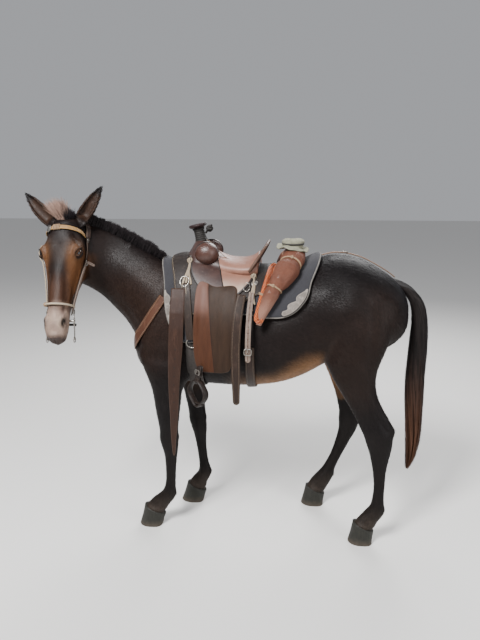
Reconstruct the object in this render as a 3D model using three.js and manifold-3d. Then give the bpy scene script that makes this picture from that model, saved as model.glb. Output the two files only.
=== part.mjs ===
// A saddled mule at life size, standing and looking round to its left.
// Millimetres, +Z up. The mule heads to -X and its left side is at -Y.
import * as THREE from "three";
import { mergeVertices } from "three/addons/utils/BufferGeometryUtils.js";
import Module from "manifold-3d";

const wasm = await Module();
wasm.setup();

// Driving dimensions
const originShift = new THREE.Vector3(369, 22, 0); // brings the middle of the whole model over the origin
const touchGap = 0.4; // between pieces that touch
const padThick = 24;
const leatherThick = 7;
const eyeRadius = 21;
const earLengths = { left: 208, right: 232 };
const maneHeight = 50;
const lockSeed = 7;

const point = (x, y, z) => new THREE.Vector3(x, y, z);

// A repeatable draw between low and high
let drawState = lockSeed;
function draw(low, high) {
  drawState = (drawState * 16807) % 2147483647;
  return low + ((high - low) * drawState) / 2147483647;
}

// Rows of numbers along a smooth Catmull-Rom curve, with steps between each two of the given rows
function smoothRows(rows, steps) {
  const made = [];
  for (let i = 0; i < rows.length - 1; i++) {
    const a = rows[Math.max(i - 1, 0)];
    const b = rows[i];
    const c = rows[i + 1];
    const d = rows[Math.min(i + 2, rows.length - 1)];
    for (let k = 0; k < steps; k++) {
      const t = k / steps;
      made.push(
        b.map((v, j) => {
          const m0 = (c[j] - a[j]) / 2;
          const m1 = (d[j] - v) / 2;
          const t2 = t * t;
          const t3 = t2 * t;
          const ends = (2 * t3 - 3 * t2 + 1) * v + (3 * t2 - 2 * t3) * c[j];
          return ends + (t3 - 2 * t2 + t) * m0 + (t3 - t2) * m1;
        }),
      );
    }
  }
  made.push([...rows[rows.length - 1]]);
  return made;
}

// A closed ring: half widths to the side, up and down, and how square its upper and lower halves are
function ring(centre, side, up, wide, high, low, sides, topPower = 1, lowPower = 1) {
  const made = [];
  for (let i = 0; i < sides; i++) {
    const a = (2 * Math.PI * i) / sides;
    const s = Math.sin(a);
    const c = Math.cos(a);
    const power = c >= 0 ? topPower : lowPower;
    const out = wide * Math.sign(s) * Math.abs(s) ** (c >= 0 ? 1 : lowPower);
    const rise = (c >= 0 ? high : low) * Math.sign(c) * Math.abs(c) ** power;
    made.push(centre.clone().addScaledVector(side, out).addScaledVector(up, rise));
  }
  return made;
}

// A closed geometry through rings of equal count, with flat ends or with the last ring joined to the first
function loft(rings, round = false) {
  const n = rings[0].length;
  const places = rings.flat();
  const count = places.length;
  const middle = (r) => r.reduce((m, p) => m.addScaledVector(p, 1 / n), point(0, 0, 0));
  places.push(middle(rings[0]), middle(rings[rings.length - 1]));
  const first = places.length - 2;
  const last = places.length - 1;
  const index = [];
  rings.forEach((_, r) => {
    for (let i = 0; i < n; i++) {
      const j = (i + 1) % n;
      const a = r * n + i;
      const b = r * n + j;
      if (r === 0 && !round) index.push(first, b, a);
      if (r === rings.length - 1 && !round) index.push(last, a, b);
      else index.push(a, b, (b + n) % count, a, (b + n) % count, (a + n) % count);
    }
  });
  const made = new THREE.BufferGeometry();
  made.setAttribute(
    "position",
    new THREE.Float32BufferAttribute(places.flatMap((p) => [p.x, p.y, p.z]), 3),
  );
  made.setIndex(index);
  return made;
}

// A three.js geometry as a solid that faces out
function solid(geometry) {
  const bare = new THREE.BufferGeometry().setAttribute(
    "position",
    geometry.getAttribute("position").clone(),
  );
  if (geometry.index) bare.setIndex(geometry.index.clone());
  const merged = mergeVertices(bare, 1e-3);
  const triVerts = new Uint32Array(merged.index.array);
  const vertProperties = merged.attributes.position.array;
  const build = () => new wasm.Manifold(new wasm.Mesh({ numProp: 3, vertProperties, triVerts }));
  const made = build();
  if (made.volume() >= 0) return made;
  for (let i = 0; i < triVerts.length; i += 3) {
    [triVerts[i + 1], triVerts[i + 2]] = [triVerts[i + 2], triVerts[i + 1]];
  }
  return build();
}

const join = (solids) => wasm.Manifold.union(solids);
const largest = (made) => made.decompose().reduce((a, b) => (b.volume() > a.volume() ? b : a));

function geometryOf(made) {
  const mesh = made.getMesh();
  const places = new Float32Array(mesh.numVert * 3);
  for (let i = 0; i < mesh.numVert; i++) {
    places.set(mesh.vertProperties.subarray(i * mesh.numProp, i * mesh.numProp + 3), i * 3);
  }
  return new THREE.BufferGeometry()
    .setAttribute("position", new THREE.BufferAttribute(places, 3))
    .setIndex(new THREE.BufferAttribute(mesh.triVerts, 1));
}

// An ellipsoid with its axes along three given directions
function ball(centre, axes, sizes, segments = 12) {
  const made = new THREE.SphereGeometry(1, segments, Math.max(6, Math.round(segments * 0.6)));
  const turn = new THREE.Matrix4().makeBasis(...axes.map((a, i) => a.clone().multiplyScalar(sizes[i])));
  return solid(made.applyMatrix4(turn.setPosition(centre)));
}

function box(low, high) {
  const made = new THREE.BoxGeometry(high.x - low.x, high.y - low.y, high.z - low.z);
  return solid(made.translate((low.x + high.x) / 2, (low.y + high.y) / 2, (low.z + high.z) / 2));
}

// Everything on the side of a plane that its normal points to, within reach
function sideOf(place, normal, reach = 3000) {
  const z = normal.clone().normalize();
  const turn = new THREE.Quaternion().setFromUnitVectors(point(0, 0, 1), z);
  const made = new THREE.BoxGeometry(reach, reach, reach).translate(0, 0, reach / 2);
  return solid(made.applyQuaternion(turn).translate(place.x, place.y, place.z));
}

const xAxis = point(1, 0, 0);
const yAxis = point(0, 1, 0);
const zAxis = point(0, 0, 1);
const axesOf = [xAxis, yAxis, zAxis];

// Trunk sections: x, top, bottom, half width, height of the widest place, upper and lower power
const trunkRows = [
  [-848, 1085, 925, 85, 1000, 1, 1],
  [-815, 1180, 872, 150, 1000, 1, 1],
  [-760, 1290, 830, 192, 1010, 1.1, 1],
  [-690, 1385, 800, 212, 1020, 1.2, 1],
  [-600, 1436, 784, 222, 1030, 1.3, 1],
  [-500, 1428, 778, 238, 1040, 1.2, 1],
  [-380, 1395, 776, 262, 1045, 1.05, 0.95],
  [-240, 1380, 780, 282, 1050, 0.95, 0.95],
  [-100, 1390, 800, 290, 1070, 0.9, 0.95],
  [20, 1425, 842, 282, 1110, 0.9, 0.95],
  [110, 1460, 890, 262, 1160, 0.9, 1],
  [190, 1472, 930, 252, 1190, 0.95, 1],
  [290, 1452, 955, 250, 1190, 1, 1],
  [390, 1402, 975, 228, 1180, 1, 1],
  [465, 1350, 1010, 182, 1165, 1, 1],
  [515, 1285, 1060, 118, 1150, 1, 1],
  [535, 1235, 1110, 60, 1150, 1, 1],
];
const trunkSides = 18;

function trunkRing(row, grow, sides = trunkSides) {
  const [x, top, low, wide, middle, topPower, lowPower] = row;
  const centre = point(x, 0, middle);
  return ring(
    centre, yAxis, zAxis, wide + grow, top - middle + grow, middle - low + grow, sides, topPower, lowPower,
  );
}
function trunkEnds(row, grow) {
  const shift = row === trunkRows[0] ? -grow : row === trunkRows.at(-1) ? grow : 0;
  return [row[0] + shift, ...row.slice(1)];
}
const trunk = (grow) => loft(trunkRows.map((row) => trunkRing(trunkEnds(row, grow), grow)));

// Neck sections: crest x, y, z, throat x, y, z, half width
const neckRows = [
  [-560, 0, 1412, -620, 0, 860, 172],
  [-665, 0, 1418, -780, 0, 915, 162],
  [-752, 3, 1460, -846, 2, 1005, 134],
  [-845, 6, 1506, -903, 4, 1095, 108],
  [-935, 5, 1552, -972, 0, 1170, 92],
  [-1018, -12, 1590, -1040, -20, 1240, 84],
  [-1096, -52, 1622, -1100, -68, 1292, 80],
  [-1142, -122, 1640, -1142, -136, 1330, 72],
];

function neckRing(row, next, before, grow) {
  const crest = point(row[0], row[1], row[2]);
  const throat = point(row[3], row[4], row[5]);
  const centre = crest.clone().add(throat).multiplyScalar(0.5);
  const mid = (r) => point((r[0] + r[3]) / 2, (r[1] + r[4]) / 2, (r[2] + r[5]) / 2);
  const along = mid(next).sub(mid(before)).normalize();
  const up = crest.clone().sub(throat);
  const half = up.length() / 2 + grow;
  up.normalize();
  const side = along.clone().cross(up).normalize();
  return ring(centre, side, up, row[6] + grow, half, half, 18, 1.25, 0.95);
}
function neck(grow) {
  const last = neckRows.length - 1;
  return loft(neckRows.map((row, i) =>
    neckRing(row, neckRows[Math.min(i + 1, last)], neckRows[Math.max(i - 1, 0)], grow)),
  );
}

// The head has its own frame: down the face, out of the face, and to the mule's left
const poll = point(-1156, -182, 1648);
const faceDown = point(0.032, -0.434, -0.9).normalize();
const faceOut = point(0, -1, 0).addScaledVector(faceDown, -0.434).normalize();
const faceLeft = faceOut.clone().cross(faceDown).normalize();
if (faceLeft.x < 0) faceLeft.negate();
const headAxes = [faceLeft, faceOut, faceDown];
// A place on the head: to the left, out from the line of the face, and down it
const onHead = (left, out, down) =>
  poll.clone().addScaledVector(
    faceLeft,
    left,
  ).addScaledVector(faceOut, out).addScaledVector(faceDown, down);

// Head sections: down the face, front, back, half width, how far back it is widest, powers of front and back
const headRows = [
  [-22, -30, -110, 42, -70, 1, 1],
  [-8, -12, -140, 64, -72, 1, 1],
  [40, 6, -185, 80, -70, 0.9, 1],
  [95, 18, -228, 96, -68, 0.85, 1],
  [150, 22, -255, 102, -66, 0.82, 1],
  [200, 19, -266, 96, -72, 0.85, 1],
  [250, 14, -256, 86, -80, 0.9, 0.95],
  [300, 10, -226, 76, -82, 0.95, 0.95],
  [355, 7, -186, 67, -78, 0.95, 0.95],
  [410, 6, -154, 59, -70, 0.95, 0.95],
  [460, 6, -136, 56, -62, 0.9, 0.95],
  [505, 4, -130, 59, -54, 0.85, 0.95],
  [545, -4, -124, 59, -52, 0.85, 0.95],
  [580, -20, -114, 51, -56, 0.85, 0.9],
  [602, -40, -98, 36, -66, 0.9, 0.9],
  [612, -58, -84, 16, -70, 1, 1],
];

function headLoft(grow) {
  return loft(
    headRows.map(([down, front, back, wide, widest, frontPower, backPower]) => {
      const [high, low] = [front - widest + grow, widest - back + grow];
      return ring(
        onHead(0, widest, down),
        faceLeft,
        faceOut,
        wide + grow,
        high,
        low,
        18,
        frontPower,
        backPower,
      );
    }),
  );
}

// What stands out of the head on both sides: eye sockets, cheek plates, nostril rims and lips
function headForms(grow) {
  const made = [];
  for (const s of [-1, 1]) {
    made.push(ball(onHead(s * 71, -30, 170), headAxes, [33 + grow, 38 + grow, 48 + grow], 10));
    made.push(ball(onHead(s * 67, -150, 190), headAxes, [26 + grow, 86 + grow, 92 + grow], 10));
    made.push(ball(onHead(s * 38, -26, 510), headAxes, [22 + grow, 27 + grow, 36 + grow], 8));
  }
  made.push(ball(onHead(0, -34, 578), headAxes, [38 + grow, 28 + grow, 27 + grow], 8));
  made.push(ball(onHead(0, -98, 570), headAxes, [33 + grow, 25 + grow, 29 + grow], 8));
  return made;
}
const headWhole = (grow) => join([solid(headLoft(grow)), ...headForms(grow)]);

// The eye looks out to the side, a little forward and down
const onAxes = (left, out, down) =>
  faceLeft.clone().multiplyScalar(left).addScaledVector(faceOut, out).addScaledVector(
    faceDown,
    down,
  ).normalize();
const eyeOut = (s) => onAxes(s * 0.86, 0.48, 0.12);
const eyePlace = (s) => onHead(s * 82, -34, 176);

// Leg sections: z, front x, back x, middle y, half width, tilt in degrees that lifts the front
const legs = {
  fore_left: [
    [1080, -830, -560, -118, 75, 0],
    [960, -812, -520, -150, 74, 0],
    [860, -778, -540, -160, 68, 0],
    [775, -752, -578, -152, 60, 0],
    [690, -741, -594, -146, 53, 0],
    [600, -729, -606, -140, 46, 0],
    [545, -722, -611, -137, 43, 0],
    [495, -719, -611, -136, 45, 0],
    [450, -713, -614, -135, 42, 0],
    [405, -702, -620, -134, 33, 0],
    [330, -698, -628, -133, 28, 0],
    [255, -700, -632, -132, 28, 0],
    [205, -712, -634, -131, 35, 4],
    [170, -733, -640, -131, 37, 14],
    [138, -762, -668, -130, 34, 26],
    [108, -788, -692, -130, 37, 30],
    [82, -812, -700, -130, 44, 24],
  ],
  fore_right: [
    [1080, -830, -540, 118, 75, 0],
    [960, -800, -500, 150, 74, 0],
    [860, -742, -505, 160, 68, 0],
    [775, -690, -520, 154, 60, 0],
    [690, -652, -524, 150, 53, 0],
    [600, -632, -516, 147, 46, 0],
    [545, -622, -512, 145, 43, 0],
    [495, -614, -508, 144, 45, 0],
    [450, -606, -506, 143, 42, 0],
    [405, -592, -508, 142, 33, 0],
    [330, -578, -508, 141, 28, 0],
    [255, -568, -500, 141, 28, 0],
    [205, -566, -488, 140, 35, 6],
    [170, -572, -486, 140, 37, 14],
    [138, -592, -504, 140, 34, 24],
    [108, -612, -516, 140, 37, 28],
    [82, -628, -520, 140, 44, 24],
  ],
  hind_left: [
    [1300, 120, 440, -120, 95, 0],
    [1200, 80, 478, -138, 112, 0],
    [1100, 98, 455, -150, 112, 0],
    [1010, 110, 424, -158, 104, 0],
    [930, 132, 396, -164, 90, 0],
    [860, 168, 386, -168, 74, 0],
    [790, 212, 398, -171, 62, 0],
    [720, 256, 428, -174, 50, 0],
    [665, 286, 458, -176, 40, 0],
    [615, 309, 482, -177, 40, 0],
    [570, 330, 484, -178, 43, 0],
    [520, 349, 481, -179, 41, 0],
    [465, 363, 471, -180, 36, 0],
    [400, 377, 460, -182, 30, 0],
    [320, 386, 456, -184, 28, 0],
    [255, 384, 455, -185, 29, 0],
    [205, 376, 458, -186, 36, 4],
    [168, 356, 454, -187, 38, 14],
    [138, 336, 432, -188, 35, 24],
    [108, 316, 412, -188, 38, 28],
    [84, 298, 404, -188, 44, 24],
  ],
  hind_right: [
    [1300, 120, 440, 120, 95, 0],
    [1200, 70, 470, 138, 112, 0],
    [1100, 72, 440, 148, 112, 0],
    [1010, 80, 400, 154, 104, 0],
    [930, 100, 360, 158, 90, 0],
    [860, 128, 338, 160, 74, 0],
    [790, 160, 330, 162, 62, 0],
    [720, 188, 340, 163, 50, 0],
    [665, 206, 354, 164, 40, 0],
    [615, 217, 368, 165, 40, 0],
    [570, 225, 366, 166, 43, 2],
    [520, 228, 352, 166, 41, 6],
    [465, 226, 334, 167, 36, 8],
    [400, 213, 302, 168, 30, 10],
    [320, 190, 265, 168, 28, 12],
    [255, 163, 237, 169, 29, 14],
    [205, 137, 220, 170, 36, 18],
    [168, 112, 208, 170, 38, 24],
    [138, 92, 190, 170, 35, 30],
    [108, 72, 172, 170, 38, 30],
    [84, 58, 166, 170, 44, 24],
  ],
};
const legSides = 10;

function legRing([z, front, back, y, wide, tilt], grow) {
  const half = (back - front) / 2 + grow;
  const ahead = point(-1, 0, Math.tan(THREE.MathUtils.degToRad(tilt)));
  return ring(point((front + back) / 2, y, z), yAxis, ahead, wide + grow, half, half, legSides, 0.95, 1.05);
}
const leg = (name, grow) => loft(legs[name].map((row) => legRing(row, grow)));

// Hooves: toe and heel on the floor, taken out from each leg's last section
const hoofSoles = {
  fore_left: [-842, -716],
  fore_right: [-664, -534],
  hind_left: [274, 398],
  hind_right: [32, 160],
};
const hoofHalf = 54;

function hoof(name) {
  const last = legs[name][legs[name].length - 1];
  const [toe, heel] = hoofSoles[name];
  const y = last[3];
  const top = legRing(last, 3).map((p) => p.add(point(0, 0, -touchGap)));
  const rings = [top];
  const half = (heel - toe) / 2;
  const sole = ring(
    point((toe + heel) / 2, y, 0),
    yAxis,
    point(-1, 0, 0),
    hoofHalf,
    half,
    half,
    legSides,
    0.95,
    0.6,
  );
  rings.push(top.map((p, i) => p.clone().lerp(sole[i], 0.55)), sole);
  return solid(loft(rings));
}

// All of the flesh as one body
function flesh(grow) {
  const parts = [solid(trunk(grow)), solid(neck(grow)), headWhole(grow)];
  for (const name of Object.keys(legs)) parts.push(solid(leg(name, grow)));
  return join(parts);
}
const body = flesh(0);
const bodyGrown = flesh(touchGap);

const group = new THREE.Group();
group.position.copy(originShift);
const finishes = {
  coat: [0x1e1512, 0.55, 0],
  coatDark: [0x120d0b, 0.6, 0],
  face: [0x5b3520, 0.6, 0],
  hair: [0x15100e, 0.7, 0],
  hoof: [0x4a4238, 0.65, 0],
  eye: [0x0c0705, 0.1, 0],
  leather: [0x4a2c22, 0.5, 0],
  leatherDark: [0x1d1210, 0.5, 0],
  leatherTan: [0xa8834f, 0.6, 0],
  felt: [0x4b4a50, 0.9, 0],
  canvas: [0x8a8468, 0.9, 0],
  rope: [0xb9491f, 0.8, 0],
  rawhide: [0xcdb08c, 0.7, 0],
  metal: [0xa39c90, 0.35, 0.9],
};

function put(name, finish, made) {
  const [color, roughness, metalness] = finishes[finish];
  const material = new THREE.MeshStandardMaterial({ color, roughness, metalness });
  const mesh = new THREE.Mesh(geometryOf(made), material);
  mesh.name = name;
  group.add(mesh);
  return made;
}

// Cuts that part the body into its named nodes
const headPlace = point(-1085, -45, 1450);
const headNormal = point(-0.5, -0.866, 0);
function headCut(extra) {
  const half = sideOf(headPlace.clone().addScaledVector(headNormal, -extra), headNormal);
  return half.intersect(box(point(-1500, -900, 900), point(-960 + extra, 200, 1900)));
}
const neckPlace = point(-762, 0, 1220);
const neckNormal = point(-0.937, 0, 0.35);
const neckCut = (extra) => sideOf(neckPlace.clone().addScaledVector(neckNormal, -extra), neckNormal);
function legCut(name, extra) {
  const side = name.endsWith("left") ? -1 : 1;
  const [front, back, top] = name.startsWith("fore") ? [-900, -470, 772] : [105, 600, 880];
  const ys = [side * 2, side * 400].sort((a, b) => a - b);
  return box(point(front - extra, ys[0] - extra, -10), point(back + extra, ys[1] + extra, top + extra));
}

// Eyes, each a ball in a socket that the lids close over
const eyes = {};
const lids = [];
const sockets = [];
for (const [name, s] of [["eye_left", 1], ["eye_right", -1]]) {
  const out = eyeOut(s);
  const along = onAxes(0, 0.35, 1);
  along.addScaledVector(out, -along.dot(out)).normalize();
  const across = out.clone().cross(along).normalize();
  const place = eyePlace(s);
  const axes = [along, across, out];
  eyes[name] = ball(place, axes, [eyeRadius, eyeRadius, eyeRadius], 10);
  lids.push(ball(place, axes, [eyeRadius + 7, eyeRadius + 5, eyeRadius + 4], 10));
  sockets.push(ball(place.clone().addScaledVector(out, eyeRadius + 4), axes, [21, 11.5, 22], 10));
  const bore = eyeRadius + touchGap;
  sockets.push(ball(place, axes, [bore, bore, bore], 10));
}

// The bar of the bit, which runs through the corners of the mouth
const bitBar = (grow) => {
  const made = new THREE.CylinderGeometry(6 + grow, 6 + grow, 146, 6);
  const turn = new THREE.Quaternion().setFromUnitVectors(yAxis, faceLeft);
  const place = onHead(0, -86, 496);
  return solid(made.applyQuaternion(turn).translate(place.x, place.y, place.z));
};

// Nostrils, the line of the mouth and the groove of the chin
const openings = [];
for (const s of [-1, 1]) {
  const tilt = faceDown.clone().addScaledVector(faceOut, 0.25).normalize();
  const out = faceLeft.clone().multiplyScalar(s).addScaledVector(faceOut, 0.35).normalize();
  const flat = out.clone().cross(tilt).normalize();
  openings.push(ball(onHead(s * 60, -9, 518), [out, flat, tilt], [22, 8, 20], 8));
  const corner = onHead(s * 56, -84, 500);
  const line = faceDown.clone().addScaledVector(faceOut, 0.12).normalize();
  openings.push(ball(corner.addScaledVector(line, 42), [faceLeft, faceOut, line], [24, 2.6, 52], 8));
}
openings.push(ball(onHead(0, -72, 606), headAxes, [40, 2.6, 22], 8));

const bodyWhole = join([body, ...lids]).subtract(join([...sockets, ...openings, bitBar(touchGap)]));

// Ears: a long leaf rolled round a cup that opens forward and out
const earRows = [
  [0, 32, 26],
  [0.12, 38, 28],
  [0.3, 41, 26],
  [0.5, 38, 22],
  [0.7, 30, 17],
  [0.86, 18, 11],
  [0.96, 8, 6],
  [1, 3, 3],
];
function ear(s) {
  const tall = s > 0 ? earLengths.left : earLengths.right;
  const root = onHead(s * 58, -70, 8);
  const aim = onAxes(s * 0.72 - 0.22, -0.05, -0.82);
  const face = faceOut.clone().addScaledVector(faceLeft, s * 0.25).addScaledVector(
    aim,
    -faceOut.dot(aim),
  ).normalize();
  const side = aim.clone().cross(face).normalize();
  const line = (t, out = 0) =>
    root
      .clone()
      .addScaledVector(aim, tall * t)
      .addScaledVector(zAxis, 26 * t * t)
      .addScaledVector(face, 10 * Math.sin(3 * t) + out);
  const outer = loft(earRows.map(([t, wide, deep]) =>
    ring(line(t), side, face, wide, deep * 0.55, deep, 10)),
  );
  const cupRing = ([t, wide, deep]) => ring(
    line(t, deep * 0.75),
    side,
    face,
    wide * 0.84,
    deep,
    deep * 1.2,
    10,
  );
  const cup = loft(earRows.slice(1, -1).map(cupRing));
  return solid(outer).subtract(solid(cup));
}

// A flat tapered lock of hair along a curve, as rings of four
function lock(places, wide, thick, flat, taper = 0.12) {
  const rings = places.map((p, i) => {
    const next = places[Math.min(i + 1, places.length - 1)];
    const before = places[Math.max(i - 1, 0)];
    const along = next.clone().sub(before).normalize();
    const side = flat.clone().addScaledVector(along, -flat.dot(along)).normalize();
    const up = along.clone().cross(side).normalize();
    const t = i / (places.length - 1);
    const size = t < 0.35 ? 0.8 + (0.2 * t) / 0.35 : 1 - (1 - taper) * ((t - 0.35) / 0.65) ** 1.3;
    return [
      p.clone().addScaledVector(side, wide * size),
      p.clone().addScaledVector(up, thick * size),
      p.clone().addScaledVector(side, -wide * size),
      p.clone().addScaledVector(up, -thick * size),
    ];
  });
  return solid(loft(rings));
}

// Roached mane: upright bristly locks in two rows down the crest
const crestRows = smoothRows(neckRows, 4);
function maneLocks() {
  const made = [];
  const count = 11;
  for (let i = 0; i < count; i++) {
    for (const s of [-1, 1]) {
      const t = (i + 0.25 * s + draw(-0.12, 0.12)) / (count - 1);
      const f = Math.min(Math.max(4.6 + t * 21, 4.4), 25.8);
      const k = Math.floor(f);
      const row = crestRows[k].map((v, j) => v + (f - k) * (crestRows[k + 1][j] - v));
      const ahead = crestRows[k + 1];
      const [ax, ay, az] = ahead.map((v, j) => v - crestRows[k][j]);
      const along = point(ax, ay, az).normalize();
      const side = along.clone().cross(zAxis).normalize();
      const rise = zAxis.clone().addScaledVector(along, -along.z).normalize();
      const root = point(row[0], row[1], row[2]).addScaledVector(side, -s * 5);
      const end = Math.min(1, 0.55 + 2.2 * Math.min(t, 1 - t));
      const tall = maneHeight * end * draw(0.86, 1.08);
      const lean = draw(-0.28, 0.12);
      const places = [-0.3, 0.15, 0.6, 1].map((u) =>
        root
          .clone()
          .addScaledVector(rise, tall * u)
          .addScaledVector(side, -s * (4 + 7 * u * u))
          .addScaledVector(along, tall * lean * u * u),
      );
      made.push(lock(places, draw(33, 40), 4.5, along));
    }
  }
  return made;
}

// Forelock: a frizzy tuft standing up and forward between the ears
function forelockLocks() {
  const made = [];
  const count = 8;
  for (let i = 0; i < count; i++) {
    const turn = (2 * Math.PI * i) / count + draw(-0.2, 0.2);
    const spread = draw(0.25, 1);
    const root = onHead(6 + 24 * spread * Math.cos(turn), -48 + 26 * spread * Math.sin(turn), 2);
    const aim = faceDown
      .clone()
      .multiplyScalar(-1)
      .addScaledVector(faceLeft, -0.14 + 0.42 * spread * Math.cos(turn))
      .addScaledVector(faceOut, 0.3 + 0.4 * spread * Math.sin(turn));
    const tall = draw(78, 112);
    const curl = faceLeft.clone().multiplyScalar(draw(-26, 12)).addScaledVector(faceOut, draw(6, 30));
    const bend = (u) => root.clone().addScaledVector(aim, tall * u).addScaledVector(curl, u * u);
    const places = [-0.25, 0.15, 0.55, 1].map(bend);
    const flat = faceLeft.clone().multiplyScalar(Math.sin(turn)).addScaledVector(faceOut, -Math.cos(turn));
    made.push(lock(places, draw(10, 15), 4, flat));
  }
  return made;
}

// Tail: the dock and a core in its upper half, with long locks hanging round it
const tailLine = [
  [430, 0, 1330],
  [492, 0, 1312],
  [548, 2, 1276],
  [588, 3, 1212],
  [602, 4, 1120],
  [603, 5, 1000],
  [598, 5, 850],
  [602, 4, 690],
  [608, 2, 520],
  [602, 0, 400],
  [588, 0, 325],
];
const tailPlaces = smoothRows(tailLine, 2).map((r) => point(...r));
function tailCore() {
  const wides = [24, 25, 26, 28, 31, 36, 40, 42, 40, 36, 30, 20, 8];
  const rings = wides.map((wide, i) => {
    const along = tailPlaces[i + 1].clone().sub(tailPlaces[Math.max(i - 1, 0)]).normalize();
    const up = along.clone().cross(yAxis).normalize();
    return ring(tailPlaces[i], yAxis, up, wide * 0.85, wide, wide, 8);
  });
  return solid(loft(rings));
}
function tailLocks() {
  const made = [];
  const count = 12;
  for (let i = 0; i < count; i++) {
    const turn = (2 * Math.PI * i * 0.382) % (2 * Math.PI);
    const start = 1 + Math.floor(draw(0, 7.99));
    const reach = Math.min(tailPlaces.length - 1, start + Math.round(draw(9, 15)));
    const end = i % 3 === 0 ? tailPlaces.length - 1 : reach;
    const steps = 5;
    const places = [];
    for (let k = 0; k < steps; k++) {
      const f = start + ((end - start) * k) / (steps - 1);
      const a = Math.floor(Math.min(f, tailPlaces.length - 1.001));
      const middle = tailPlaces[a].clone().lerp(tailPlaces[a + 1], f - a);
      const t = k / (steps - 1);
      const swell = k === 0 ? 12 : 30 + 24 * Math.sin(Math.PI * Math.min(1, t * 0.9));
      const out = swell * (1 - (0.55 * Math.max(0, t - 0.6)) / 0.4);
      places.push(
        middle.add(point(out * Math.cos(turn + 0.3 * t), 0.85 * out * Math.sin(turn + 0.3 * t), 0)),
      );
    }
    const flat = point(-Math.sin(turn), Math.cos(turn), 0);
    made.push(lock(places, draw(15, 21), 5, flat, 0.1));
  }
  return made;
}

// Flesh nodes
const aboveFloor = sideOf(point(0, 0, 0.5), zAxis);
const headPart = largest(join([bodyWhole.intersect(headCut(0)), ...forelockLocks()]));
put("head", "face", headPart);
const neckWhole = bodyWhole.subtract(headCut(touchGap)).intersect(neckCut(0));
const maneFront = sideOf(point(-684, 0, 1400), point(-1, 0, 0));
const maneAll = join(maneLocks()).subtract(headCut(touchGap)).intersect(neckCut(0)).intersect(maneFront);
put("neck", "coat", largest(neckWhole.add(maneAll)));
let torso = bodyWhole.subtract(headCut(touchGap)).subtract(neckCut(touchGap));
for (const name of Object.keys(legs)) torso = torso.subtract(legCut(name, touchGap));
put("torso", "coat", largest(torso));
for (const name of Object.keys(legs)) {
  const aboveHoof = sideOf(point(0, 0, 60), zAxis);
  put(`leg_${name}`, "coatDark", largest(bodyWhole.intersect(legCut(name, 0)).intersect(aboveHoof)));
  put(`hoof_${name}`, "hoof", hoof(name));
}
put("ear_left", "coatDark", largest(ear(1).subtract(bodyGrown)));
put("ear_right", "coatDark", largest(ear(-1).subtract(bodyGrown)));
put("eye_left", "eye", eyes.eye_left);
put("eye_right", "eye", eyes.eye_right);
put("tail", "hair", largest(join([tailCore(), ...tailLocks()]).subtract(bodyGrown).intersect(aboveFloor)));

// A prism through the model from a side outline of x and z, between two values of y
function prism(outline, from, to) {
  const shape = new THREE.Shape(outline.map(([x, z]) => new THREE.Vector2(x, z)));
  const made = new THREE.ExtrudeGeometry(shape, { depth: to - from, bevelEnabled: false });
  return solid(made.rotateX(Math.PI / 2).translate(0, to, 0));
}
const smoothOutline = (places, count) => {
  const curve = new THREE.CatmullRomCurve3(places.map(([x, z]) => point(x, 0, z)), true, "centripetal");
  return curve.getPoints(count).slice(0, -1).map((p) => [p.x, p.z]);
};

// The surface that the saddle lies on, and the same let straight down at the sides for what hangs
const back = (grow) => solid(trunk(grow)).add(solid(neck(grow)));
function draped(grow) {
  const straight = trunkRows.map((row) => trunkRing([...row.slice(0, 6), 0.3], grow));
  return solid(loft(straight)).add(back(grow));
}

// Saddle pad
const padOutline = smoothOutline(
  [
    [-655, 1560], [-662, 1300], [-640, 1160], [-590, 1075], [-520, 1055], [-400, 1110], [-282, 1196],
    [-148, 1190], [-60, 1200], [5, 1245], [48, 1330], [58, 1560],
  ],
  22,
);
const padTop = touchGap + padThick;
put(
  "saddle_pad",
  "felt",
  largest(back(padTop).intersect(prism(padOutline, -400, 400)).subtract(back(touchGap))),
);

// Saddle: skirt, seat with its jockeys, fork, rolls, horn and cantle
const skirtOutline = smoothOutline(
  [
    [-615, 1560], [-612, 1330], [-575, 1225], [-480, 1180], [-350, 1200], [-230, 1262], [-130, 1310],
    [-92, 1420], [-90, 1560],
  ],
  18,
);
const skirtTop = padTop + touchGap + leatherThick;
put(
  "saddle_skirt",
  "leatherDark",
  largest(back(skirtTop).intersect(prism(skirtOutline, -400, 400)).subtract(back(padTop + touchGap))),
);
const seatLow = skirtTop + touchGap;
const seatTop = seatLow + leatherThick;
const aboveSkirt = back(seatLow);
const seatOutline = smoothOutline(
  [
    [-548, 1560], [-542, 1400], [-505, 1325], [-435, 1262], [-334, 1250], [-262, 1290], [-216, 1345],
    [-196, 1410], [-190, 1560],
  ],
  18,
);
const seatRows = [
  [-556, 1478, 60],
  [-530, 1522, 104],
  [-498, 1532, 116],
  [-462, 1520, 112],
  [-425, 1480, 120],
  [-360, 1450, 140],
  [-290, 1443, 158],
  [-240, 1454, 164],
  [-206, 1478, 150],
];
const seatRing = ([x, top, wide], grow) =>
  ring(point(x, 0, 1390), yAxis, zAxis, wide + grow, top - 1390 + grow, 60, 14, 0.9, 1);
const seatMade = (grow) => solid(loft(seatRows.map((row) => seatRing(row, grow))));
const seatBody = seatMade(0);
const seatShell = back(seatTop).intersect(prism(seatOutline, -400, 400));
const rolls = [-1, 1].map((s) =>
  (grow) => ball(point(-462, s * 98, 1462), axesOf, [60 + grow, 48 + grow, 48 + grow], 12),
);
const cantleTurn = THREE.MathUtils.degToRad(33);
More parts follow.
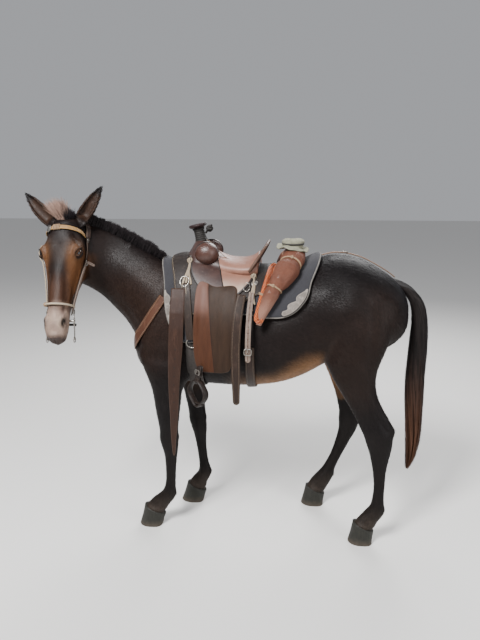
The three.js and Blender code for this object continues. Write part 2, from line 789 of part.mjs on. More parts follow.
function cantle(grow) {
  const shape = new THREE.Shape();
  shape.absellipse(0, -30 - grow, 178 + grow, 166 + 2 * grow, 0, Math.PI, false, 0);
  const made = new THREE.ExtrudeGeometry(
    shape,
    { depth: 22 + 2 * grow, bevelEnabled: false, curveSegments: 12 },
  );
  made.translate(0, 0, -11 - grow).rotateX(Math.PI / 2).rotateZ(Math.PI / 2);
  return solid(made.rotateY(cantleTurn).translate(-228, 0, 1420));
}
const seat = join([seatBody, seatShell]).subtract(aboveSkirt);
const rollsGrown = join(rolls.map((roll) => roll(touchGap)));
put("saddle_seat", "leather", largest(seat.subtract(rollsGrown).subtract(cantle(1))));
put("bucking_roll_left", "leather", largest(rolls[0](0).subtract(aboveSkirt)));
put("bucking_roll_right", "leather", largest(rolls[1](0).subtract(aboveSkirt)));
put("saddle_cantle", "leather", largest(cantle(0).subtract(aboveSkirt)));

// Horn: a wrapped neck under a flat cap, with the end of the wrap knotted behind
const hornFoot = point(-496, 0, 1500);
const hornProfile = [
  [0, 0], [34, 0], [28, 26], [23, 48], [22, 78], [30, 92], [44, 99], [46, 106], [42, 112], [0, 113],
];
const hornShape = new THREE.LatheGeometry(hornProfile.map(([r, h]) => new THREE.Vector2(r, h)), 12);
hornShape.rotateX(Math.PI / 2).rotateY(THREE.MathUtils.degToRad(-14));
hornShape.translate(hornFoot.x, hornFoot.y, hornFoot.z);
const hornKnot = ball(point(-462, -14, 1588), axesOf, [22, 17, 15], 8);
const horn = join([solid(hornShape), hornKnot]).subtract(seatMade(touchGap)).subtract(rollsGrown);
put("saddle_horn", "leatherDark", largest(horn));

// A flat strap or a rope along a curve; the curve's places lie on its middle line
function sweep(places, across, wide, thick, sides = 4, closed = false, power = 1) {
  const n = places.length;
  const rings = places.map((p, i) => {
    const next = places[closed ? (i + 1) % n : Math.min(i + 1, n - 1)];
    const before = places[closed ? (i + n - 1) % n : Math.max(i - 1, 0)];
    const along = next.clone().sub(before).normalize();
    const side = across.clone().addScaledVector(along, -across.dot(along)).normalize();
    const up = along.clone().cross(side).normalize();
    const [w, h] = typeof wide === "function" ? wide(i / (n - 1)) : [wide, thick];
    return ring(p, side, up, w, h, h, sides, power, power);
  });
  return solid(loft(rings, closed));
}
function curveThrough(rows, count) {
  const curve = new THREE.CatmullRomCurve3(rows.map((r) => point(...r)), false, "centripetal");
  return curve.getPoints(count);
}
// A strap of leather with square edges
function strap(places, across, wide, thick) {
  const n = places.length;
  const rings = places.map((p, i) => {
    const along = places[Math.min(i + 1, n - 1)].clone().sub(places[Math.max(i - 1, 0)]).normalize();
    const side = across.clone().addScaledVector(along, -across.dot(along)).normalize();
    const up = along.clone().cross(side).normalize();
    const w = typeof wide === "function" ? wide(i / (n - 1)) : wide;
    return [[1, 1], [-1, 1], [-1, -1], [1, -1]].map(([a, b]) =>
      p.clone().addScaledVector(side, (a * w) / 2).addScaledVector(up, (b * thick) / 2),
    );
  });
  return solid(loft(rings));
}

// Fenders hang from the seat's sides, clear of the girth, with stirrups below them
const fenderLow = seatTop + touchGap;
const fenderTop = fenderLow + 6;
const fenderOutline = smoothOutline(
  [
    [-482, 1318], [-400, 1300], [-306, 1300], [-292, 1250], [-300, 1080], [-312, 960], [-336, 930],
    [-400, 924], [-466, 932], [-492, 1010], [-494, 1200],
  ],
  20,
);
for (const [name, from, to] of [["fender_left", -420, -100], ["fender_right", 100, 420]]) {
  put(
    name,
    "leather",
    largest(draped(fenderTop).intersect(prism(fenderOutline, from, to)).subtract(draped(fenderLow))),
  );
}
for (const [name, s] of [["stirrup_left", -1], ["stirrup_right", 1]]) {
  const turn = THREE.MathUtils.degToRad(42 * s);
  const flat = point(Math.cos(turn), Math.sin(turn), 0);
  const normal = point(-Math.sin(turn), Math.cos(turn), 0);
  const middle = point(-474, s * 338, 832);
  const loop = [];
  for (let i = 0; i < 14; i++) {
    const a = (2 * Math.PI * i) / 14;
    const wide = 58 * Math.sin(a) * (1 + 0.12 * Math.cos(a));
    loop.push(middle.clone().addScaledVector(flat, wide).addScaledVector(zAxis, 62 * Math.cos(a)));
  }
  const hobbleLine = [point(-462, s * 330, 958), point(-468, s * 338, 925), point(-474, s * 338, 884)];
  const hobble = strap(hobbleLine, flat, 40, 22);
  const fenderRoom = prism([[-520, 900], [-280, 900], [-280, 1340], [-520, 1340]], -420, 420);
  const clear = draped(fenderTop + touchGap).intersect(fenderRoom);
  put(name, "leatherDark", largest(join([sweep(loop, normal, 11, 6, 5, true), hobble]).subtract(clear)));
}

// The outermost surface under a strap at the side, found by a ray from outside
const bothFaces = new THREE.MeshBasicMaterial({ side: THREE.DoubleSide });
const coverMesh = new THREE.Mesh(geometryOf(draped(fenderTop)), bothFaces);
function sideAt(x, z, s) {
  const hit = new THREE.Raycaster(point(x, s * 900, z), point(0, -s, 0)).intersectObject(coverMesh)[0];
  return hit ? hit.point.y : 0;
}
// Straps that hang from the rigging, from places of x and z: the side of the mule, width, thickness
// and how far they stand off
function hanging(rows, s, wide, thick, off) {
  const places = rows.map(([x, z]) => point(x, sideAt(x, Math.max(z, 1040), s) + s * (off + thick / 2), z));
  return strap(curveThrough(places.map((p) => [p.x, p.y, p.z]), 12), xAxis, wide, thick);
}
function pointed(wide, from, tip) {
  return (t) => wide * (t < from ? 1 : 1 - (1 - tip) * ((t - from) / (1 - from)) ** 1.2);
}
const latigoLine = [
  [-586, 1318],
  [-588, 1200],
  [-592, 1040],
  [-604, 860],
  [-608, 680],
  [-613, 560],
  [-613, 466],
];
const flankLine = [
  [-272, 1300],
  [-286, 1200],
  [-294, 1050],
  [-292, 900],
  [-290, 772],
];
const billetLine = [
  [-226, 1310],
  [-232, 1220],
  [-236, 1100],
  [-236, 985],
];
const flankLineRight = [
  [-250, 1300],
  [-254, 1200],
  [-256, 1080],
  [-256, 985],
];
const latigoLineRight = [
  [-560, 1318],
  [-562, 1200],
  [-560, 1040],
  [-556, 960],
];
put("latigo_strap", "leather", largest(hanging(latigoLine, -1, pointed(74, 0.3, 0.1), 6, 1)));
put("flank_strap", "leather", largest(hanging(flankLine, -1, (t) => (t > 0.93 ? 34 : 46), 6, 10)));
put("flank_billet", "leatherTan", largest(hanging(billetLine, -1, 26, 5, 1)));
put("flank_strap_right", "leather", largest(hanging(flankLineRight, 1, 42, 6, 1)));
put("latigo_strap_right", "leather", largest(hanging(latigoLineRight, 1, 60, 6, 1)));

// A slab of space about a plane
function slab(place, normal, half) {
  const n = normal.clone().normalize();
  const near = sideOf(place.clone().addScaledVector(n, -half), n);
  const far = sideOf(place.clone().addScaledVector(n, half), n.clone().negate());
  return near.intersect(far);
}
const forehand = (grow) => join(
  [back(grow), solid(leg("fore_left", grow)), solid(leg("fore_right", grow))],
);
const trunkShell = (low, high) => forehand(high).subtract(forehand(low));
const underPad = prism([[-900, 700], [300, 700], [300, 1058], [-900, 1058]], -400, 400);

// Cinches round the girth and the flank
const girthShell = trunkShell(touchGap, 9);
const padRoom = back(padTop + touchGap).intersect(prism(padOutline, -400, 400));
const girthBand = girthShell.intersect(slab(point(-512, 0, 900), xAxis, 40)).intersect(underPad);
put("front_cinch", "felt", largest(girthBand.subtract(padRoom)));
put(
  "flank_cinch",
  "leatherDark",
  largest(girthShell.intersect(slab(point(-232, 0, 900), xAxis, 24)).intersect(underPad)),
);

// Breast collar round the chest with a strap down between the forelegs
const padFront = prism([[-1200, 600], [-668, 600], [-668, 1700], [-1200, 1700]], -400, 400);
const collarBand = slab(point(-700, 0, 1220), point(0.825, 0, -0.566), 23).intersect(padFront);
const chestBand = slab(point(0, 0, 900), yAxis, 11).intersect(
  box(point(-900, -50, 700), point(-560, 50, 1015)),
);
const behindElbows = box(point(-556, -400, 700), point(0, 400, 1100));
const collar = trunkShell(touchGap, 7).intersect(join([collarBand, chestBand]));
put("breast_collar", "leather", largest(collar.subtract(behindElbows)));

// Crupper strap along the top of the rump to the dock
const rumpLine = box(point(80, -14, 1300), point(468, 14, 1600));
put("crupper", "leatherTan", largest(trunkShell(touchGap, 6.5).intersect(rumpLine)));

// Cantle bag rolled behind the cantle, its ends let down the sides, with a cloth hat on top
const bagRows = [
    [-188, -312, 1166, 16],
    [-166, -300, 1232, 27],
    [-122, -262, 1322, 42],
    [-66, -196, 1404, 60],
    [-38, -110, 1446, 60],
    [-32, 0, 1458, 56],
    [-38, 110, 1446, 60],
    [-66, 196, 1404, 60],
    [-104, 250, 1336, 44],
    [-120, 276, 1280, 24],
];
function bag(grow) {
  const rings = bagRows.map(([x, y, z, r], i) => {
    const a = bagRows[Math.min(i + 1, bagRows.length - 1)];
    const b = bagRows[Math.max(i - 1, 0)];
    const along = point(a[0] - b[0], a[1] - b[1], a[2] - b[2]).normalize();
    const side = xAxis.clone().addScaledVector(along, -along.x).normalize();
    return ring(
      point(x, y, z),
      side,
      along.clone().cross(side),
      r + grow,
      r * 0.85 + grow,
      r * 0.85 + grow,
      10,
    );
  });
  return solid(loft(rings));
}
const abovePad = back(skirtTop + touchGap);
put("cantle_bag", "leather", largest(bag(0).subtract(abovePad).subtract(cantle(touchGap))));
const hat = join([
  ball(point(-40, -30, 1512), axesOf, [54, 64, 32], 8),
  ball(point(-42, -30, 1498), [point(1, 0, -0.12), yAxis, point(0.12, 0, 1)], [82, 108, 13], 10),
]);
put("cloth_hat", "canvas", largest(hat.subtract(bag(touchGap)).subtract(cantle(touchGap))));

// Coiled rope let down in one long bight in front of the bag
const hankLine = [
  [-126, 1424],
  [-142, 1370],
  [-166, 1282],
  [-189, 1186],
];
const hankHalf = 15;
const ropeRadius = 8;
// A place off the hank's line: across it, and ahead down it
function hankPlace([x, z], turn) {
  const [across, ahead] = [hankHalf * Math.cos(turn), hankHalf * Math.sin(turn)];
  return point(x + 0.965 * across - 0.26 * ahead, sideAt(x, z, -1) - 14, z - 0.26 * across - 0.965 * ahead);
}
const bight = [
  ...hankLine.map((row) => hankPlace(row, 0)),
  ...[0.25, 0.5, 0.75].map((f) => hankPlace(hankLine.at(-1), f * Math.PI)),
  ...hankLine.toReversed().map((row) => hankPlace(row, Math.PI)),
  ...[1.25, 1.5, 1.75].map((f) => hankPlace(hankLine[0], f * Math.PI)),
];
const rope = sweep(bight, yAxis, ropeRadius, ropeRadius, 6, true);
put(
  "rope_coil",
  "rope",
  largest(rope.subtract(bag(touchGap)).subtract(cantle(touchGap)).subtract(abovePad)),
);

// Bridle: straps cut from shells about the head
const nearHead = (grow) => join([headWhole(grow), solid(neck(grow))]);
const headShell = (low, high) => nearHead(high).subtract(nearHead(low));
const browFront = sideOf(onHead(0, -88, 60), faceOut);
const cheekNormal = faceOut.clone().multiplyScalar(0.997).addScaledVector(faceDown, -0.0737);
const aboveBit = sideOf(onHead(0, -101, 470), faceDown.clone().negate());
const cheekLine = slab(onHead(0, -101, 210), cheekNormal, 9).intersect(aboveBit);
const ears = join([ear(1), ear(-1)]);
const browLine = slab(onHead(0, 0, 66), faceDown.clone().addScaledVector(faceOut, 0.12), 11);
put(
  "browband",
  "leatherTan",
  largest(headShell(touchGap, 5).intersect(browLine).intersect(browFront).subtract(ears)),
);
const browRoom = browFront.intersect(slab(onHead(0, 0, 66), faceDown, 14));
const cheekStrap = headShell(touchGap, 5.5).intersect(cheekLine).subtract(
  join([ears, bitBar(1), browRoom]),
);
put("headstall", "leather", largest(cheekStrap));
const noseLine = slab(onHead(0, 0, 425), faceDown.clone().addScaledVector(faceOut, -0.1), 5.5);
const noseShell = headWhole(9).subtract(headWhole(touchGap));
put(
  "noseband",
  "rawhide",
  largest(noseShell.intersect(noseLine).subtract(headShell(0, 6).intersect(cheekLine))),
);

// Bit: a bar through the corners of the mouth with a shank at each side and a curb strap behind the chin
const shanks = [-1, 1].map((s) => {
  const rows = [[66, -82, 452], [69, -86, 496], [70, -100, 540], [68, -112, 584]];
  const line = rows.map((r) => onHead(s * r[0], r[1], r[2]).toArray());
  return strap(curveThrough(line, 5), faceOut, 13, 6);
});
const curbLine = [[-70, -92, 516], [-62, -126, 506], [0, -150, 500], [62, -126, 506], [70, -92, 516]];
const curb = curveThrough(curbLine.map((r) => onHead(...r).toArray()), 8);
put("bit", "metal", largest(join([bitBar(0), ...shanks, strap(curb, faceDown, 12, 5)])));

export default group;
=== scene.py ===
import math

import bpy
import numpy as np
from mathutils import Matrix, Vector
from mathutils.bvhtree import BVHTree
from mathutils.geometry import delaunay_2d_cdt


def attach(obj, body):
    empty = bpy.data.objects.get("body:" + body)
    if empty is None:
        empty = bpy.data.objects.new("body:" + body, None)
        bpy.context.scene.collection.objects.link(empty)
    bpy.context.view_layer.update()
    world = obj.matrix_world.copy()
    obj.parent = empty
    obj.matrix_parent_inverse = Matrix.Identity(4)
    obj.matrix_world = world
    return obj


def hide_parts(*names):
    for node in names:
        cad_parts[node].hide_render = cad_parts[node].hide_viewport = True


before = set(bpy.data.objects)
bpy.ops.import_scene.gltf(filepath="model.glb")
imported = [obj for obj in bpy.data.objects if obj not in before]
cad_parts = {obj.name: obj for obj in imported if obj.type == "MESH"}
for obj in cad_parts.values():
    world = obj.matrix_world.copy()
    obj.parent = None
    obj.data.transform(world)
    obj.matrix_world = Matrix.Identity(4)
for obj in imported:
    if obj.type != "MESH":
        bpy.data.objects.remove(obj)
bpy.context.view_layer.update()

# The camera stands to the mule's left, a little above its back, as the photograph was taken.
# The whole model is worked out with the mule's withers near x = -0.6 and is set down by origin_shift.
origin_shift = np.array([0.369, 0.022, 0.0])
camera_data = bpy.data.cameras.new("camera")
camera_data.sensor_width = 36
camera_data.lens = 32.62
camera = bpy.data.objects.new("camera", camera_data)
bpy.context.scene.collection.objects.link(camera)
camera_yaw = math.radians(6)
camera_pitch = math.atan(133 / 580)
camera_right = Vector((math.cos(camera_yaw), math.sin(camera_yaw), 0))
level_ahead = Vector((-math.sin(camera_yaw), math.cos(camera_yaw), 0))
camera_up = level_ahead * math.sin(camera_pitch) + Vector((0, 0, math.cos(camera_pitch)))
camera_ahead = level_ahead * math.cos(camera_pitch) - Vector((0, 0, math.sin(camera_pitch)))
camera_place = Vector((0, -2.92, 1.79)) + Vector(origin_shift)
turned = Matrix((camera_right, camera_up, -camera_ahead)).transposed()
camera.matrix_world = Matrix.Translation(camera_place) @ turned.to_4x4()
bpy.context.scene.camera = camera


# The coat's ground: one skin over trunk, neck, head, ears and legs, as the animal has.
# It is lofted from the same sections as the solids, fused into one surface and shaped by listed muscles.
def smooth_rows(rows, steps):
    rows = np.array(rows, float)
    made = []
    for i in range(len(rows) - 1):
        a, b = rows[max(i - 1, 0)], rows[i]
        c, d = rows[i + 1], rows[min(i + 2, len(rows) - 1)]
        for k in range(steps):
            t = k / steps
            m0, m1 = (c - a) / 2, (d - b) / 2
            made.append(
                (2 * t**3 - 3 * t**2 + 1) * b
                + (t**3 - 2 * t**2 + t) * m0
                + (3 * t**2 - 2 * t**3) * c
                + (t**3 - t**2) * m1
            )
    return np.array(made + [rows[-1]])


def unit(v):
    v = np.asarray(v, float)
    return v / np.maximum(np.linalg.norm(v, axis=-1, keepdims=True), 1e-12)


def turns(count):
    """Angles evenly spaced round a circle."""
    return 2 * np.pi * np.arange(count) / count


def run_of(line):
    """How far along a line each of its places is."""
    return np.concatenate([[0], np.cumsum(np.linalg.norm(np.diff(line, axis=0), axis=1))])


def ring(centre, side, up, wide, high, low, sides, top_power=1.0, low_power=1.0):
    a = turns(sides)
    s, c = np.sin(a), np.cos(a)
    over = c >= 0
    out = wide * np.sign(s) * np.abs(s) ** np.where(over, 1, low_power)
    rise = np.where(over, high, low) * np.sign(c) * np.abs(c) ** np.where(over, top_power, low_power)
    return np.asarray(centre) + out[:, None] * np.asarray(side) + rise[:, None] * np.asarray(up)


def loft(rings, caps=True, closed=False):
    rings = np.array(rings)
    n, m = rings.shape[:2]
    verts = rings.reshape(-1, 3)
    i = np.arange(n if closed else n - 1)[:, None] * m
    j = np.arange(m)[None]
    k = (j + 1) % m
    top = (i + m) % (n * m)
    faces = np.stack([i + j, i + k, top + k, top + j], -1).reshape(-1, 4).tolist()
    if caps and not closed:
        faces += [list(range(m))[::-1], list(range((n - 1) * m, n * m))]
    return verts, faces


def joined(parts):
    verts, faces, n = [], [], 0
    for v, f in parts:
        verts.append(np.asarray(v))
        faces += [[i + n for i in face] for face in f]
        n += len(v)
    return np.concatenate(verts), faces


def new_mesh(name, verts, faces):
    mesh = bpy.data.meshes.new(name)
    mesh.from_pydata((np.asarray(verts) + origin_shift).tolist(), [], [list(f) for f in faces])
    mesh.polygons.foreach_set("use_smooth", [True] * len(mesh.polygons))
    mesh.update()
    return mesh


def new_piece(name, verts, faces):
    piece = bpy.data.objects.new(name, new_mesh(name, verts, faces))
    bpy.context.scene.collection.objects.link(piece)
    return piece


coat_depth = 0.007
trunk_rows = [
    [-0.848, 1.085, 0.925, 0.085, 1.000, 1, 1],
    [-0.815, 1.180, 0.872, 0.150, 1.000, 1, 1],
    [-0.760, 1.290, 0.830, 0.192, 1.010, 1.1, 1],
    [-0.690, 1.385, 0.800, 0.212, 1.020, 1.2, 1],
    [-0.600, 1.436, 0.784, 0.222, 1.030, 1.3, 1],
    [-0.500, 1.428, 0.778, 0.238, 1.040, 1.2, 1],
    [-0.380, 1.395, 0.776, 0.262, 1.045, 1.05, 0.95],
    [-0.240, 1.380, 0.780, 0.282, 1.050, 0.95, 0.95],
    [-0.100, 1.390, 0.800, 0.290, 1.070, 0.9, 0.95],
    [0.020, 1.425, 0.842, 0.282, 1.110, 0.9, 0.95],
    [0.110, 1.460, 0.890, 0.262, 1.160, 0.9, 1],
    [0.190, 1.472, 0.930, 0.252, 1.190, 0.95, 1],
    [0.290, 1.452, 0.955, 0.250, 1.190, 1, 1],
    [0.390, 1.402, 0.975, 0.228, 1.180, 1, 1],
    [0.465, 1.350, 1.010, 0.182, 1.165, 1, 1],
    [0.515, 1.285, 1.060, 0.118, 1.150, 1, 1],
    [0.535, 1.235, 1.110, 0.060, 1.150, 1, 1],
]


def trunk(grow, steps=5, sides=72):
    rings = []
    for x, top, low, wide, middle, top_power, low_power in smooth_rows(trunk_rows, steps):
        high, deep = top - middle + grow, middle - low + grow
        rings.append(
            ring((x, 0, middle), (0, 1, 0), (0, 0, 1), wide + grow, high, deep, sides, top_power, low_power)
        )
    return loft(rings)


neck_rows = [
    [-0.560, 0.000, 1.412, -0.620, 0.000, 0.860, 0.172],
    [-0.665, 0.000, 1.418, -0.780, 0.000, 0.915, 0.162],
    [-0.752, 0.003, 1.460, -0.846, 0.002, 1.005, 0.134],
    [-0.845, 0.006, 1.506, -0.903, 0.004, 1.095, 0.108],
    [-0.935, 0.005, 1.552, -0.972, 0.000, 1.170, 0.092],
    [-1.018, -0.012, 1.590, -1.040, -0.020, 1.240, 0.084],
    [-1.096, -0.052, 1.622, -1.100, -0.068, 1.292, 0.080],
    [-1.142, -0.122, 1.640, -1.142, -0.136, 1.330, 0.072],
]


def neck(grow, steps=5, sides=60):
    rows = smooth_rows(neck_rows, steps)
    middle = (rows[:, :3] + rows[:, 3:6]) / 2
    rings = []
    for i, row in enumerate(rows):
        along = unit(middle[min(i + 1, len(rows) - 1)] - middle[max(i - 1, 0)])
        up = row[:3] - row[3:6]
        half = np.linalg.norm(up) / 2 + grow
        up = unit(up)
        side = unit(np.cross(along, up))
        rings.append(ring(middle[i], side, up, row[6] + grow, half, half, sides, 1.25, 0.95))
    return loft(rings)


# The head has its own frame: down the face, out of the face and to the mule's left.
poll = np.array([-1.156, -0.182, 1.648])
face_down = unit([0.032, -0.434, -0.9])
face_out = unit(np.array([0, -1, 0]) - 0.434 * face_down)
face_left = np.cross(face_out, face_down)
face_left *= np.sign(face_left[0])
head_axes = np.array([face_left, face_out, face_down])


def on_head(left, out, down):
    return poll + left * face_left + out * face_out + down * face_down


head_rows = [
    [-0.022, -0.030, -0.110, 0.042, -0.070, 1, 1],
    [-0.008, -0.012, -0.140, 0.064, -0.072, 1, 1],
    [0.040, 0.006, -0.185, 0.080, -0.070, 0.9, 1],
    [0.095, 0.018, -0.228, 0.096, -0.068, 0.85, 1],
    [0.150, 0.022, -0.255, 0.102, -0.066, 0.82, 1],
    [0.200, 0.019, -0.266, 0.096, -0.072, 0.85, 1],
    [0.250, 0.014, -0.256, 0.086, -0.080, 0.9, 0.95],
    [0.300, 0.010, -0.226, 0.076, -0.082, 0.95, 0.95],
    [0.355, 0.007, -0.186, 0.067, -0.078, 0.95, 0.95],
    [0.410, 0.006, -0.154, 0.059, -0.070, 0.95, 0.95],
    [0.460, 0.006, -0.136, 0.056, -0.062, 0.9, 0.95],
    [0.505, 0.004, -0.130, 0.059, -0.054, 0.85, 0.95],
    [0.545, -0.004, -0.124, 0.059, -0.052, 0.85, 0.95],
    [0.580, -0.020, -0.114, 0.051, -0.056, 0.85, 0.9],
    [0.602, -0.040, -0.098, 0.036, -0.066, 0.9, 0.9],
    [0.612, -0.058, -0.084, 0.016, -0.070, 1, 1],
]


def ball(centre, axes, sizes, sides=32):
    a = np.linspace(0.02, np.pi - 0.02, sides // 2)
    b = turns(sides)
    rings = []
    for t in a:
        p = np.stack([np.sin(t) * np.cos(b), np.sin(t) * np.sin(b), np.full(sides, np.cos(t))], 1) * sizes
        rings.append(np.asarray(centre) + p @ np.asarray(axes))
    return loft(rings)


def head(grow, steps=5, sides=60):
    rings = []
    for down, front, back, wide, widest, front_power, back_power in smooth_rows(head_rows, steps):
        rings.append(
            ring(
                on_head(0, widest, down), face_left, face_out,
                wide + grow, front - widest + grow, widest - back + grow, sides, front_power, back_power,
            )
        )
    parts = [loft(rings)]
    for s in (-1, 1):
        parts.append(
            ball(on_head(s * 0.071, -0.030, 0.170), head_axes, np.array([0.033, 0.038, 0.048]) + grow)
        )
        parts.append(
            ball(on_head(s * 0.067, -0.150, 0.190), head_axes, np.array([0.026, 0.086, 0.092]) + grow)
        )
        parts.append(
            ball(on_head(s * 0.038, -0.026, 0.510), head_axes, np.array([0.022, 0.027, 0.036]) + grow)
        )
    parts.append(ball(on_head(0, -0.034, 0.578), head_axes, np.array([0.038, 0.028, 0.027]) + grow))
    parts.append(ball(on_head(0, -0.098, 0.570), head_axes, np.array([0.033, 0.025, 0.029]) + grow))
    return joined(parts)


leg_rows = {
    "fore_left": [
        [1.080, -0.830, -0.560, -0.118, 0.075, 0],
        [0.960, -0.812, -0.520, -0.150, 0.074, 0],
        [0.860, -0.778, -0.540, -0.160, 0.068, 0],
        [0.775, -0.752, -0.578, -0.152, 0.060, 0],
        [0.690, -0.741, -0.594, -0.146, 0.053, 0],
        [0.600, -0.729, -0.606, -0.140, 0.046, 0],
        [0.545, -0.722, -0.611, -0.137, 0.043, 0],
        [0.495, -0.719, -0.611, -0.136, 0.045, 0],
        [0.450, -0.713, -0.614, -0.135, 0.042, 0],
        [0.405, -0.702, -0.620, -0.134, 0.033, 0],
        [0.330, -0.698, -0.628, -0.133, 0.028, 0],
        [0.255, -0.700, -0.632, -0.132, 0.028, 0],
        [0.205, -0.712, -0.634, -0.131, 0.035, 4],
        [0.170, -0.733, -0.640, -0.131, 0.037, 14],
        [0.138, -0.762, -0.668, -0.130, 0.034, 26],
        [0.108, -0.788, -0.692, -0.130, 0.037, 30],
        [0.082, -0.812, -0.700, -0.130, 0.044, 24],
    ],
    "fore_right": [
        [1.080, -0.830, -0.540, 0.118, 0.075, 0],
        [0.960, -0.800, -0.500, 0.150, 0.074, 0],
        [0.860, -0.742, -0.505, 0.160, 0.068, 0],
        [0.775, -0.690, -0.520, 0.154, 0.060, 0],
        [0.690, -0.652, -0.524, 0.150, 0.053, 0],
        [0.600, -0.632, -0.516, 0.147, 0.046, 0],
        [0.545, -0.622, -0.512, 0.145, 0.043, 0],
        [0.495, -0.614, -0.508, 0.144, 0.045, 0],
        [0.450, -0.606, -0.506, 0.143, 0.042, 0],
        [0.405, -0.592, -0.508, 0.142, 0.033, 0],
        [0.330, -0.578, -0.508, 0.141, 0.028, 0],
        [0.255, -0.568, -0.500, 0.141, 0.028, 0],
        [0.205, -0.566, -0.488, 0.140, 0.035, 6],
        [0.170, -0.572, -0.486, 0.140, 0.037, 14],
        [0.138, -0.592, -0.504, 0.140, 0.034, 24],
        [0.108, -0.612, -0.516, 0.140, 0.037, 28],
        [0.082, -0.628, -0.520, 0.140, 0.044, 24],
    ],
    "hind_left": [
        [1.300, 0.120, 0.440, -0.120, 0.095, 0],
        [1.200, 0.080, 0.478, -0.138, 0.112, 0],
        [1.100, 0.098, 0.455, -0.150, 0.112, 0],
        [1.010, 0.110, 0.424, -0.158, 0.104, 0],
        [0.930, 0.132, 0.396, -0.164, 0.090, 0],
        [0.860, 0.168, 0.386, -0.168, 0.074, 0],
        [0.790, 0.212, 0.398, -0.171, 0.062, 0],
        [0.720, 0.256, 0.428, -0.174, 0.050, 0],
        [0.665, 0.286, 0.458, -0.176, 0.040, 0],
        [0.615, 0.309, 0.482, -0.177, 0.040, 0],
        [0.570, 0.330, 0.484, -0.178, 0.043, 0],
        [0.520, 0.349, 0.481, -0.179, 0.041, 0],
        [0.465, 0.363, 0.471, -0.180, 0.036, 0],
        [0.400, 0.377, 0.460, -0.182, 0.030, 0],
        [0.320, 0.386, 0.456, -0.184, 0.028, 0],
        [0.255, 0.384, 0.455, -0.185, 0.029, 0],
        [0.205, 0.376, 0.458, -0.186, 0.036, 4],
        [0.168, 0.356, 0.454, -0.187, 0.038, 14],
        [0.138, 0.336, 0.432, -0.188, 0.035, 24],
        [0.108, 0.316, 0.412, -0.188, 0.038, 28],
        [0.084, 0.298, 0.404, -0.188, 0.044, 24],
    ],
    "hind_right": [
        [1.300, 0.120, 0.440, 0.120, 0.095, 0],
        [1.200, 0.070, 0.470, 0.138, 0.112, 0],
        [1.100, 0.072, 0.440, 0.148, 0.112, 0],
        [1.010, 0.080, 0.400, 0.154, 0.104, 0],
        [0.930, 0.100, 0.360, 0.158, 0.090, 0],
        [0.860, 0.128, 0.338, 0.160, 0.074, 0],
        [0.790, 0.160, 0.330, 0.162, 0.062, 0],
        [0.720, 0.188, 0.340, 0.163, 0.050, 0],
        [0.665, 0.206, 0.354, 0.164, 0.040, 0],
        [0.615, 0.217, 0.368, 0.165, 0.040, 0],
        [0.570, 0.225, 0.366, 0.166, 0.043, 2],
        [0.520, 0.228, 0.352, 0.166, 0.041, 6],
        [0.465, 0.226, 0.334, 0.167, 0.036, 8],
        [0.400, 0.213, 0.302, 0.168, 0.030, 10],
        [0.320, 0.190, 0.265, 0.168, 0.028, 12],
        [0.255, 0.163, 0.237, 0.169, 0.029, 14],
        [0.205, 0.137, 0.220, 0.170, 0.036, 18],
        [0.168, 0.112, 0.208, 0.170, 0.038, 24],
        [0.138, 0.092, 0.190, 0.170, 0.035, 30],
        [0.108, 0.072, 0.172, 0.170, 0.038, 30],
        [0.084, 0.058, 0.166, 0.170, 0.044, 24],
    ],
}


def leg_ring(row, grow, sides=40):
    z, front, back, y, wide, tilt = row
    half = (back - front) / 2 + grow
    ahead = (-1, 0, math.tan(math.radians(tilt)))
    return ring(((front + back) / 2, y, z), (0, 1, 0), ahead, wide + grow, half, half, sides, 0.95, 1.05)


def leg(name, grow, steps=4):
    return loft([leg_ring(row, grow) for row in smooth_rows(leg_rows[name], steps)])


# Ears: long leaves of gristle rolled round a cup, covered with skin.
# They grow from the top of the skull, each turned a little its own way.
ear_rows = [
    [0, 0.032, 0.026],
    [0.12, 0.038, 0.028],
    [0.3, 0.041, 0.026],
    [0.5, 0.038, 0.022],
    [0.7, 0.030, 0.017],
    [0.86, 0.018, 0.011],
    [0.96, 0.008, 0.006],
    [1, 0.003, 0.003],
]
ear_frames = {}
for ear_side, ear_tall in ((1, 0.208), (-1, 0.232)):
    aim = unit((ear_side * 0.72 - 0.22) * face_left - 0.82 * face_down - 0.05 * face_out)
    facing = face_out + ear_side * 0.25 * face_left
    facing = unit(facing - aim * facing.dot(aim))
    ear_frames[ear_side] = (
        on_head(ear_side * 0.058, -0.070, 0.008), aim, facing, unit(np.cross(aim, facing)), ear_tall
    )


def ear_line(ear_side, t):
    root, aim, facing, _, tall = ear_frames[ear_side]
    return root + tall * t * aim + 0.026 * t * t * np.array([0, 0, 1]) + 0.010 * math.sin(3 * t) * facing


def ear(ear_side, grow):
    _, _, facing, side, _ = ear_frames[ear_side]
    a = np.linspace(-1, 1, 33)
    rings = []
    for t, wide, deep in smooth_rows(ear_rows, 6):
        wide, deep = wide + grow * 0.5, deep + grow * 0.5
        centre = ear_line(ear_side, t - 0.1 * (t == 0))
        wall = min(0.0045 + 0.004 * (1 - t), wide * 0.45)
        open_up = min(1.0, max(0.0, (t - 0.10) / 0.14)) * min(1.0, max(0.0, (1.0 - t) / 0.12))
        turn = a * np.pi * (0.5 + 0.22)
        outer = centre + (wide * np.sin(turn))[:, None] * side - (deep * np.cos(turn))[:, None] * facing
        lip = deep * 0.62 * (1 - open_up)
        inner_wide, inner_deep = wide - wall, (deep - wall) * open_up - lip
        inner = centre + (
            inner_wide * np.sin(turn * 0.97)
        )[:, None] * side - (inner_deep * np.cos(turn))[:, None] * facing
        rings.append(np.concatenate([outer, inner[::-1]]))
    return loft(rings)


def build_flesh(grow):
    parts = [trunk(grow), neck(grow), head(grow)]
    parts += [leg(name, grow) for name in leg_rows]
    parts += [ear(s, grow) for s in (-1, 1)]
    return joined(parts)


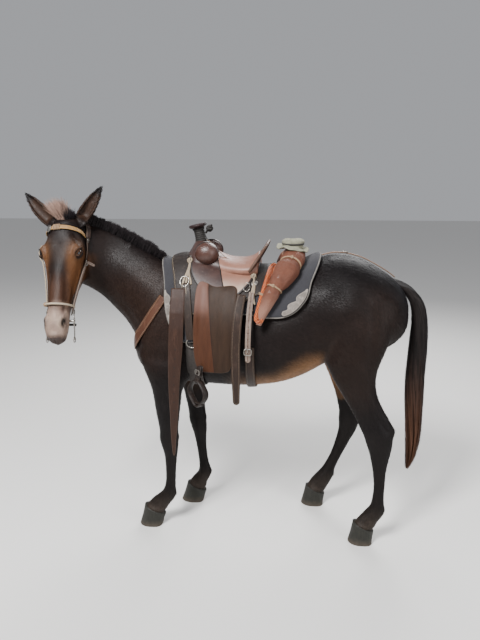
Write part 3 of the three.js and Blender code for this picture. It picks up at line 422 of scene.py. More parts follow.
# Space is stretched round the head before the surfaces are fused, so that the head comes out finer
head_zoom = 1.9
zoom_from, zoom_to = -0.86, -1.00


zoom_height = 1.3


def zoom_at(ahead):
    """How much wider space is made, by the distance ahead of zoom_from."""
    t = np.clip(ahead / (zoom_from - zoom_to), 0, 1)
    return 1 + (head_zoom - 1) * t * t * (3 - 2 * t)


zoom_grid = np.linspace(0, 0.8, 4001)
zoom_scale = zoom_at(zoom_grid)
zoom_reach = np.concatenate(
    [[0], np.cumsum((zoom_scale[1:] + zoom_scale[:-1]) / 2 * (zoom_grid[1] - zoom_grid[0]))]
)


def zoomed(p):
    ahead = zoom_from - p[:, 0]
    s = zoom_at(ahead)
    x = np.where(ahead > 0, zoom_from - np.interp(ahead, zoom_grid, zoom_reach), p[:, 0])
    return np.stack([x, p[:, 1] * s, zoom_height + (p[:, 2] - zoom_height) * s], 1)


def unzoomed(p):
    ahead = zoom_from - p[:, 0]
    x = np.where(ahead > 0, zoom_from - np.interp(ahead, zoom_reach, zoom_grid), p[:, 0])
    s = zoom_at(zoom_from - x)
    return np.stack([x, p[:, 1] / s, zoom_height + (p[:, 2] - zoom_height) / s], 1)


def fused(verts, faces, voxel):
    mesh = bpy.data.meshes.new("fusing")
    mesh.from_pydata(np.asarray(verts).tolist(), [], [list(f) for f in faces])
    piece = bpy.data.objects.new("fusing", mesh)
    bpy.context.scene.collection.objects.link(piece)
    remesh = piece.modifiers.new("fuse", "REMESH")
    remesh.mode = "VOXEL"
    remesh.voxel_size = voxel
    done = piece.evaluated_get(bpy.context.evaluated_depsgraph_get()).to_mesh()
    places = np.empty(len(done.vertices) * 3)
    done.vertices.foreach_get("co", places)
    quads = np.empty(len(done.loops), int)
    done.loops.foreach_get("vertex_index", quads)
    quads = quads.reshape(-1, 4)
    piece.to_mesh_clear()
    bpy.data.objects.remove(piece)
    bpy.data.meshes.remove(mesh)
    return places.reshape(-1, 3), quads


rough_verts, rough_faces = build_flesh(-coat_depth)
skin_verts, skin_quads = fused(zoomed(rough_verts), rough_faces, 0.0062)
skin_verts = unzoomed(skin_verts)

quad_edges = np.concatenate([skin_quads[:, [i, (i + 1) % 4]] for i in range(4)])
quad_edges = np.unique(np.sort(quad_edges, 1), axis=0)
edge_count = np.bincount(quad_edges.ravel(), minlength=len(skin_verts))


def eased(p, weight, rounds):
    """Moves each vertex towards the mean of its neighbours by its weight."""
    a, b = quad_edges.T
    for _ in range(rounds):
        mean = np.stack(
            [np.bincount(a, p[b, k], len(p)) + np.bincount(b, p[a, k], len(p)) for k in range(3)], 1
        )
        p = p + weight[:, None] * (mean / edge_count[:, None] - p)
    return p


def normals_of(p, quads):
    n = np.cross(p[quads[:, 2]] - p[quads[:, 0]], p[quads[:, 3]] - p[quads[:, 1]])
    total = np.stack([np.bincount(quads.ravel(), np.repeat(n[:, k], 4), len(p)) for k in range(3)], 1)
    return unit(total)


def near(p, centre, radius, axes=None, sizes=None):
    d = p - np.asarray(centre)
    if axes is not None:
        d = (d @ np.asarray(axes).T) / np.asarray(sizes)
        return np.exp(-((d**2).sum(1)))
    return np.exp(-((d**2).sum(1)) / radius**2)


# Where one form runs into the next, the flesh is drawn smooth
melts = [
    ((-0.66, -0.15, 1.06), 0.12), ((-0.66, 0.15, 1.06), 0.12), ((-0.66, 0, 1.40), 0.12), (
        (-0.80, -0.12, 1.08), 0.10
    ),
    ((-0.80, 0.12, 1.08), 0.10), ((-0.70, -0.10, 0.85), 0.11), ((-0.66, 0.10, 0.85), 0.11), (
        (-0.54, -0.15, 0.82), 0.08
    ),
    ((-0.50, 0.15, 0.82), 0.08), ((0.12, -0.18, 0.95), 0.14), ((0.10, 0.18, 0.95), 0.14), (
        (0.30, -0.08, 0.95), 0.14
    ),
    ((0.28, 0.08, 0.95), 0.14), ((0.12, -0.22, 1.20), 0.14), ((0.12, 0.22, 1.20), 0.14), (
        (0.42, -0.18, 1.20), 0.13
    ),
    ((0.42, 0.18, 1.20), 0.13), ((0.30, -0.20, 1.32), 0.12), ((0.30, 0.20, 1.32), 0.12), (
        (-1.10, -0.05, 1.36), 0.10
    ),
    ((-1.06, -0.08, 1.52), 0.09), ((-1.16, 0.0, 1.52), 0.09), ((-0.83, 0, 0.98), 0.12),
]
melting = np.zeros(len(skin_verts))
for place, size in melts:
    melting = np.maximum(melting, near(skin_verts, place, size))
skin_verts = eased(skin_verts, 0.9 * melting, 40)
in_head = (skin_verts - poll) @ head_axes.T
on_skull = ((in_head[:, 2] > 0.06) & (skin_verts[:, 0] < -0.98)).astype(float)
skin_verts = eased(skin_verts, 0.55 * on_skull, 10)
skin_verts = eased(skin_verts, np.full(len(skin_verts), 0.5), 3)


def groove(p, line, width, depth):
    """How far each point is pressed in along a curve through the places of line."""
    line = smooth_rows(line, 6)
    best = np.full(len(p), 1e9)
    for a, b in zip(line[:-1], line[1:]):
        ab = b - a
        t = np.clip(((p - a) @ ab) / (ab @ ab), 0, 1)
        best = np.minimum(best, ((p - a - t[:, None] * ab) ** 2).sum(1))
    return depth * np.exp(-best / width**2)


def both(line):
    return [line, [[x, -y, z] for x, y, z in line]]


skin_normals = normals_of(skin_verts, skin_quads)
lift = np.zeros(len(skin_verts))
# Muscles, bones and hollows of trunk and limbs: lines of x, y, z on the near side, width, height
trunk_forms = [
    ([[-0.64, -0.2, 1.36], [-0.70, -0.2, 1.22], [-0.79, -0.2, 1.05]], 0.030, 0.010),
    ([[-0.56, -0.2, 1.33], [-0.60, -0.2, 1.2], [-0.66, -0.2, 1.06]], 0.035, -0.006),
    ([[-0.60, -0.2, 1.14], [-0.56, -0.22, 1.02], [-0.58, -0.2, 0.92]], 0.050, 0.012),
    ([[-0.50, -0.2, 1.16], [-0.485, -0.22, 1.02], [-0.50, -0.2, 0.90]], 0.026, -0.009),
    ([[-0.57, -0.2, 0.86], [-0.555, -0.2, 0.83]], 0.030, 0.011),
    ([[-0.80, -0.15, 1.02], [-0.74, -0.2, 0.97], [-0.66, -0.2, 0.95]], 0.030, -0.007),
    ([[-0.78, -0.1, 0.93], [-0.80, -0.06, 0.87]], 0.045, 0.010),
    ([[-0.02, -0.3, 1.33], [0.05, -0.3, 1.24], [0.08, -0.3, 1.13]], 0.055, -0.016),
    ([[0.03, -0.28, 1.03], [0.10, -0.26, 0.96], [0.17, -0.24, 0.90]], 0.030, -0.008),
    ([[0.10, -0.26, 1.35], [0.13, -0.26, 1.33]], 0.040, 0.012),
    ([[0.40, -0.2, 1.29], [0.455, -0.18, 1.25]], 0.040, 0.010),
    ([[0.30, -0.23, 1.30], [0.34, -0.24, 1.20], [0.34, -0.25, 1.05], [0.36, -0.24, 0.93]], 0.030, -0.007),
    ([[0.20, -0.25, 1.22], [0.20, -0.26, 1.08], [0.21, -0.26, 0.98]], 0.060, 0.009),
    ([[0.13, -0.25, 0.92], [0.17, -0.24, 0.87]], 0.036, 0.010),
    ([[0.24, -0.23, 0.84], [0.32, -0.22, 0.72]], 0.020, -0.004),
    ([[0.40, -0.2, 0.78], [0.455, -0.18, 0.66], [0.475, -0.18, 0.62]], 0.012, 0.006),
    ([[0.39, -0.22, 0.70], [0.44, -0.2, 0.62]], 0.012, -0.007),
    ([[-0.66, -0.2, 0.75], [-0.655, -0.2, 0.62], [-0.66, -0.2, 0.56]], 0.014, -0.004),
]
for i in range(9):
    x = -0.38 + 0.047 * i
    trunk_forms.append(([[x, -0.28, 1.2], [x + 0.02, -0.29, 1.08], [x + 0.015, -0.27, 0.94]], 0.011, 0.0014))
for line, width, height in trunk_forms:
    for mirrored in both(line):
        lift += groove(skin_verts, mirrored, width, height)
# Neck: the groove of the jugular, the muscle over it, folds of the throat where the head turns
lift += groove(
    skin_verts, [[-0.80, -0.14, 1.05], [-0.90, -0.10, 1.19], [-1.00, -0.10, 1.31], [-1.06, -0.15, 1.37]],
    0.022, -0.006
)
lift += groove(skin_verts, [[-0.80, 0.14, 1.05], [-0.90, 0.10, 1.19], [-1.00, 0.07, 1.31]], 0.022, -0.006)
lift += groove(skin_verts, [[-0.74, -0.16, 1.30], [-0.86, -0.12, 1.38], [-1.0, -0.11, 1.50]], 0.045, 0.006)
for k in range(4):
    x = -1.055 + 0.022 * k
    lift += groove(
        skin_verts, [[x, -0.15, 1.40 - 0.01 * k], [x + 0.015, -0.13, 1.47], [x + 0.03, -0.11, 1.54]], 0.006,
        -0.0022
    )
lift += groove(
    skin_verts, [[0.10, 0, 1.47], [0.25, 0, 1.46], [0.38, 0, 1.41], [0.47, 0, 1.33]], 0.022, -0.006
)
lift += groove(skin_verts, [[-0.80, 0, 1.12], [-0.84, 0, 1.0], [-0.80, 0, 0.90]], 0.02, -0.008)
# Limbs: tendons behind the cannons, knees, hocks, fetlocks, chestnuts and ergots
for name, rows in leg_rows.items():
    rows = np.array(rows)
    fore = name.startswith("fore")

    def at_height(z):
        front, back, y, wide = [np.interp(z, rows[::-1, 0], rows[::-1, k]) for k in (1, 2, 3, 4)]
        return front, back, y, wide

    for s in (-1, 1):
        tendon = []
        for z in (0.41, 0.33, 0.26, 0.21) if fore else (0.45, 0.36, 0.28, 0.22):
            front, back, y, wide = at_height(z)
            tendon.append([front + 0.60 * (back - front), y + s * wide * 0.9, z])
        lift += groove(skin_verts, tendon, 0.0075, -0.0045)
    front, back, y, wide = at_height(0.50 if fore else 0.60)
    if fore:
        lift += 0.005 * near(skin_verts, (front, y, 0.50), 0.030) - 0.004 * near(
            skin_verts, (front, y, 0.44), 0.018
        )
        lift += 0.005 * near(skin_verts, (back, y, 0.515), 0.018)
    else:
        lift += 0.008 * near(skin_verts, (back, y, 0.60), 0.022) - 0.005 * near(
            skin_verts, (back, y, 0.675), 0.030
        )
        lift += 0.004 * near(skin_verts, (front + 0.02, y, 0.53), 0.030)
    front, back, y, wide = at_height(0.195)
    lift += 0.007 * near(skin_verts, (back, y, 0.185), 0.018)
    front, back, y, wide = at_height(0.10)
    lift += 0.004 * near(skin_verts, ((front + back) / 2, y, 0.095), 1, np.eye(3), (0.09, 0.09, 0.012))

# The head's bones and soft parts, in its own frame: left, out, down
h = (skin_verts - poll) @ head_axes.T
near_head = (h[:, 2] > -0.06) & (skin_verts[:, 0] < -0.97)


def face_form(line, width, height):
    made = np.zeros(len(h))
    for s in (-1, 1):
        side_line = [[s * a, b, c] for a, b, c in line]
        made[near_head] += groove(h[near_head], side_line, width, height)
    return made


lift += face_form([[0.060, 0.010, 0.120], [0.088, -0.010, 0.150], [0.096, -0.030, 0.176]], 0.014, 0.006)
lift += face_form([[0.075, -0.010, 0.085], [0.080, -0.030, 0.105]], 0.018, -0.011)
lift += face_form([[0.075, -0.075, 0.215], [0.070, -0.085, 0.290], [0.060, -0.078, 0.355]], 0.012, 0.0065)
lift += face_form([[0.066, -0.115, 0.300], [0.056, -0.110, 0.380]], 0.020, -0.006)
lift += face_form([[0.070, -0.105, 0.120], [0.082, -0.150, 0.150]], 0.014, -0.004)
lift += face_form([[0.084, -0.110, 0.230], [0.080, -0.175, 0.245], [0.066, -0.220, 0.220]], 0.016, 0.004)
lift += face_form([[0.045, -0.010, 0.290], [0.050, -0.020, 0.380], [0.047, -0.025, 0.450]], 0.015, -0.0045)
lift += face_form([[0.026, 0.0, 0.330], [0.030, -0.005, 0.400], [0.036, -0.01, 0.460]], 0.012, 0.003)
lift += face_form([[0.050, -0.050, 0.330], [0.054, -0.048, 0.400], [0.052, -0.044, 0.450]], 0.008, 0.003)
# nostril: a raised comma of a rim round a deep slot
lift += face_form(
    [[0.050, 0.012, 0.492], [0.064, 0.006, 0.505], [0.068, -0.014, 0.528], [0.060, -0.030, 0.538]], 0.0085,
    0.008
)
lift += face_form([[0.040, 0.004, 0.500], [0.044, -0.008, 0.530], [0.052, -0.028, 0.542]], 0.009, 0.004)
lift += face_form([[0.050, 0.006, 0.500], [0.056, -0.008, 0.519], [0.059, -0.022, 0.531]], 0.0085, -0.030)
# the mouth's line, the lips' folds, the chin
lift += face_form(
    [
        [0.060, -0.084, 0.495], [0.058, -0.081, 0.530], [0.050, -0.076, 0.570], [0.026, -0.072, 0.602],
        [0.0, -0.071, 0.610]
    ],
    0.0045, -0.009
)
lift += face_form(
    [[0.060, -0.092, 0.500], [0.056, -0.092, 0.540], [0.044, -0.090, 0.580], [0.0, -0.086, 0.604]], 0.008,
    0.003
)
lift += face_form([[0.062, -0.070, 0.470], [0.062, -0.066, 0.500], [0.060, -0.060, 0.540]], 0.010, 0.0035)
lift += face_form([[0.035, -0.118, 0.530], [0.0, -0.128, 0.520]], 0.012, -0.006)
lift += face_form([[0.0, -0.020, 0.585], [0.0, -0.050, 0.606]], 0.006, -0.0025)
for k in range(5):
    lift += face_form(
        [[0.018 + 0.009 * k, -0.030, 0.560], [0.020 + 0.009 * k, -0.045, 0.590 - 0.003 * k]], 0.0028, -0.0012
    )
skin_verts = skin_verts + skin_normals * lift[:, None]

# Eyes sit under lids: the skin is pushed back inside each eyeball, where the lids cover its edge
eye_radius = 0.0240
eye_frames = {}
for s in (-1, 1):
    place = on_head(s * 0.0815, -0.031, 0.177)
    out = unit(s * 0.70 * face_left + 0.69 * face_out + 0.08 * face_down)
    along = 0.78 * face_down + 0.44 * face_out - 0.44 * s * face_left
    along = unit(along - out * along.dot(out))
    across = np.cross(out, along)
    across *= np.sign(across @ face_out)
    eye_frames[s] = (place, along, across, out)
    d = skin_verts - place
    distance = np.linalg.norm(d, axis=1)
    facing = (d @ out) / np.maximum(distance, 1e-9)
    inside = (distance < 0.0258) & (facing > -0.6)
    sunk = place + d / np.maximum(distance, 1e-9)[:, None] * 0.0212
    skin_verts[inside] = sunk[inside]
    ring_on = np.exp(-((distance - 0.030) ** 2) / 0.006**2) * (facing > 0)
    skin_verts += skin_normals * (0.0015 * ring_on)[:, None]

skin_verts[:, 2] = np.maximum(skin_verts[:, 2], 0.072)
skin_normals = normals_of(skin_verts, skin_quads)


# The coat's colours: black-brown above, tan under the belly and flank, a tan face and a pale mealy muzzle
def fade(v, low, high):
    t = np.clip((v - low) / (high - low), 0, 1)
    return t * t * (3 - 2 * t)


def blotches(p, size, seed):
    """Soft noise in 0..1 from a few turned waves, the same each run."""
    draw = np.random.default_rng(seed)
    total = np.zeros(len(p))
    for _ in range(7):
        way = unit(draw.normal(size=3)) / size * draw.uniform(3, 7)
        total += np.sin(p @ way + draw.uniform(0, 6.28))
    return 0.5 + total / 10


def mix(a, b, t):
    return a + (b - a) * t[:, None]


def coat_colour(p, n):
    black = np.array([0.0062, 0.0048, 0.0050])
    brown = np.array([0.017, 0.0092, 0.0065])
    tan = np.array([0.23, 0.115, 0.050])
    colour = mix(np.tile(black, (len(p), 1)), brown, fade(blotches(p, 0.5, 3), 0.35, 0.9) * 0.7)
    colour = mix(colour, np.array([0.022, 0.011, 0.007]), 0.8 * near(p, (-0.72, 0, 1.12), 0.2))
    side = np.abs(p[:, 1])
    # belly and flank
    low = 0.985 - 0.06 * fade(side, 0.12, 0.25) + 0.03 * (
        blotches(p, 0.25, 5) - 0.5
    ) + 0.11 * fade(p[:, 0], -0.14, 0.07)
    belly = (
        1 - fade(p[:, 2], low - 0.13, low + 0.02)
    ) * fade(p[:, 0], -0.40, -0.12) * (1 - fade(p[:, 0], 0.24, 0.34))
    thigh = fade(p[:, 0], 0.085, 0.135) * fade(n[:, 1] * np.sign(p[:, 1]), -0.15, 0.15)
    belly = belly * fade(p[:, 2], 0.70, 0.78) * (1 - thigh)
    colour = mix(colour, tan, 0.85 * belly)
    inner = (p[:, 2] < 0.95) * (p[:, 2] > 0.66) * (n[:, 1] * p[:, 1] < 0) * fade(p[:, 0], -0.1, 0.1)
    colour = mix(colour, tan, 0.45 * inner)
    elbow = near(p, (-0.56, 0, 0.80), 1, np.eye(3), (0.09, 0.10, 0.10)) * (n[:, 1] * p[:, 1] < 0.02)
    colour = mix(colour, tan, 0.5 * elbow)
    # head
    h = (p - poll) @ head_axes.T
    left, out, down = h.T
    on_head_here = fade(-p[:, 0], 1.00, 1.06) * fade(down, -0.02, 0.03)
    side = np.abs(left)
    warm = fade(side, 0.028, 0.070) * fade(down, 0.115, 0.19) * (1 - fade(down, 0.42, 0.50))
    warm = warm * (1 - 0.75 * fade(-out, 0.13, 0.20))
    face = mix(np.tile([0.0095, 0.0062, 0.0058], (len(p), 1)), np.array([0.112, 0.047, 0.019]), warm)
    face = mix(face, np.array([0.060, 0.026, 0.014]), 0.75 * fade(down, 0.24, 0.36) * (1 - warm))
    ring_eye = sum(near(p, eye_frames[s][0], 0.052) for s in (-1, 1))
    face = mix(face, np.array([0.165, 0.074, 0.030]), np.clip(0.8 * ring_eye, 0, 0.8))
    rim_eye = sum(near(p, eye_frames[s][0] + 0.006 * eye_frames[s][3], 0.028) for s in (-1, 1))
    face = mix(face, np.array([0.012, 0.008, 0.007]), np.clip(1.3 * rim_eye, 0, 0.9))
    under = fade(-out, 0.13, 0.19) * fade(down, 0.10, 0.2)
    face = mix(face, np.array([0.014, 0.008, 0.006]), 0.8 * under)
    mealy = fade(down + 0.03 * (blotches(p, 0.05, 9) - 0.5), 0.400, 0.480)
    pale = mix(
        np.tile([0.36, 0.265, 0.205], (len(p), 1)), np.array([0.22, 0.15, 0.125]), blotches(p, 0.03, 33)
    )
    face = mix(face, pale, mealy)
    lips = fade(down, 0.555, 0.598) * fade(-out, -0.02, 0.03)
    face = mix(face, np.array([0.040, 0.027, 0.025]), np.clip(lips, 0, 0.92))
    # Painted shade: the deep slot of each nostril is painted near-black.
    nostril_shade = sum(near(h, (s * 0.057, -0.008, 0.519), 1, np.eye(3), (0.018, 0.020, 0.027)) for s in (-1, 1))
    face = mix(face, np.array([0.010, 0.007, 0.006]), np.clip(2.0 * nostril_shade, 0, 0.98))
    colour = mix(colour, face, on_head_here)
    # ears: brown backs, black rims and tips, brown down in the cup
    for s in (-1, 1):
        root, aim, facing, side_way, tall = ear_frames[s]
        d = p - root
        t = d @ aim / tall
        across = np.abs(d @ side_way) / 0.04
        on_ear = fade(t, 0.10, 0.2) * (np.abs(d @ side_way) < 0.06) * (np.abs(d @ facing) < 0.06) * (t < 1.25)
        ear_tone = mix(
            np.tile([0.016, 0.009, 0.0065], (len(p), 1)), black,
            np.maximum(fade(t, 0.6, 0.8), fade(across, 0.7, 0.95))
        )
        cup = fade(n @ facing, 0.15, 0.6) * (1 - fade(t, 0.7, 0.9))
        ear_tone = mix(ear_tone, np.array([0.030, 0.015, 0.009]), 0.8 * cup)
        colour = mix(colour, ear_tone, on_ear)
    # legs: black down to dusty coronets
    low_leg = (1 - fade(p[:, 2], 0.45, 0.75)) * (1 - on_head_here)
    colour = mix(colour, np.array([0.0066, 0.0050, 0.0046]), 0.9 * low_leg)
    dust = (1 - fade(p[:, 2], 0.09, 0.24)) * 0.35
    colour = mix(colour, np.array([0.10, 0.075, 0.058]), dust * (0.4 + 0.6 * blotches(p, 0.06, 13)))
    return colour * (0.86 + 0.28 * blotches(p, 0.12, 21))[:, None]


def write_colours(mesh, colours, name="coat"):
    layer = mesh.color_attributes.new(name, "FLOAT_COLOR", "POINT")
    layer.data.foreach_set("color", np.concatenate([colours, np.ones((len(colours), 1))], 1).ravel())


class Socket:
    """An output of a shader node that takes part in Python sums; each operator adds a Math node."""

    def __init__(self, paint, output):
        self.paint, self.output = paint, output

    def sum(self, operation, first, second):
        return self.paint.node("ShaderNodeMath", {"operation": operation}, {0: first, 1: second})

    def __add__(self, other):
        return self.sum("ADD", self, other)

    __radd__ = __add__

    def __sub__(self, other):
        return self.sum("SUBTRACT", self, other)

    def __rsub__(self, other):
        return self.sum("SUBTRACT", other, self)

    def __mul__(self, other):
        return self.sum("MULTIPLY", self, other)

    __rmul__ = __mul__

    def __gt__(self, other):
        return self.sum("GREATER_THAN", self, other)

    def __lt__(self, other):
        return self.sum("LESS_THAN", self, other)


class Paint:
    """A material under construction."""

    def __init__(self, name):
        self.material = bpy.data.materials.new(name)
        self.material.use_nodes = True
        self.tree = self.material.node_tree
        self.shader = self.tree.nodes["Principled BSDF"]

    def node(self, kind, settings=None, sockets=None, out=0):
        made = self.tree.nodes.new(kind)
        for key, value in (settings or {}).items():
            if key == "stops":
                ramp = made.color_ramp
                while len(ramp.elements) < len(value):
                    ramp.elements.new(0.5)
                for element, (place, tone) in zip(ramp.elements, value):
                    element.position = place
                    element.color = (*tone, 1) if np.ndim(tone) else (tone, tone, tone, 1)
            else:
                setattr(made, key, value)
        for key, value in (sockets or {}).items():
            self.fill(made.inputs[key], value)
        return Socket(self, made.outputs[out])

    def fill(self, socket, value):
        if isinstance(value, Socket):
            self.tree.links.new(value.output, socket)
        elif np.ndim(value) and socket.type == "RGBA" and len(value) == 3:
            socket.default_value = (*value, 1)
        else:
            socket.default_value = value

    def set(self, **sockets):
        for key, value in sockets.items():
            self.fill(self.shader.inputs[key.replace("_", " ")], value)
        return self

    def place(self, scale=(1, 1, 1)):
        here = self.node("ShaderNodeTexCoord", out="Object")
        return self.node("ShaderNodeMapping", {}, {"Vector": here, "Scale": scale})

    def noise(self, size, detail=3, rough=0.55, stretch=(1, 1, 1), where=None):
        sockets = {
            "Vector": where or self.place(stretch), "Scale": 1 / size, "Detail": detail, "Roughness": rough
        }
        return self.node("ShaderNodeTexNoise", {}, sockets, out="Fac")

    def uv(self, name):
        both_ways = self.node("ShaderNodeUVMap", {"uv_map": name})
        split = self.node("ShaderNodeSeparateXYZ", {}, {0: both_ways})
        node = split.output.node
        return Socket(self, node.outputs[0]), Socket(self, node.outputs[1])

    def blend(self, factor, a, b, way="MIX"):
        settings = {"data_type": "RGBA", "blend_type": way}
        return self.node("ShaderNodeMix", settings, {0: factor, 6: a, 7: b}, out=2)

    def wave(self, value):
        return self.node("ShaderNodeMath", {"operation": "SINE"}, {0: value})

    def line(self, value, at, half):
        """One where the value is within half of at, and nothing elsewhere."""
        return self.node("ShaderNodeMath", {"operation": "COMPARE"}, {0: value, 1: at, 2: half})

    def axes(self):
        split = self.node("ShaderNodeSeparateXYZ", {}, {0: self.place()}).output.node
        return [Socket(self, output) for output in split.outputs]

    def step(self, value, low, high):
        sockets = {"Value": value, "From Min": low, "From Max": high}
        return self.node("ShaderNodeMapRange", {"interpolation_type": "SMOOTHSTEP"}, sockets)

    def bump(self, height, distance, strength=1.0):
        return self.node(
            "ShaderNodeBump", {}, {"Height": height, "Distance": distance, "Strength": strength}, out="Normal"
        )


skin_paint = Paint("short_coat")
ground = skin_paint.node("ShaderNodeVertexColor", {"layer_name": "coat"})
mottle = skin_paint.noise(0.03)
fine = skin_paint.noise(0.004, 4, 0.65)
skin_paint.set(
    Base_Color=skin_paint.blend(
        0.35, ground, skin_paint.blend(mottle, (0.6, 0.6, 0.62), (1.35, 1.3, 1.25)), "MULTIPLY"
    ),
    Roughness=0.42 + 0.2 * mottle,
    Normal=skin_paint.bump(fine + 0.5 * skin_paint.noise(0.011), 0.0016, 0.7),
    Specular_IOR_Level=0.14, Sheen_Weight=0.05, Sheen_Roughness=0.35, Sheen_Tint=(0.55, 0.6, 0.72, 1),
)
skin = new_piece("skin", skin_verts, skin_quads)
write_colours(skin.data, coat_colour(skin_verts, skin_normals))
skin.data.materials.append(skin_paint.material)
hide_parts("head", "neck", "torso", "ear_left", "ear_right", *["leg_" + n for n in leg_rows])
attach(skin, "root")


# Eyes: glossy brown balls with a wide oval pupil, between thick dark-rimmed lids.
# Lashes stand on the upper lid.
# The lids are strips of skin that run from the almond opening out to the socket.
def oval_ball(rings, sides):
    a = np.linspace(0.0, np.pi, rings)[1:-1]
    b = turns(sides)
    return loft(
        [np.stack([np.sin(t) * np.cos(b), np.sin(t) * np.sin(b), np.full(sides, np.cos(t))], 1) for t in a]
    )


def put_uv(piece, name, pairs):
    """A UV map from one pair for each vertex."""
    index = np.empty(len(piece.data.loops), int)
    piece.data.loops.foreach_get("vertex_index", index)
    piece.data.uv_layers.new(name=name).data.foreach_set("uv", np.asarray(pairs)[index].ravel())


eye_paint = Paint("eyeball")
pupil_way, pupil_up = eye_paint.uv("iris")
across_iris = eye_paint.node(
    "ShaderNodeVectorMath", {"operation": "LENGTH"},
    {0: eye_paint.node("ShaderNodeCombineXYZ", {}, {0: pupil_way, 1: pupil_up * 1.8})}, out="Value"
)
round_iris = eye_paint.node(
    "ShaderNodeVectorMath", {"operation": "LENGTH"},
    {0: eye_paint.node("ShaderNodeCombineXYZ", {}, {0: pupil_way, 1: pupil_up})}, out="Value"
)
iris = eye_paint.blend(eye_paint.step(across_iris, 0.40, 0.50), (0.004, 0.004, 0.006), (0.050, 0.022, 0.009))
iris = eye_paint.blend(eye_paint.step(round_iris, 0.72, 0.86), iris, (0.012, 0.007, 0.005))
eye_paint.set(Base_Color=iris, Roughness=0.07, Coat_Weight=0.15, Coat_Roughness=0.02, IOR=1.36)
lid_paint = Paint("eyelid")
lid_edge = lid_paint.uv("lid")[0]
lid_tone = lid_paint.node("ShaderNodeVertexColor", {"layer_name": "coat"})
lid_paint.set(
    Base_Color=lid_tone,
    Roughness=0.5, Specular_IOR_Level=0.1,
    Normal=lid_paint.bump(lid_paint.wave(lid_edge * 75) + lid_paint.noise(0.003), 0.0008),
)
lash_paint = Paint("lash")
lash_paint.set(Base_Color=(0.006, 0.005, 0.005), Roughness=0.5)
for eye_name, s in (("eye_left", 1), ("eye_right", -1)):
    place, along, across, out = eye_frames[s]
    axes = np.array([along, across, out])
    verts, faces = oval_ball(33, 48)
    eye = new_piece(eye_name + "_ball", place + (verts * eye_radius) @ axes, faces)
    put_uv(eye, "iris", verts[:, :2] + (verts[:, 2:] < 0) * 2)
    eye.data.materials.append(eye_paint.material)
    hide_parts(eye_name)
    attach(eye, "root")
    # rings of the lid run out from the opening to the skin round the socket
    count = 64
    angle = turns(count)
    c, n = np.cos(angle), np.sin(angle)
    almond_long = 0.0232 * np.sign(c) * np.abs(c) ** 0.92
    almond_up = np.where(n > 0, 0.0142, 0.0108) * np.sign(n) * np.abs(n) ** 1.15 - 0.0012 * c
    rows = []
    for f, radius in (
        (0.0, 0.0242), (0.0, 0.0262), (0.10, 0.0281), (0.28, 0.0288), (0.5, 0.0284), (0.75, 0.0295),
        (1.0, 0.0288)
    ):
        wide_x = almond_long * (1 - f) + 0.0330 * c * f
        wide_y = almond_up * (1 - f) + 0.0275 * n * f
        if f > 0:
            wide_y = wide_y * (1 + 0.05 * np.sin(9 * angle) * f * (1 - f))
        reach = np.sqrt(wide_x**2 + wide_y**2)
        tall = np.sqrt(np.maximum(radius**2 - reach**2, (0.35 * radius) ** 2))
        tall = tall - 0.011 * f**3
        rows.append(place + np.stack([wide_x, wide_y, tall], 1) @ axes)
    rows = np.array(rows)
    verts, faces = loft(rows, caps=False)
    lids = new_piece(eye_name + "_lids", verts, faces)
    tone = coat_colour(verts, np.tile(out, (len(verts), 1)))
    dark = np.repeat([1.0, 1.0, 1.0, 0.92, 0.75, 0.5, 0.3], count)
    write_colours(lids.data, mix(tone, np.array([0.012, 0.008, 0.007]), dark))
    index = np.arange(len(verts))
    put_uv(lids, "lid", np.stack([(index // count) / 6.0, (index % count) / count], 1))
    lids.data.materials.append(lid_paint.material)
    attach(lids, "root")
    # lashes along the upper lid
    draw = np.random.default_rng(31 + s)
    verts, faces = [], []
    for k in range(90):
        i = int(draw.uniform(0.04, 0.46) * count)
        root = rows[2][i]
        aim = unit(out + 0.9 * across * draw.uniform(0.2, 0.6) + 0.5 * c[i] * along + draw.normal(0, 0.12, 3))
        tip = root + aim * draw.uniform(0.008, 0.014) - across * 0.003
        n0 = len(verts)
        verts += [
            root - along * 0.0006, root + along * 0.0006, (root + tip) / 2 + across * 0.0018 + along * 0.0004,
            tip
        ]
        faces += [(n0, n0 + 1, n0 + 2), (n0, n0 + 2, n0 + 3)]
    lashes = new_piece(eye_name + "_lashes", verts, faces)
    lashes.data.materials.append(lash_paint.material)
    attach(lashes, "root")


# Hooves: narrow upright boxes of dark horn that grow from the coronet in rings, worn and dusty at the edge.
hoof_paint = Paint("hoof_horn")
horn_up = hoof_paint.node("ShaderNodeSeparateXYZ", {}, {0: hoof_paint.place()}, out="Z")
wobble = hoof_paint.noise(0.05, 2)
growth = hoof_paint.wave((horn_up + 0.012 * wobble) * 780)
grain = hoof_paint.noise(0.006, 4, 0.6, (1, 1, 0.12))
horn_tone = hoof_paint.blend(grain, (0.008, 0.008, 0.007), (0.034, 0.033, 0.027))
dusty = hoof_paint.step(horn_up + 0.03 * hoof_paint.noise(0.02), 0.055, 0.0)
hoof_paint.set(
    Base_Color=hoof_paint.blend(dusty * 0.5, horn_tone, (0.13, 0.10, 0.075)),
    Roughness=0.55 + 0.3 * dusty, Specular_IOR_Level=0.2,
    Normal=hoof_paint.bump(0.35 * growth + grain, 0.0009),
)
hoof_soles = {
    "fore_left": (-0.842, -0.716), "fore_right": (-0.664, -0.534), "hind_left": (0.274, 0.398),
    "hind_right": (0.032, 0.160)
}
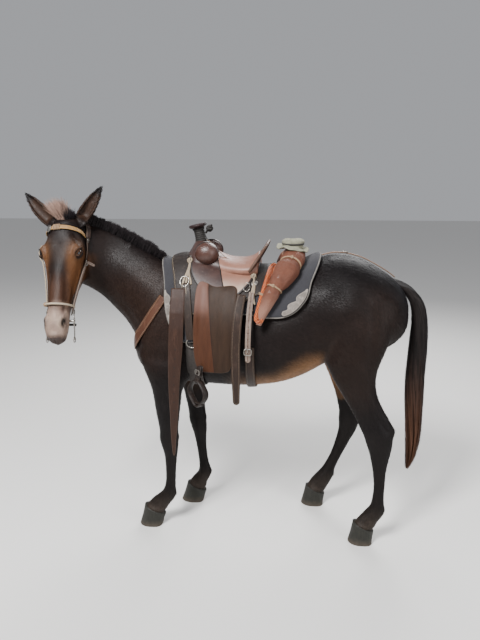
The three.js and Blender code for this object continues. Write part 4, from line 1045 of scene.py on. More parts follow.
for name, (toe, heel) in hoof_soles.items():
    last = leg_rows[name][-1]
    y = last[3]
    top = leg_ring(last, 0.001, 48)
    half = (heel - toe) / 2 - 0.001
    sole = ring(((toe + heel) / 2, y, 0.0), (0, 1, 0), (-1, 0, 0), 0.053, half, half, 48, 0.95, 0.6)
    rings = [top + (0, 0, 0.004)]
    for f in (0.0, 0.08, 0.2, 0.35, 0.5, 0.65, 0.8, 0.92, 0.985, 1.0):
        flare = 1 - 0.02 * math.sin(math.pi * f) + 0.003 * math.sin(34 * f)
        level = top * (1 - f) + sole * f
        middle = level.mean(0)
        level = middle + (level - middle) * (flare, flare, 1) * (0.985 if f == 1.0 else 1)
        level[:, 2] = np.maximum(level[:, 2], 0)
        rings.append(level)
    middle = rings[-1].mean(0)
    rings.append(middle + (rings[-1] - middle) * 0.8 + (0, 0, 0.004))
    rings.append(middle + (rings[-1] - middle) * 0.3 + (0.004, 0, 0.008))
    verts, faces = loft(rings)
    hoof = new_piece("hoof_" + name + "_horn", verts, faces)
    hoof.data.materials.append(hoof_paint.material)
    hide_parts("hoof_" + name)
    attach(hoof, "root")


# The coat's hairs: short sleek tufts that lie back along the body, down the limbs and down the face.
# Each is a thin two-sided blade rooted in the skin, smallest on the face and feet.
def unwrap(p):
    """A place on a flat sheet for each point of the skin, with head, legs and ears apart."""
    v = np.arctan2(p[:, 1], p[:, 2] - 1.13) / (2 * np.pi) + 0.5
    u = 0.01 + 0.58 * (p[:, 0] + 1.25) / 1.95
    h = (p - poll) @ head_axes.T
    in_head = (h[:, 2] > 0.0) & (p[:, 0] < -1.03)
    head_turn = np.arctan2(h[:, 0], h[:, 1] + 0.08) / (2 * np.pi) + 0.5
    u = np.where(in_head, 0.62 + 0.20 * np.clip(h[:, 2] / 0.62, 0, 1), u)
    v = np.where(in_head, 0.48 * head_turn, v)
    for k, rows in enumerate(leg_rows.values()):
        rows = np.array(rows)
        middle = [
            np.interp(p[:, 2], rows[::-1, 0], (rows[::-1, 1] + rows[::-1, 2]) / 2),
            np.interp(p[:, 2], rows[::-1, 0], rows[::-1, 3])
        ]
        d = p[:, :2] - np.stack(middle, 1)
        here = (p[:, 2] < 0.88) & (np.abs(d[:, 0]) < 0.17) & (np.abs(d[:, 1]) < 0.12)
        leg_turn = np.arctan2(d[:, 1], d[:, 0]) / (2 * np.pi) + 0.5
        u = np.where(here, 0.63 + 0.36 * np.clip(p[:, 2] / 0.9, 0, 1), u)
        v = np.where(here, 0.52 + 0.12 * k + 0.11 * leg_turn, v)
    for k, s in enumerate((-1, 1)):
        root, aim, facing, side_way, _ = ear_frames[s]
        d = p - root
        here = (d @ aim > 0.02) & (np.linalg.norm(d, axis=1) < 0.27)
        ear_turn = np.arctan2(d @ side_way, d @ facing) / (2 * np.pi) + 0.5
        u = np.where(here, 0.84 + 0.15 * np.clip(d @ aim / 0.26, 0, 1), u)
        v = np.where(here, 0.24 * k + 0.22 * ear_turn, v)
    return np.stack([np.clip(u, 0.004, 0.996), np.clip(v, 0.004, 0.996)], 1)


def lie(p, n):
    """The way the coat lies at each point."""
    way = np.tile([0.86, 0.0, -0.50], (len(p), 1))
    way = mix(way, np.array([0.62, 0.0, -0.78]), fade(-p[:, 0], 0.60, 0.80))
    way = mix(way, np.array([0.25, 0.0, -0.97]), fade(p[:, 0], 0.20, 0.42) * (1 - fade(p[:, 2], 1.36, 1.44)))
    way = mix(way, np.array([0.15, 0.0, -1.0]), 1 - fade(p[:, 2], 0.72, 0.92))
    way = mix(way, np.array([0.0, 0.0, -1.0]), fade(-p[:, 0], 0.78, 0.84) * (1 - fade(p[:, 2], 1.0, 1.1)))
    h = (p - poll) @ head_axes.T
    from_whorl = h - [0.0, 0.02, 0.150]
    apart = unit(from_whorl[:, :1] * face_left + from_whorl[:, 2:] * face_down + 1e-6)
    face_way = mix(apart, face_down, fade(h[:, 2], 0.17, 0.30))
    on_face = fade(h[:, 2], -0.01, 0.05) * fade(-p[:, 0], 1.02, 1.07)
    way = mix(way, face_way, on_face)
    for s in (-1, 1):
        root, aim = ear_frames[s][:2]
        d = p - root
        here = ((d @ aim > 0.035) & (np.linalg.norm(d, axis=1) < 0.27)).astype(float)
        way = mix(way, aim, here)
    way = way - n * (way * n).sum(1, keepdims=True)
    return unit(way)


def spread(verts, quads, count, seed, weight):
    """Seeded points over the skin, as many to each area as its weight says."""
    draw = np.random.default_rng(seed)
    a, b, c, d = (verts[quads[:, k]] for k in range(4))
    area = np.linalg.norm(np.cross(c - a, d - b), axis=1) / 2 * weight
    picked = np.searchsorted(np.cumsum(area) / area.sum(), draw.random(count))
    s, t = draw.random((2, count, 1))
    places = (
        a[picked] * (1 - s) * (1 - t) + b[picked] * s * (1 - t)
        + c[picked] * s * t + d[picked] * (1 - s) * t
    )
    return places, picked


def many_faces(name, verts, faces, uvs=None, colours=None, layer="OFBake"):
    """A piece from arrays: faces is an N by 3 or N by 4 array, uvs one pair for each vertex."""
    mesh = bpy.data.meshes.new(name)
    n, corners = faces.shape
    mesh.vertices.add(len(verts))
    mesh.vertices.foreach_set("co", (verts + origin_shift).astype(np.float32).ravel())
    mesh.loops.add(n * corners)
    mesh.loops.foreach_set("vertex_index", faces.astype(np.int32).ravel())
    mesh.polygons.add(n)
    mesh.polygons.foreach_set("loop_start", np.arange(0, n * corners, corners, dtype=np.int32))
    mesh.polygons.foreach_set("use_smooth", np.ones(n, bool))
    mesh.update(calc_edges=True)
    if uvs is not None:
        mesh.uv_layers.new(name=layer).data.foreach_set("uv", uvs[faces.ravel()].astype(np.float32).ravel())
    if colours is not None:
        write_colours(mesh, colours)
    piece = bpy.data.objects.new(name, mesh)
    bpy.context.scene.collection.objects.link(piece)
    return piece


def blades(points, sides, widths, roots_uv):
    """Ribbons of hair: points is strands by places by 3. Gives verts, quads and UVs."""
    n, k = points.shape[:2]
    left = points - sides * widths[..., None] / 2
    right = points + sides * widths[..., None] / 2
    verts = np.stack([left, right], 2).reshape(-1, 3)
    base = (np.arange(n) * 2 * k)[:, None] + 2 * np.arange(k - 1)[None]
    quads = np.stack([base, base + 1, base + 3, base + 2], -1).reshape(-1, 4)
    along = np.linspace(-0.0015, 0.0015, k)
    local = np.stack([np.stack([np.full(k, -0.0015), along], 1), np.stack([np.full(k, 0.0015), along], 1)], 1)
    uvs = (roots_uv[:, None, None] + local[None]).reshape(-1, 2)
    return verts, quads, uvs


def hair_paint(name, rough, sheen):
    made = Paint(name)
    tone = made.node("ShaderNodeVertexColor", {"layer_name": "coat"})
    made.set(
        Base_Color=tone, Roughness=rough, Specular_IOR_Level=0.14, Sheen_Weight=sheen, Sheen_Roughness=0.4,
        Sheen_Tint=(0.6, 0.62, 0.7, 1)
    )
    return made.material


coat_hair = hair_paint("coat_hairs", 0.46, 0.03)
quad_middle = skin_verts[skin_quads].mean(1)
h_middle = (quad_middle - poll) @ head_axes.T
head_quads = (h_middle[:, 2] > -0.03) & (quad_middle[:, 0] < -0.99)
under_pad = (
    quad_middle[:, 0] > -0.61
) & (quad_middle[:, 0] < 0.02) & (quad_middle[:, 2] > 1.24) & ~head_quads
low_quads = quad_middle[:, 2] < 0.62
eye_near = np.min([np.linalg.norm(quad_middle - eye_frames[s][0], axis=1) for s in (-1, 1)], 0) < 0.034
tuft_plan = (
    ("coat_body", 92000, 51, np.where(under_pad | head_quads | low_quads, 0.0, 1.0), 0.017, 0.0030, 0.16),
    ("coat_head", 70000, 52, np.where(head_quads & ~eye_near, 1.0, 0.0), 0.0085, 0.0014, 0.15),
    ("coat_legs", 42000, 53, np.where(low_quads, 1.0, 0.0), 0.011, 0.0020, 0.14),
)
for name, count, seed, weight, length, width, rise in tuft_plan:
    roots, picked = spread(skin_verts, skin_quads, count, seed, weight)
    draw = np.random.default_rng(seed + 100)
    n = unit(skin_normals[skin_quads[picked]].mean(1))
    way = lie(roots, n)
    side = np.cross(way, n)
    way = unit(way + side * draw.normal(0, 0.16, (count, 1)))
    side = np.cross(way, n)
    size = length * draw.uniform(0.7, 1.25, count)
    if name == "coat_head":
        size = size * (1 - 0.35 * fade(((roots - poll) @ head_axes.T)[:, 2], 0.40, 0.5))
    if name == "coat_legs":
        size = size * (0.75 + 0.5 * near(roots, (0, 0, 0.18), 1, np.eye(3), (9, 9, 0.04)))
    up = rise * draw.uniform(0.5, 1.4, count)
    heights = np.array([0.0, 0.9, 1.0])
    f = np.array([0.0, 0.5, 1.0])
    points = roots[:, None] + way[:, None] * (size[:, None] * f)[..., None] + n[:, None] * (
        size[:, None] * up[:, None] * heights * f**0.8 + 0.0002
    )[..., None]
    widths = width * draw.uniform(0.7, 1.3, (count, 1)) * np.array([0.75, 1.0, 0.08])
    verts, quads, uvs = blades(points, np.repeat(side[:, None], 3, 1), widths, unwrap(roots))
    quads = quads.reshape(count, 2, 4)
    tris = np.concatenate(
        [quads[:, 0][:, [0, 1, 2]], quads[:, 0][:, [0, 2, 3]], quads[:, 1][:, [0, 1, 2]]]
    ) if count < 60000 else None
    tone = coat_colour(roots, n) * draw.uniform(0.72, 1.35, (count, 1))
    tone = np.repeat(tone[:, None], 6, 1)
    tone[:, 4:] *= 1.15
    if tris is None:
        # root, widest place and tip alone: two triangles
        keep = np.array([0, 2, 3, 5])
        verts = verts.reshape(count, 6, 3)[:, keep].reshape(-1, 3)
        uvs = uvs.reshape(count, 6, 2)[:, keep].reshape(-1, 2)
        tone = tone[:, keep]
        first = 4 * np.arange(count)[:, None]
        tris = np.concatenate([first + [0, 2, 1], first + [1, 2, 3]])
    piece = many_faces(name, verts, tris, uvs, tone.reshape(-1, 3))
    piece.data.materials.append(coat_hair)
    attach(piece, "root")


# Roached mane: stiff black horsehair clipped short, so that it stands up.
# The bristles are rooted along the crest of the neck, from the poll to the withers.
mane_draw = np.random.default_rng(61)
mane_hair = hair_paint("mane_hairs", 0.5, 0.06)
crest_rows = smooth_rows(neck_rows, 12)
count = 9000
f = mane_draw.uniform(0.155, 0.995, count) * (len(crest_rows) - 1)
k = np.clip(f.astype(int), 0, len(crest_rows) - 2)
row = crest_rows[k] + (f - k)[:, None] * (crest_rows[k + 1] - crest_rows[k])
along = unit(crest_rows[k + 1][:, :3] - crest_rows[k][:, :3])
side = unit(np.cross(along, [0, 0, 1]))
rise = unit(np.array([0, 0, 1]) - along * along[:, 2:])
t = (f / (len(crest_rows) - 1) - 0.155) / 0.84
spot = mane_draw.normal(0, 0.0075, count)
roots = row[:, :3] + side * spot[:, None] - rise * 0.010
end = np.minimum(1, 0.50 + 2.6 * np.minimum(t, 1 - t))
waves = 0.5 + 0.5 * np.sin(f * 1.9 + 2 * np.sin(f * 0.7))
tall = 0.055 * end * mane_draw.uniform(0.72, 1.05, count) * (0.86 + 0.16 * waves)
lean = -0.10 + 0.28 * (blotches(roots, 0.05, 63) - 0.5) + mane_draw.normal(0, 0.10, count)
f = np.linspace(0, 1, 4)
points = (
    roots[:, None]
    + rise[:, None] * (tall[:, None] * f)[..., None]
    + side[:, None] * (spot[:, None] * 1.1 * f**1.3)[..., None]
    + along[:, None] * (tall[:, None] * lean[:, None] * f**2)[..., None]
)
facing = unit(along + side * mane_draw.normal(0, 0.5, (count, 1)))
widths = 0.0026 * mane_draw.uniform(0.7, 1.2, (count, 1)) * np.array([1, 1, 0.8, 0.25])
verts, quads, uvs = blades(points, np.repeat(facing[:, None], 4, 1), widths, unwrap(roots))
tone = np.array([0.010, 0.008, 0.0085]) * mane_draw.uniform(
    0.6, 1.8, (count, 1, 1)
) * np.linspace(0.8, 1.5, 8)[None, :, None]
mane = many_faces("mane", verts, quads, uvs, tone.reshape(-1, 3))
mane.data.materials.append(mane_hair)
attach(mane, "root")


# Forelock: a dry frizzy tuft of horsehair rooted between the ears.
# The sun has bleached its right half, and its left half is black.
lock_draw = np.random.default_rng(71)
count = 2600
turn = lock_draw.uniform(0, 2 * np.pi, count)
spread_out = np.sqrt(lock_draw.uniform(0, 1, count))
left = 0.004 + 0.040 * spread_out * np.cos(turn)
out = -0.050 + 0.030 * spread_out * np.sin(turn)
roots = poll + left[:, None] * face_left + out[:, None] * face_out + (
    0.022 * fade(out, -0.05, -0.02)
)[:, None] * face_down
dark_side = fade(left, 0.004, 0.020)
tall = lock_draw.uniform(0.075, 0.118, count) * (1 - 0.42 * dark_side) * (0.78 + 0.22 * (1 - spread_out))
aim = -face_down + face_left * (
    -0.08 + 9.0 * (left - 0.006)
)[:, None] + face_out * (0.30 + 11.0 * (out + 0.05))[:, None]
aim = unit(aim + lock_draw.normal(0, 0.10, (count, 3)))
f = np.linspace(0, 1, 7)
curl = face_left[None] * (
    -0.016 + lock_draw.normal(0, 0.012, count)
)[:, None] + face_out[None] * lock_draw.uniform(0.0, 0.034, count)[:, None]
curl = curl * (1 - 0.5 * dark_side)[:, None]
frizz = lock_draw.normal(0, 1, (count, 7, 3)).cumsum(1) * 0.0022 * f[None, :, None]
waves = np.sin(
    f[None] * lock_draw.uniform(9, 16, (count, 1)) + lock_draw.uniform(0, 6, (count, 1))
) * 0.0035 * f
cross_way = unit(np.cross(aim, lock_draw.normal(size=(count, 3))))
points = roots[:, None] + aim[:, None] * (
    tall[:, None] * f
)[..., None] + curl[:, None] * (f**2)[None, :, None] + frizz + cross_way[:, None] * waves[..., None]
widths = 0.0017 * lock_draw.uniform(0.6, 1.3, (count, 1)) * np.array([1, 1, 1, 0.95, 0.85, 0.6, 0.25])
verts, quads, uvs = blades(points, np.repeat(cross_way[:, None], 7, 1), widths, unwrap(roots))
pale = np.array([0.36, 0.235, 0.185])[None] * lock_draw.uniform(0.5, 1.25, (count, 1))
tone = mix(pale, np.array([0.016, 0.012, 0.014]), np.clip(dark_side + (lock_draw.random(count) < 0.12), 0, 1))
tone = tone[:, None] * np.interp(np.arange(14), [0, 4, 13], [0.35, 0.9, 1.15])[None, :, None]
forelock = many_faces("forelock", verts, quads, uvs, tone.reshape(-1, 3))
forelock.data.materials.append(mane_hair)
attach(forelock, "root")


# Tail: a fleshy dock that bends over the buttocks, with long coarse horsehair rooted all round it.
# The strands turn reddish towards their end.
tail_draw = np.random.default_rng(81)
tail_line = smooth_rows(
    [
        [0.430, 0, 1.330], [0.492, 0, 1.312], [0.548, 0.002, 1.276], [0.588, 0.003, 1.212], [
            0.602, 0.004, 1.120
        ], [0.603, 0.005, 1.000],
        [0.598, 0.005, 0.850], [0.602, 0.004, 0.690], [
            0.608, 0.002, 0.520
        ], [0.602, 0, 0.400], [0.588, 0, 0.325],
    ],
    10,
)
reach = len(tail_line) - 1


def on_tail(f):
    f = np.clip(f, 0, reach - 1e-6)
    k = f.astype(int)
    return tail_line[k] + (f - k)[..., None] * (tail_line[k + 1] - tail_line[k])


rings = []
for k in range(0, 62, 3):
    way = unit(tail_line[k + 1] - tail_line[max(k - 1, 0)])
    up = unit(np.cross(way, [0, 1, 0]))
    wide = np.interp(k, [0, 10, 25, 40, 52, 60], [0.024, 0.025, 0.024, 0.020, 0.012, 0.004])
    rings.append(ring(tail_line[k], (0, 1, 0), up, wide * 0.85, wide, wide, 24))
dock_verts, dock_faces = loft(rings)
count = 5200
turn = tail_draw.uniform(0, 2 * np.pi, count)
start = tail_draw.uniform(0, 46, count)
end = np.where(
    tail_draw.random(count) < 0.42, tail_draw.uniform(82, 100, count),
    start + tail_draw.uniform(26, 52, count)
)
end = np.minimum(end, 100)
f = np.linspace(0, 1, 11)
at = start[:, None] + (end - start)[:, None] * f
middle = on_tail(at)
size = np.interp(
    at, [0, 12, 30, 52, 66, 80, 92, 100], [0.027, 0.030, 0.036, 0.048, 0.050, 0.042, 0.026, 0.008]
)
bunch = np.round(turn / (2 * np.pi) * 15) / 15 * 2 * np.pi
turn_here = turn[:, None] + (bunch - turn)[:, None] * 0.75 * fade(at, 55, 95) + 0.35 * np.sin(
    at * 0.06 + turn[:, None] * 2
)
inner = tail_draw.uniform(0.30, 1.0, count)[:, None] * (0.4 + 0.6 * f) + (1 - f) * 0.6 * 0.85
radius = size * np.clip(inner, 0.1, 1.02)
wave = 0.0035 * np.sin(at * tail_draw.uniform(0.18, 0.35, (count, 1)) + tail_draw.uniform(0, 6, (count, 1)))
points = middle + np.stack(
    [(radius + wave) * np.cos(turn_here), 0.88 * (radius + wave) * np.sin(turn_here), 0 * radius], -1
)
way = unit(np.gradient(points, axis=1))
sides = unit(np.cross(way, np.stack([np.cos(turn_here), np.sin(turn_here), 0 * turn_here], -1)))
widths = 0.0030 * tail_draw.uniform(0.6, 1.3, (count, 1)) * np.interp(
    f, [0, 0.2, 0.8, 1], [0.7, 1, 0.8, 0.25]
)
tail_unwrap = np.stack([0.63 + 0.36 * (start / 100), 0.02 + 0.96 * turn / (2 * np.pi)], 1)
verts, quads, uvs = blades(points, sides, widths, tail_unwrap)
low = fade(at, 50, 88)
tone = np.array(
    [0.011, 0.0085, 0.008]
) * (1 - low)[..., None] + np.array([0.060, 0.026, 0.014]) * low[..., None]
tone = tone * tail_draw.uniform(0.5, 1.7, (count, 1, 1))
tone = np.repeat(tone, 2, 1)
tail = many_faces("tail_hair", verts, quads, uvs, tone.reshape(-1, 3))
tail.data.materials.append(mane_hair)
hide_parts("tail")
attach(tail, "root")
dock = new_piece("tail_dock", dock_verts, dock_faces)
dock_paint = Paint("dock")
dock_paint.set(
    Base_Color=(0.010, 0.008, 0.008), Roughness=0.6,
    Normal=dock_paint.bump(dock_paint.noise(0.004, 4, 0.6, (1, 1, 0.2)), 0.002)
)
dock.data.materials.append(dock_paint.material)
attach(dock, "root")


# Saddle pad: a thick charcoal wool felt pad over the back, bound with pale cord,
# with worn leather at its corners.
# It lies on the coat; everything of the saddle is laid on it in turn, so the back's shape is measured here.
back_verts, back_faces = joined([trunk(0), neck(0)])
back_tree = BVHTree.FromPolygons(back_verts.tolist(), back_faces)


barrel_height = 1.10


class Cover:
    """The back and sides as a sheet: x along the mule, a down from the spine, positive on its left."""

    def __init__(self, hangs=False):
        self.x = np.arange(-0.74, 0.241, 0.01)
        self.a = np.arange(-0.98, 0.981, 0.01)
        self.p = np.zeros((len(self.x), len(self.a), 3))
        turn = np.radians(np.arange(0, 181, 3))
        for i, x in enumerate(self.x):
            halves = []
            for s in (1, -1):
                line = []
                for t in turn:
                    way = Vector((0, -s * math.sin(t), math.cos(t)))
                    hit = back_tree.ray_cast(Vector((x, 0, barrel_height)) + way * 0.9, -way)[0]
                    line.append((hit.y, hit.z))
                line = np.array(line)
                if hangs:
                    line[:, 0] = -s * np.maximum.accumulate(-s * line[:, 0])
                length = run_of(line)
                halves.append((length, line))
            for s, (length, line) in zip((1, -1), halves):
                here = self.a * s >= 0
                for axis in (0, 1):
                    self.p[i, here, axis + 1] = np.interp(self.a[here] * s, length, line[:, axis])
            self.p[i, :, 0] = x
        for _ in range(3):
            inner = self.p[1:-1, 1:-1]
            inner[...] = (
                inner * 2 + self.p[:-2, 1:-1] + self.p[2:, 1:-1] + self.p[1:-1, :-2] + self.p[1:-1, 2:]
            ) / 6
        dx = np.gradient(self.p, axis=0)
        da = np.gradient(self.p, axis=1)
        self.n = unit(np.cross(da, dx))
        outward = self.p - [0, 0, barrel_height]
        outward[..., 0] = 0
        self.n *= np.sign((self.n * outward).sum(-1, keepdims=True))

    def at(self, x, a, off=0.0):
        """Places and normals on the cover, lifted off it."""
        x, a = np.broadcast_arrays(np.asarray(x, float), np.asarray(a, float))
        u = np.clip((x - self.x[0]) / 0.01, 0, len(self.x) - 1.001)
        v = np.clip((a - self.a[0]) / 0.01, 0, len(self.a) - 1.001)
        i, j = u.astype(int), v.astype(int)
        fu, fv = (u - i)[..., None], (v - j)[..., None]
        found = []
        for grid in (self.p, self.n):
            top = grid[i, j] * (1 - fv) + grid[i, j + 1] * fv
            low = grid[i + 1, j] * (1 - fv) + grid[i + 1, j + 1] * fv
            found.append(top * (1 - fu) + low * fu)
        n = unit(found[1])
        return found[0] + n * np.asarray(off)[..., None], n

    def down_to(self, x, z, s):
        """How far down from the spine the cover reaches a height, on side s."""
        line = self.a[self.a * s >= 0]
        order = np.argsort(np.abs(line))
        heights = self.at(np.full(len(line), x), line)[0][order, 2]
        reach = np.abs(line)[order]
        low = int(np.argmin(heights))
        return s * float(np.interp(z, heights[: low + 1][::-1], reach[: low + 1][::-1]))


snug = Cover()
hanging = Cover(True)


def cover_tree(off, cover=None):
    """The cover lifted off by a thickness, as a surface to measure distances to."""
    cover = cover or snug
    rows, columns = cover.p.shape[:2]
    first = (np.arange(rows - 1)[:, None] * columns + np.arange(columns - 1)[None]).ravel()
    quads = np.stack([first, first + columns, first + columns + 1, first + 1], 1)
    return BVHTree.FromPolygons((cover.p + cover.n * off).reshape(-1, 3).tolist(), quads.tolist())


def pushed_out(verts, tree, gap):
    """Moves the places that lie under a surface out of it."""
    for k, place in enumerate(verts):
        found, n, _, _ = tree.find_nearest(place)
        n = n if n.dot(found - Vector((found.x, 0, barrel_height))) > 0 else -n
        deep = (Vector(place) - found).dot(n)
        if deep < gap:
            verts[k] = Vector(place) + n * (gap - deep)
    return verts


def rounded_outline(places, count=150):
    """A closed smooth curve through places, evenly spaced."""
    places = np.array(places, float)
    looped = smooth_rows(np.concatenate([places[-1:], places, places[:2]]), 14)[14:-14]
    length = run_of(looped)
    at = np.linspace(0, length[-1], count + 1)[:-1]
    return np.stack([np.interp(at, length, looped[:, k]) for k in (0, 1)], 1)


def over_back(outline, cover=None):
    """A side outline of x and z, opened at its top, as one outline over both sides of the back."""
    cover = cover or snug
    near_side = []
    for x, z in outline:
        top = cover.at(x, 0.0)[0][2]
        near_side.append((x, cover.down_to(x, min(z, top), 1)))
    near_side = [p for p in near_side if p[1] > 0.012]
    start = int(
        np.argmax(
            [
                abs(near_side[k][0] - near_side[k - 1][0]) + abs(near_side[k][1] - near_side[k - 1][1])
                for k in range(len(near_side))
            ]
        )
    )
    near_side = near_side[start:] + near_side[:start]
    far_side = [(x, -a) for x, a in near_side[::-1]]
    return resample(np.array(near_side + far_side), 0.009)


def on_side(outline, s, cover):
    return resample(np.array([(x, cover.down_to(x, z, s)) for x, z in outline]), 0.008)


def resample(loop, step):
    loop = np.concatenate([loop, loop[:1]])
    length = run_of(loop)
    at = np.linspace(0, length[-1], int(length[-1] / step) + 1)[:-1]
    return np.stack([np.interp(at, length, loop[:, k]) for k in (0, 1)], 1)


def edge_of(points, loop):
    """For each flat point, its distance to the outline and how far along the outline that is."""
    a, b = loop, np.roll(loop, -1, 0)
    seg = b - a
    size = np.linalg.norm(seg, axis=1)
    start = np.concatenate([[0], np.cumsum(size)[:-1]])
    d = points[:, None] - a[None]
    t = np.clip((d * seg).sum(-1) / np.maximum((seg**2).sum(-1), 1e-12), 0, 1)
    apart = np.linalg.norm(d - t[..., None] * seg, axis=2)
    k = apart.argmin(1)
    row = np.arange(len(points))
    return apart[row, k], start[k] + t[row, k] * size[k]


def inside(points, loop):
    x, y = points.T
    within = np.zeros(len(points), bool)
    for (x0, y0), (x1, y1) in zip(loop, np.roll(loop, -1, 0)):
        crossing = ((y0 > y) != (y1 > y)) & (x < (x1 - x0) * (y - y0) / (y1 - y0 + 1e-15) + x0)
        within ^= crossing
    return within


def sheet(name, loop, cover, low, high, soft_edge=0.004, step=0.011, lift=None):
    """A flat piece of felt or leather laid on a cover, with rounded edges and thickness high - low."""
    grid_x, grid_a = np.meshgrid(
        np.arange(loop[:, 0].min(), loop[:, 0].max(), step),
        np.arange(loop[:, 1].min(), loop[:, 1].max(), step)
    )
    points = np.stack([grid_x.ravel(), grid_a.ravel()], 1)
    points = points[inside(points, loop)]
    points = points[edge_of(points, loop)[0] > soft_edge + 0.35 * step]
    flow = np.roll(loop, -1, 0) - np.roll(loop, 1, 0)
    inward = unit(np.stack([-flow[:, 1], flow[:, 0]], 1))
    if not inside((loop + inward * 0.0005)[:1], loop)[0]:
        inward = -inward
    for f in (0.12, 0.40, 1.0):
        ring_points = loop + inward * soft_edge * f
        ok = inside(ring_points, loop) & (edge_of(ring_points, loop)[0] > soft_edge * f * 0.8)
        points = np.concatenate([points, ring_points[ok]])
    n = len(loop)
    flat = np.concatenate([loop, points])
    edges = [(k, (k + 1) % n) for k in range(n)]
    made = delaunay_2d_cdt([Vector(p) for p in flat], edges, [], 1, 1e-7)
    flat = np.array([tuple(p) for p in made[0]])
    tris = [list(f) for f in made[2]]
    apart, along = edge_of(flat, loop)
    f = np.clip(apart / soft_edge, 0, 1)
    thick = (high - low) * (0.30 + 0.70 * np.sqrt(np.maximum(1 - (1 - f) ** 2, 0)))
    raise_by = lift(flat, apart) if lift else 0
    top = cover.at(flat[:, 0], flat[:, 1], low + thick + raise_by)[0]
    bottom = cover.at(flat[:, 0], flat[:, 1], low + raise_by * 0.85)[0]
    rim = {}
    for tri in tris:
        for a, b in zip(tri, tri[1:] + tri[:1]):
            if (b, a) in rim:
                del rim[(b, a)]
            else:
                rim[(a, b)] = True
    m = len(flat)
    faces = tris + [[i + m for i in tri[::-1]] for tri in tris] + [[b, a, a + m, b + m] for a, b in rim]
    piece = new_piece(name, np.concatenate([top, bottom]), faces)
    uv = np.stack([np.tile(apart, 2), np.tile(along, 2)], 1)
    put_uv(piece, "cut", uv)
    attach(piece, "root")
    return piece


def tube(line, radius, sides=10, closed=False, squash=1.0, across=None):
    """A round or flattened bar along a line. Gives verts, faces and (round, along) pairs."""
    line = np.asarray(line, float)
    n = len(line)
    radius = np.broadcast_to(np.asarray(radius, float), (n,)).copy()
    way = np.roll(line, -1, 0) - np.roll(line, 1, 0)
    if not closed:
        way[0], way[-1] = line[1] - line[0], line[-1] - line[-2]
    way = unit(way)
    side = np.cross(way[0], [0.31, 0.2, 0.93]) if across is None else np.asarray(across, float)
    rings = []
    a = turns(sides)
    for k in range(n):
        side = unit(side - way[k] * side.dot(way[k]))
        up = np.cross(way[k], side)
        rings.append(line[k] + radius[k] * (np.cos(a)[:, None] * side + squash * np.sin(a)[:, None] * up))
        if across is not None:
            side = np.asarray(across, float)
    if not closed:
        for end, k, sign in ((0, 0, -1), (-1, n - 1, 1)):
            tip = line[k] + sign * way[k] * radius[k] * 0.45 + (rings[end] - line[k]) * 0.62
            if end == 0:
                rings.insert(0, tip)
            else:
                rings.append(tip)
    verts, faces = loft(rings, closed=closed)
    length = run_of(line)
    length = length if closed else np.concatenate([[length[0]], length, [length[-1]]])
    pairs = np.stack([np.tile(np.arange(sides) / sides, len(rings)), np.repeat(length, sides)], 1)
    return verts, faces, pairs


def put_tube(name, slot, paint, *args, **kinds):
    verts, faces, pairs = tube(*args, **kinds)
    piece = new_piece(name, verts, faces)
    put_uv(piece, "run", pairs)
    piece.data.materials.append(paint)
    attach(piece, "root")
    return piece


pad_outline = rounded_outline([
    [-0.655, 1.560], [-0.662, 1.300], [-0.640, 1.160], [-0.590, 1.075], [-0.520, 1.055], [-0.400, 1.110],
    [-0.282, 1.196], [-0.148, 1.190], [-0.060, 1.200], [0.005, 1.245], [0.048, 1.330], [0.058, 1.560],
])
pad_loop = over_back(pad_outline)
wool = Paint("charcoal_wool")
fibre = wool.noise(0.0028, 5, 0.75)
matting = wool.noise(0.035, 3)
speckle = wool.step(wool.noise(0.0016, 2, 0.8), 0.62, 0.75)
wool_tone = wool.blend(fibre, (0.010, 0.010, 0.013), (0.050, 0.050, 0.058))
wool_tone = wool.blend(matting * 0.6, wool_tone, (0.020, 0.018, 0.020))
wool_tone = wool.blend(speckle * 0.4, wool_tone, (0.13, 0.125, 0.13))
wool.set(
    Base_Color=wool_tone, Roughness=0.95, Normal=wool.bump(fibre + 0.8 * matting, 0.0022),
    Specular_IOR_Level=0.2, Sheen_Weight=0.08, Sheen_Roughness=0.6
)


def pad_swell(flat, apart):
    quilted = 0.0015 * np.sin(flat[:, 0] * 60) * np.sin(flat[:, 1] * 48)
    return quilted * fade(apart, 0.01, 0.04)


pad = sheet("wool_pad", pad_loop, snug, 0.0006, 0.0225, 0.012, 0.011, pad_swell)
pad.data.materials.append(wool.material)
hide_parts("saddle_pad")


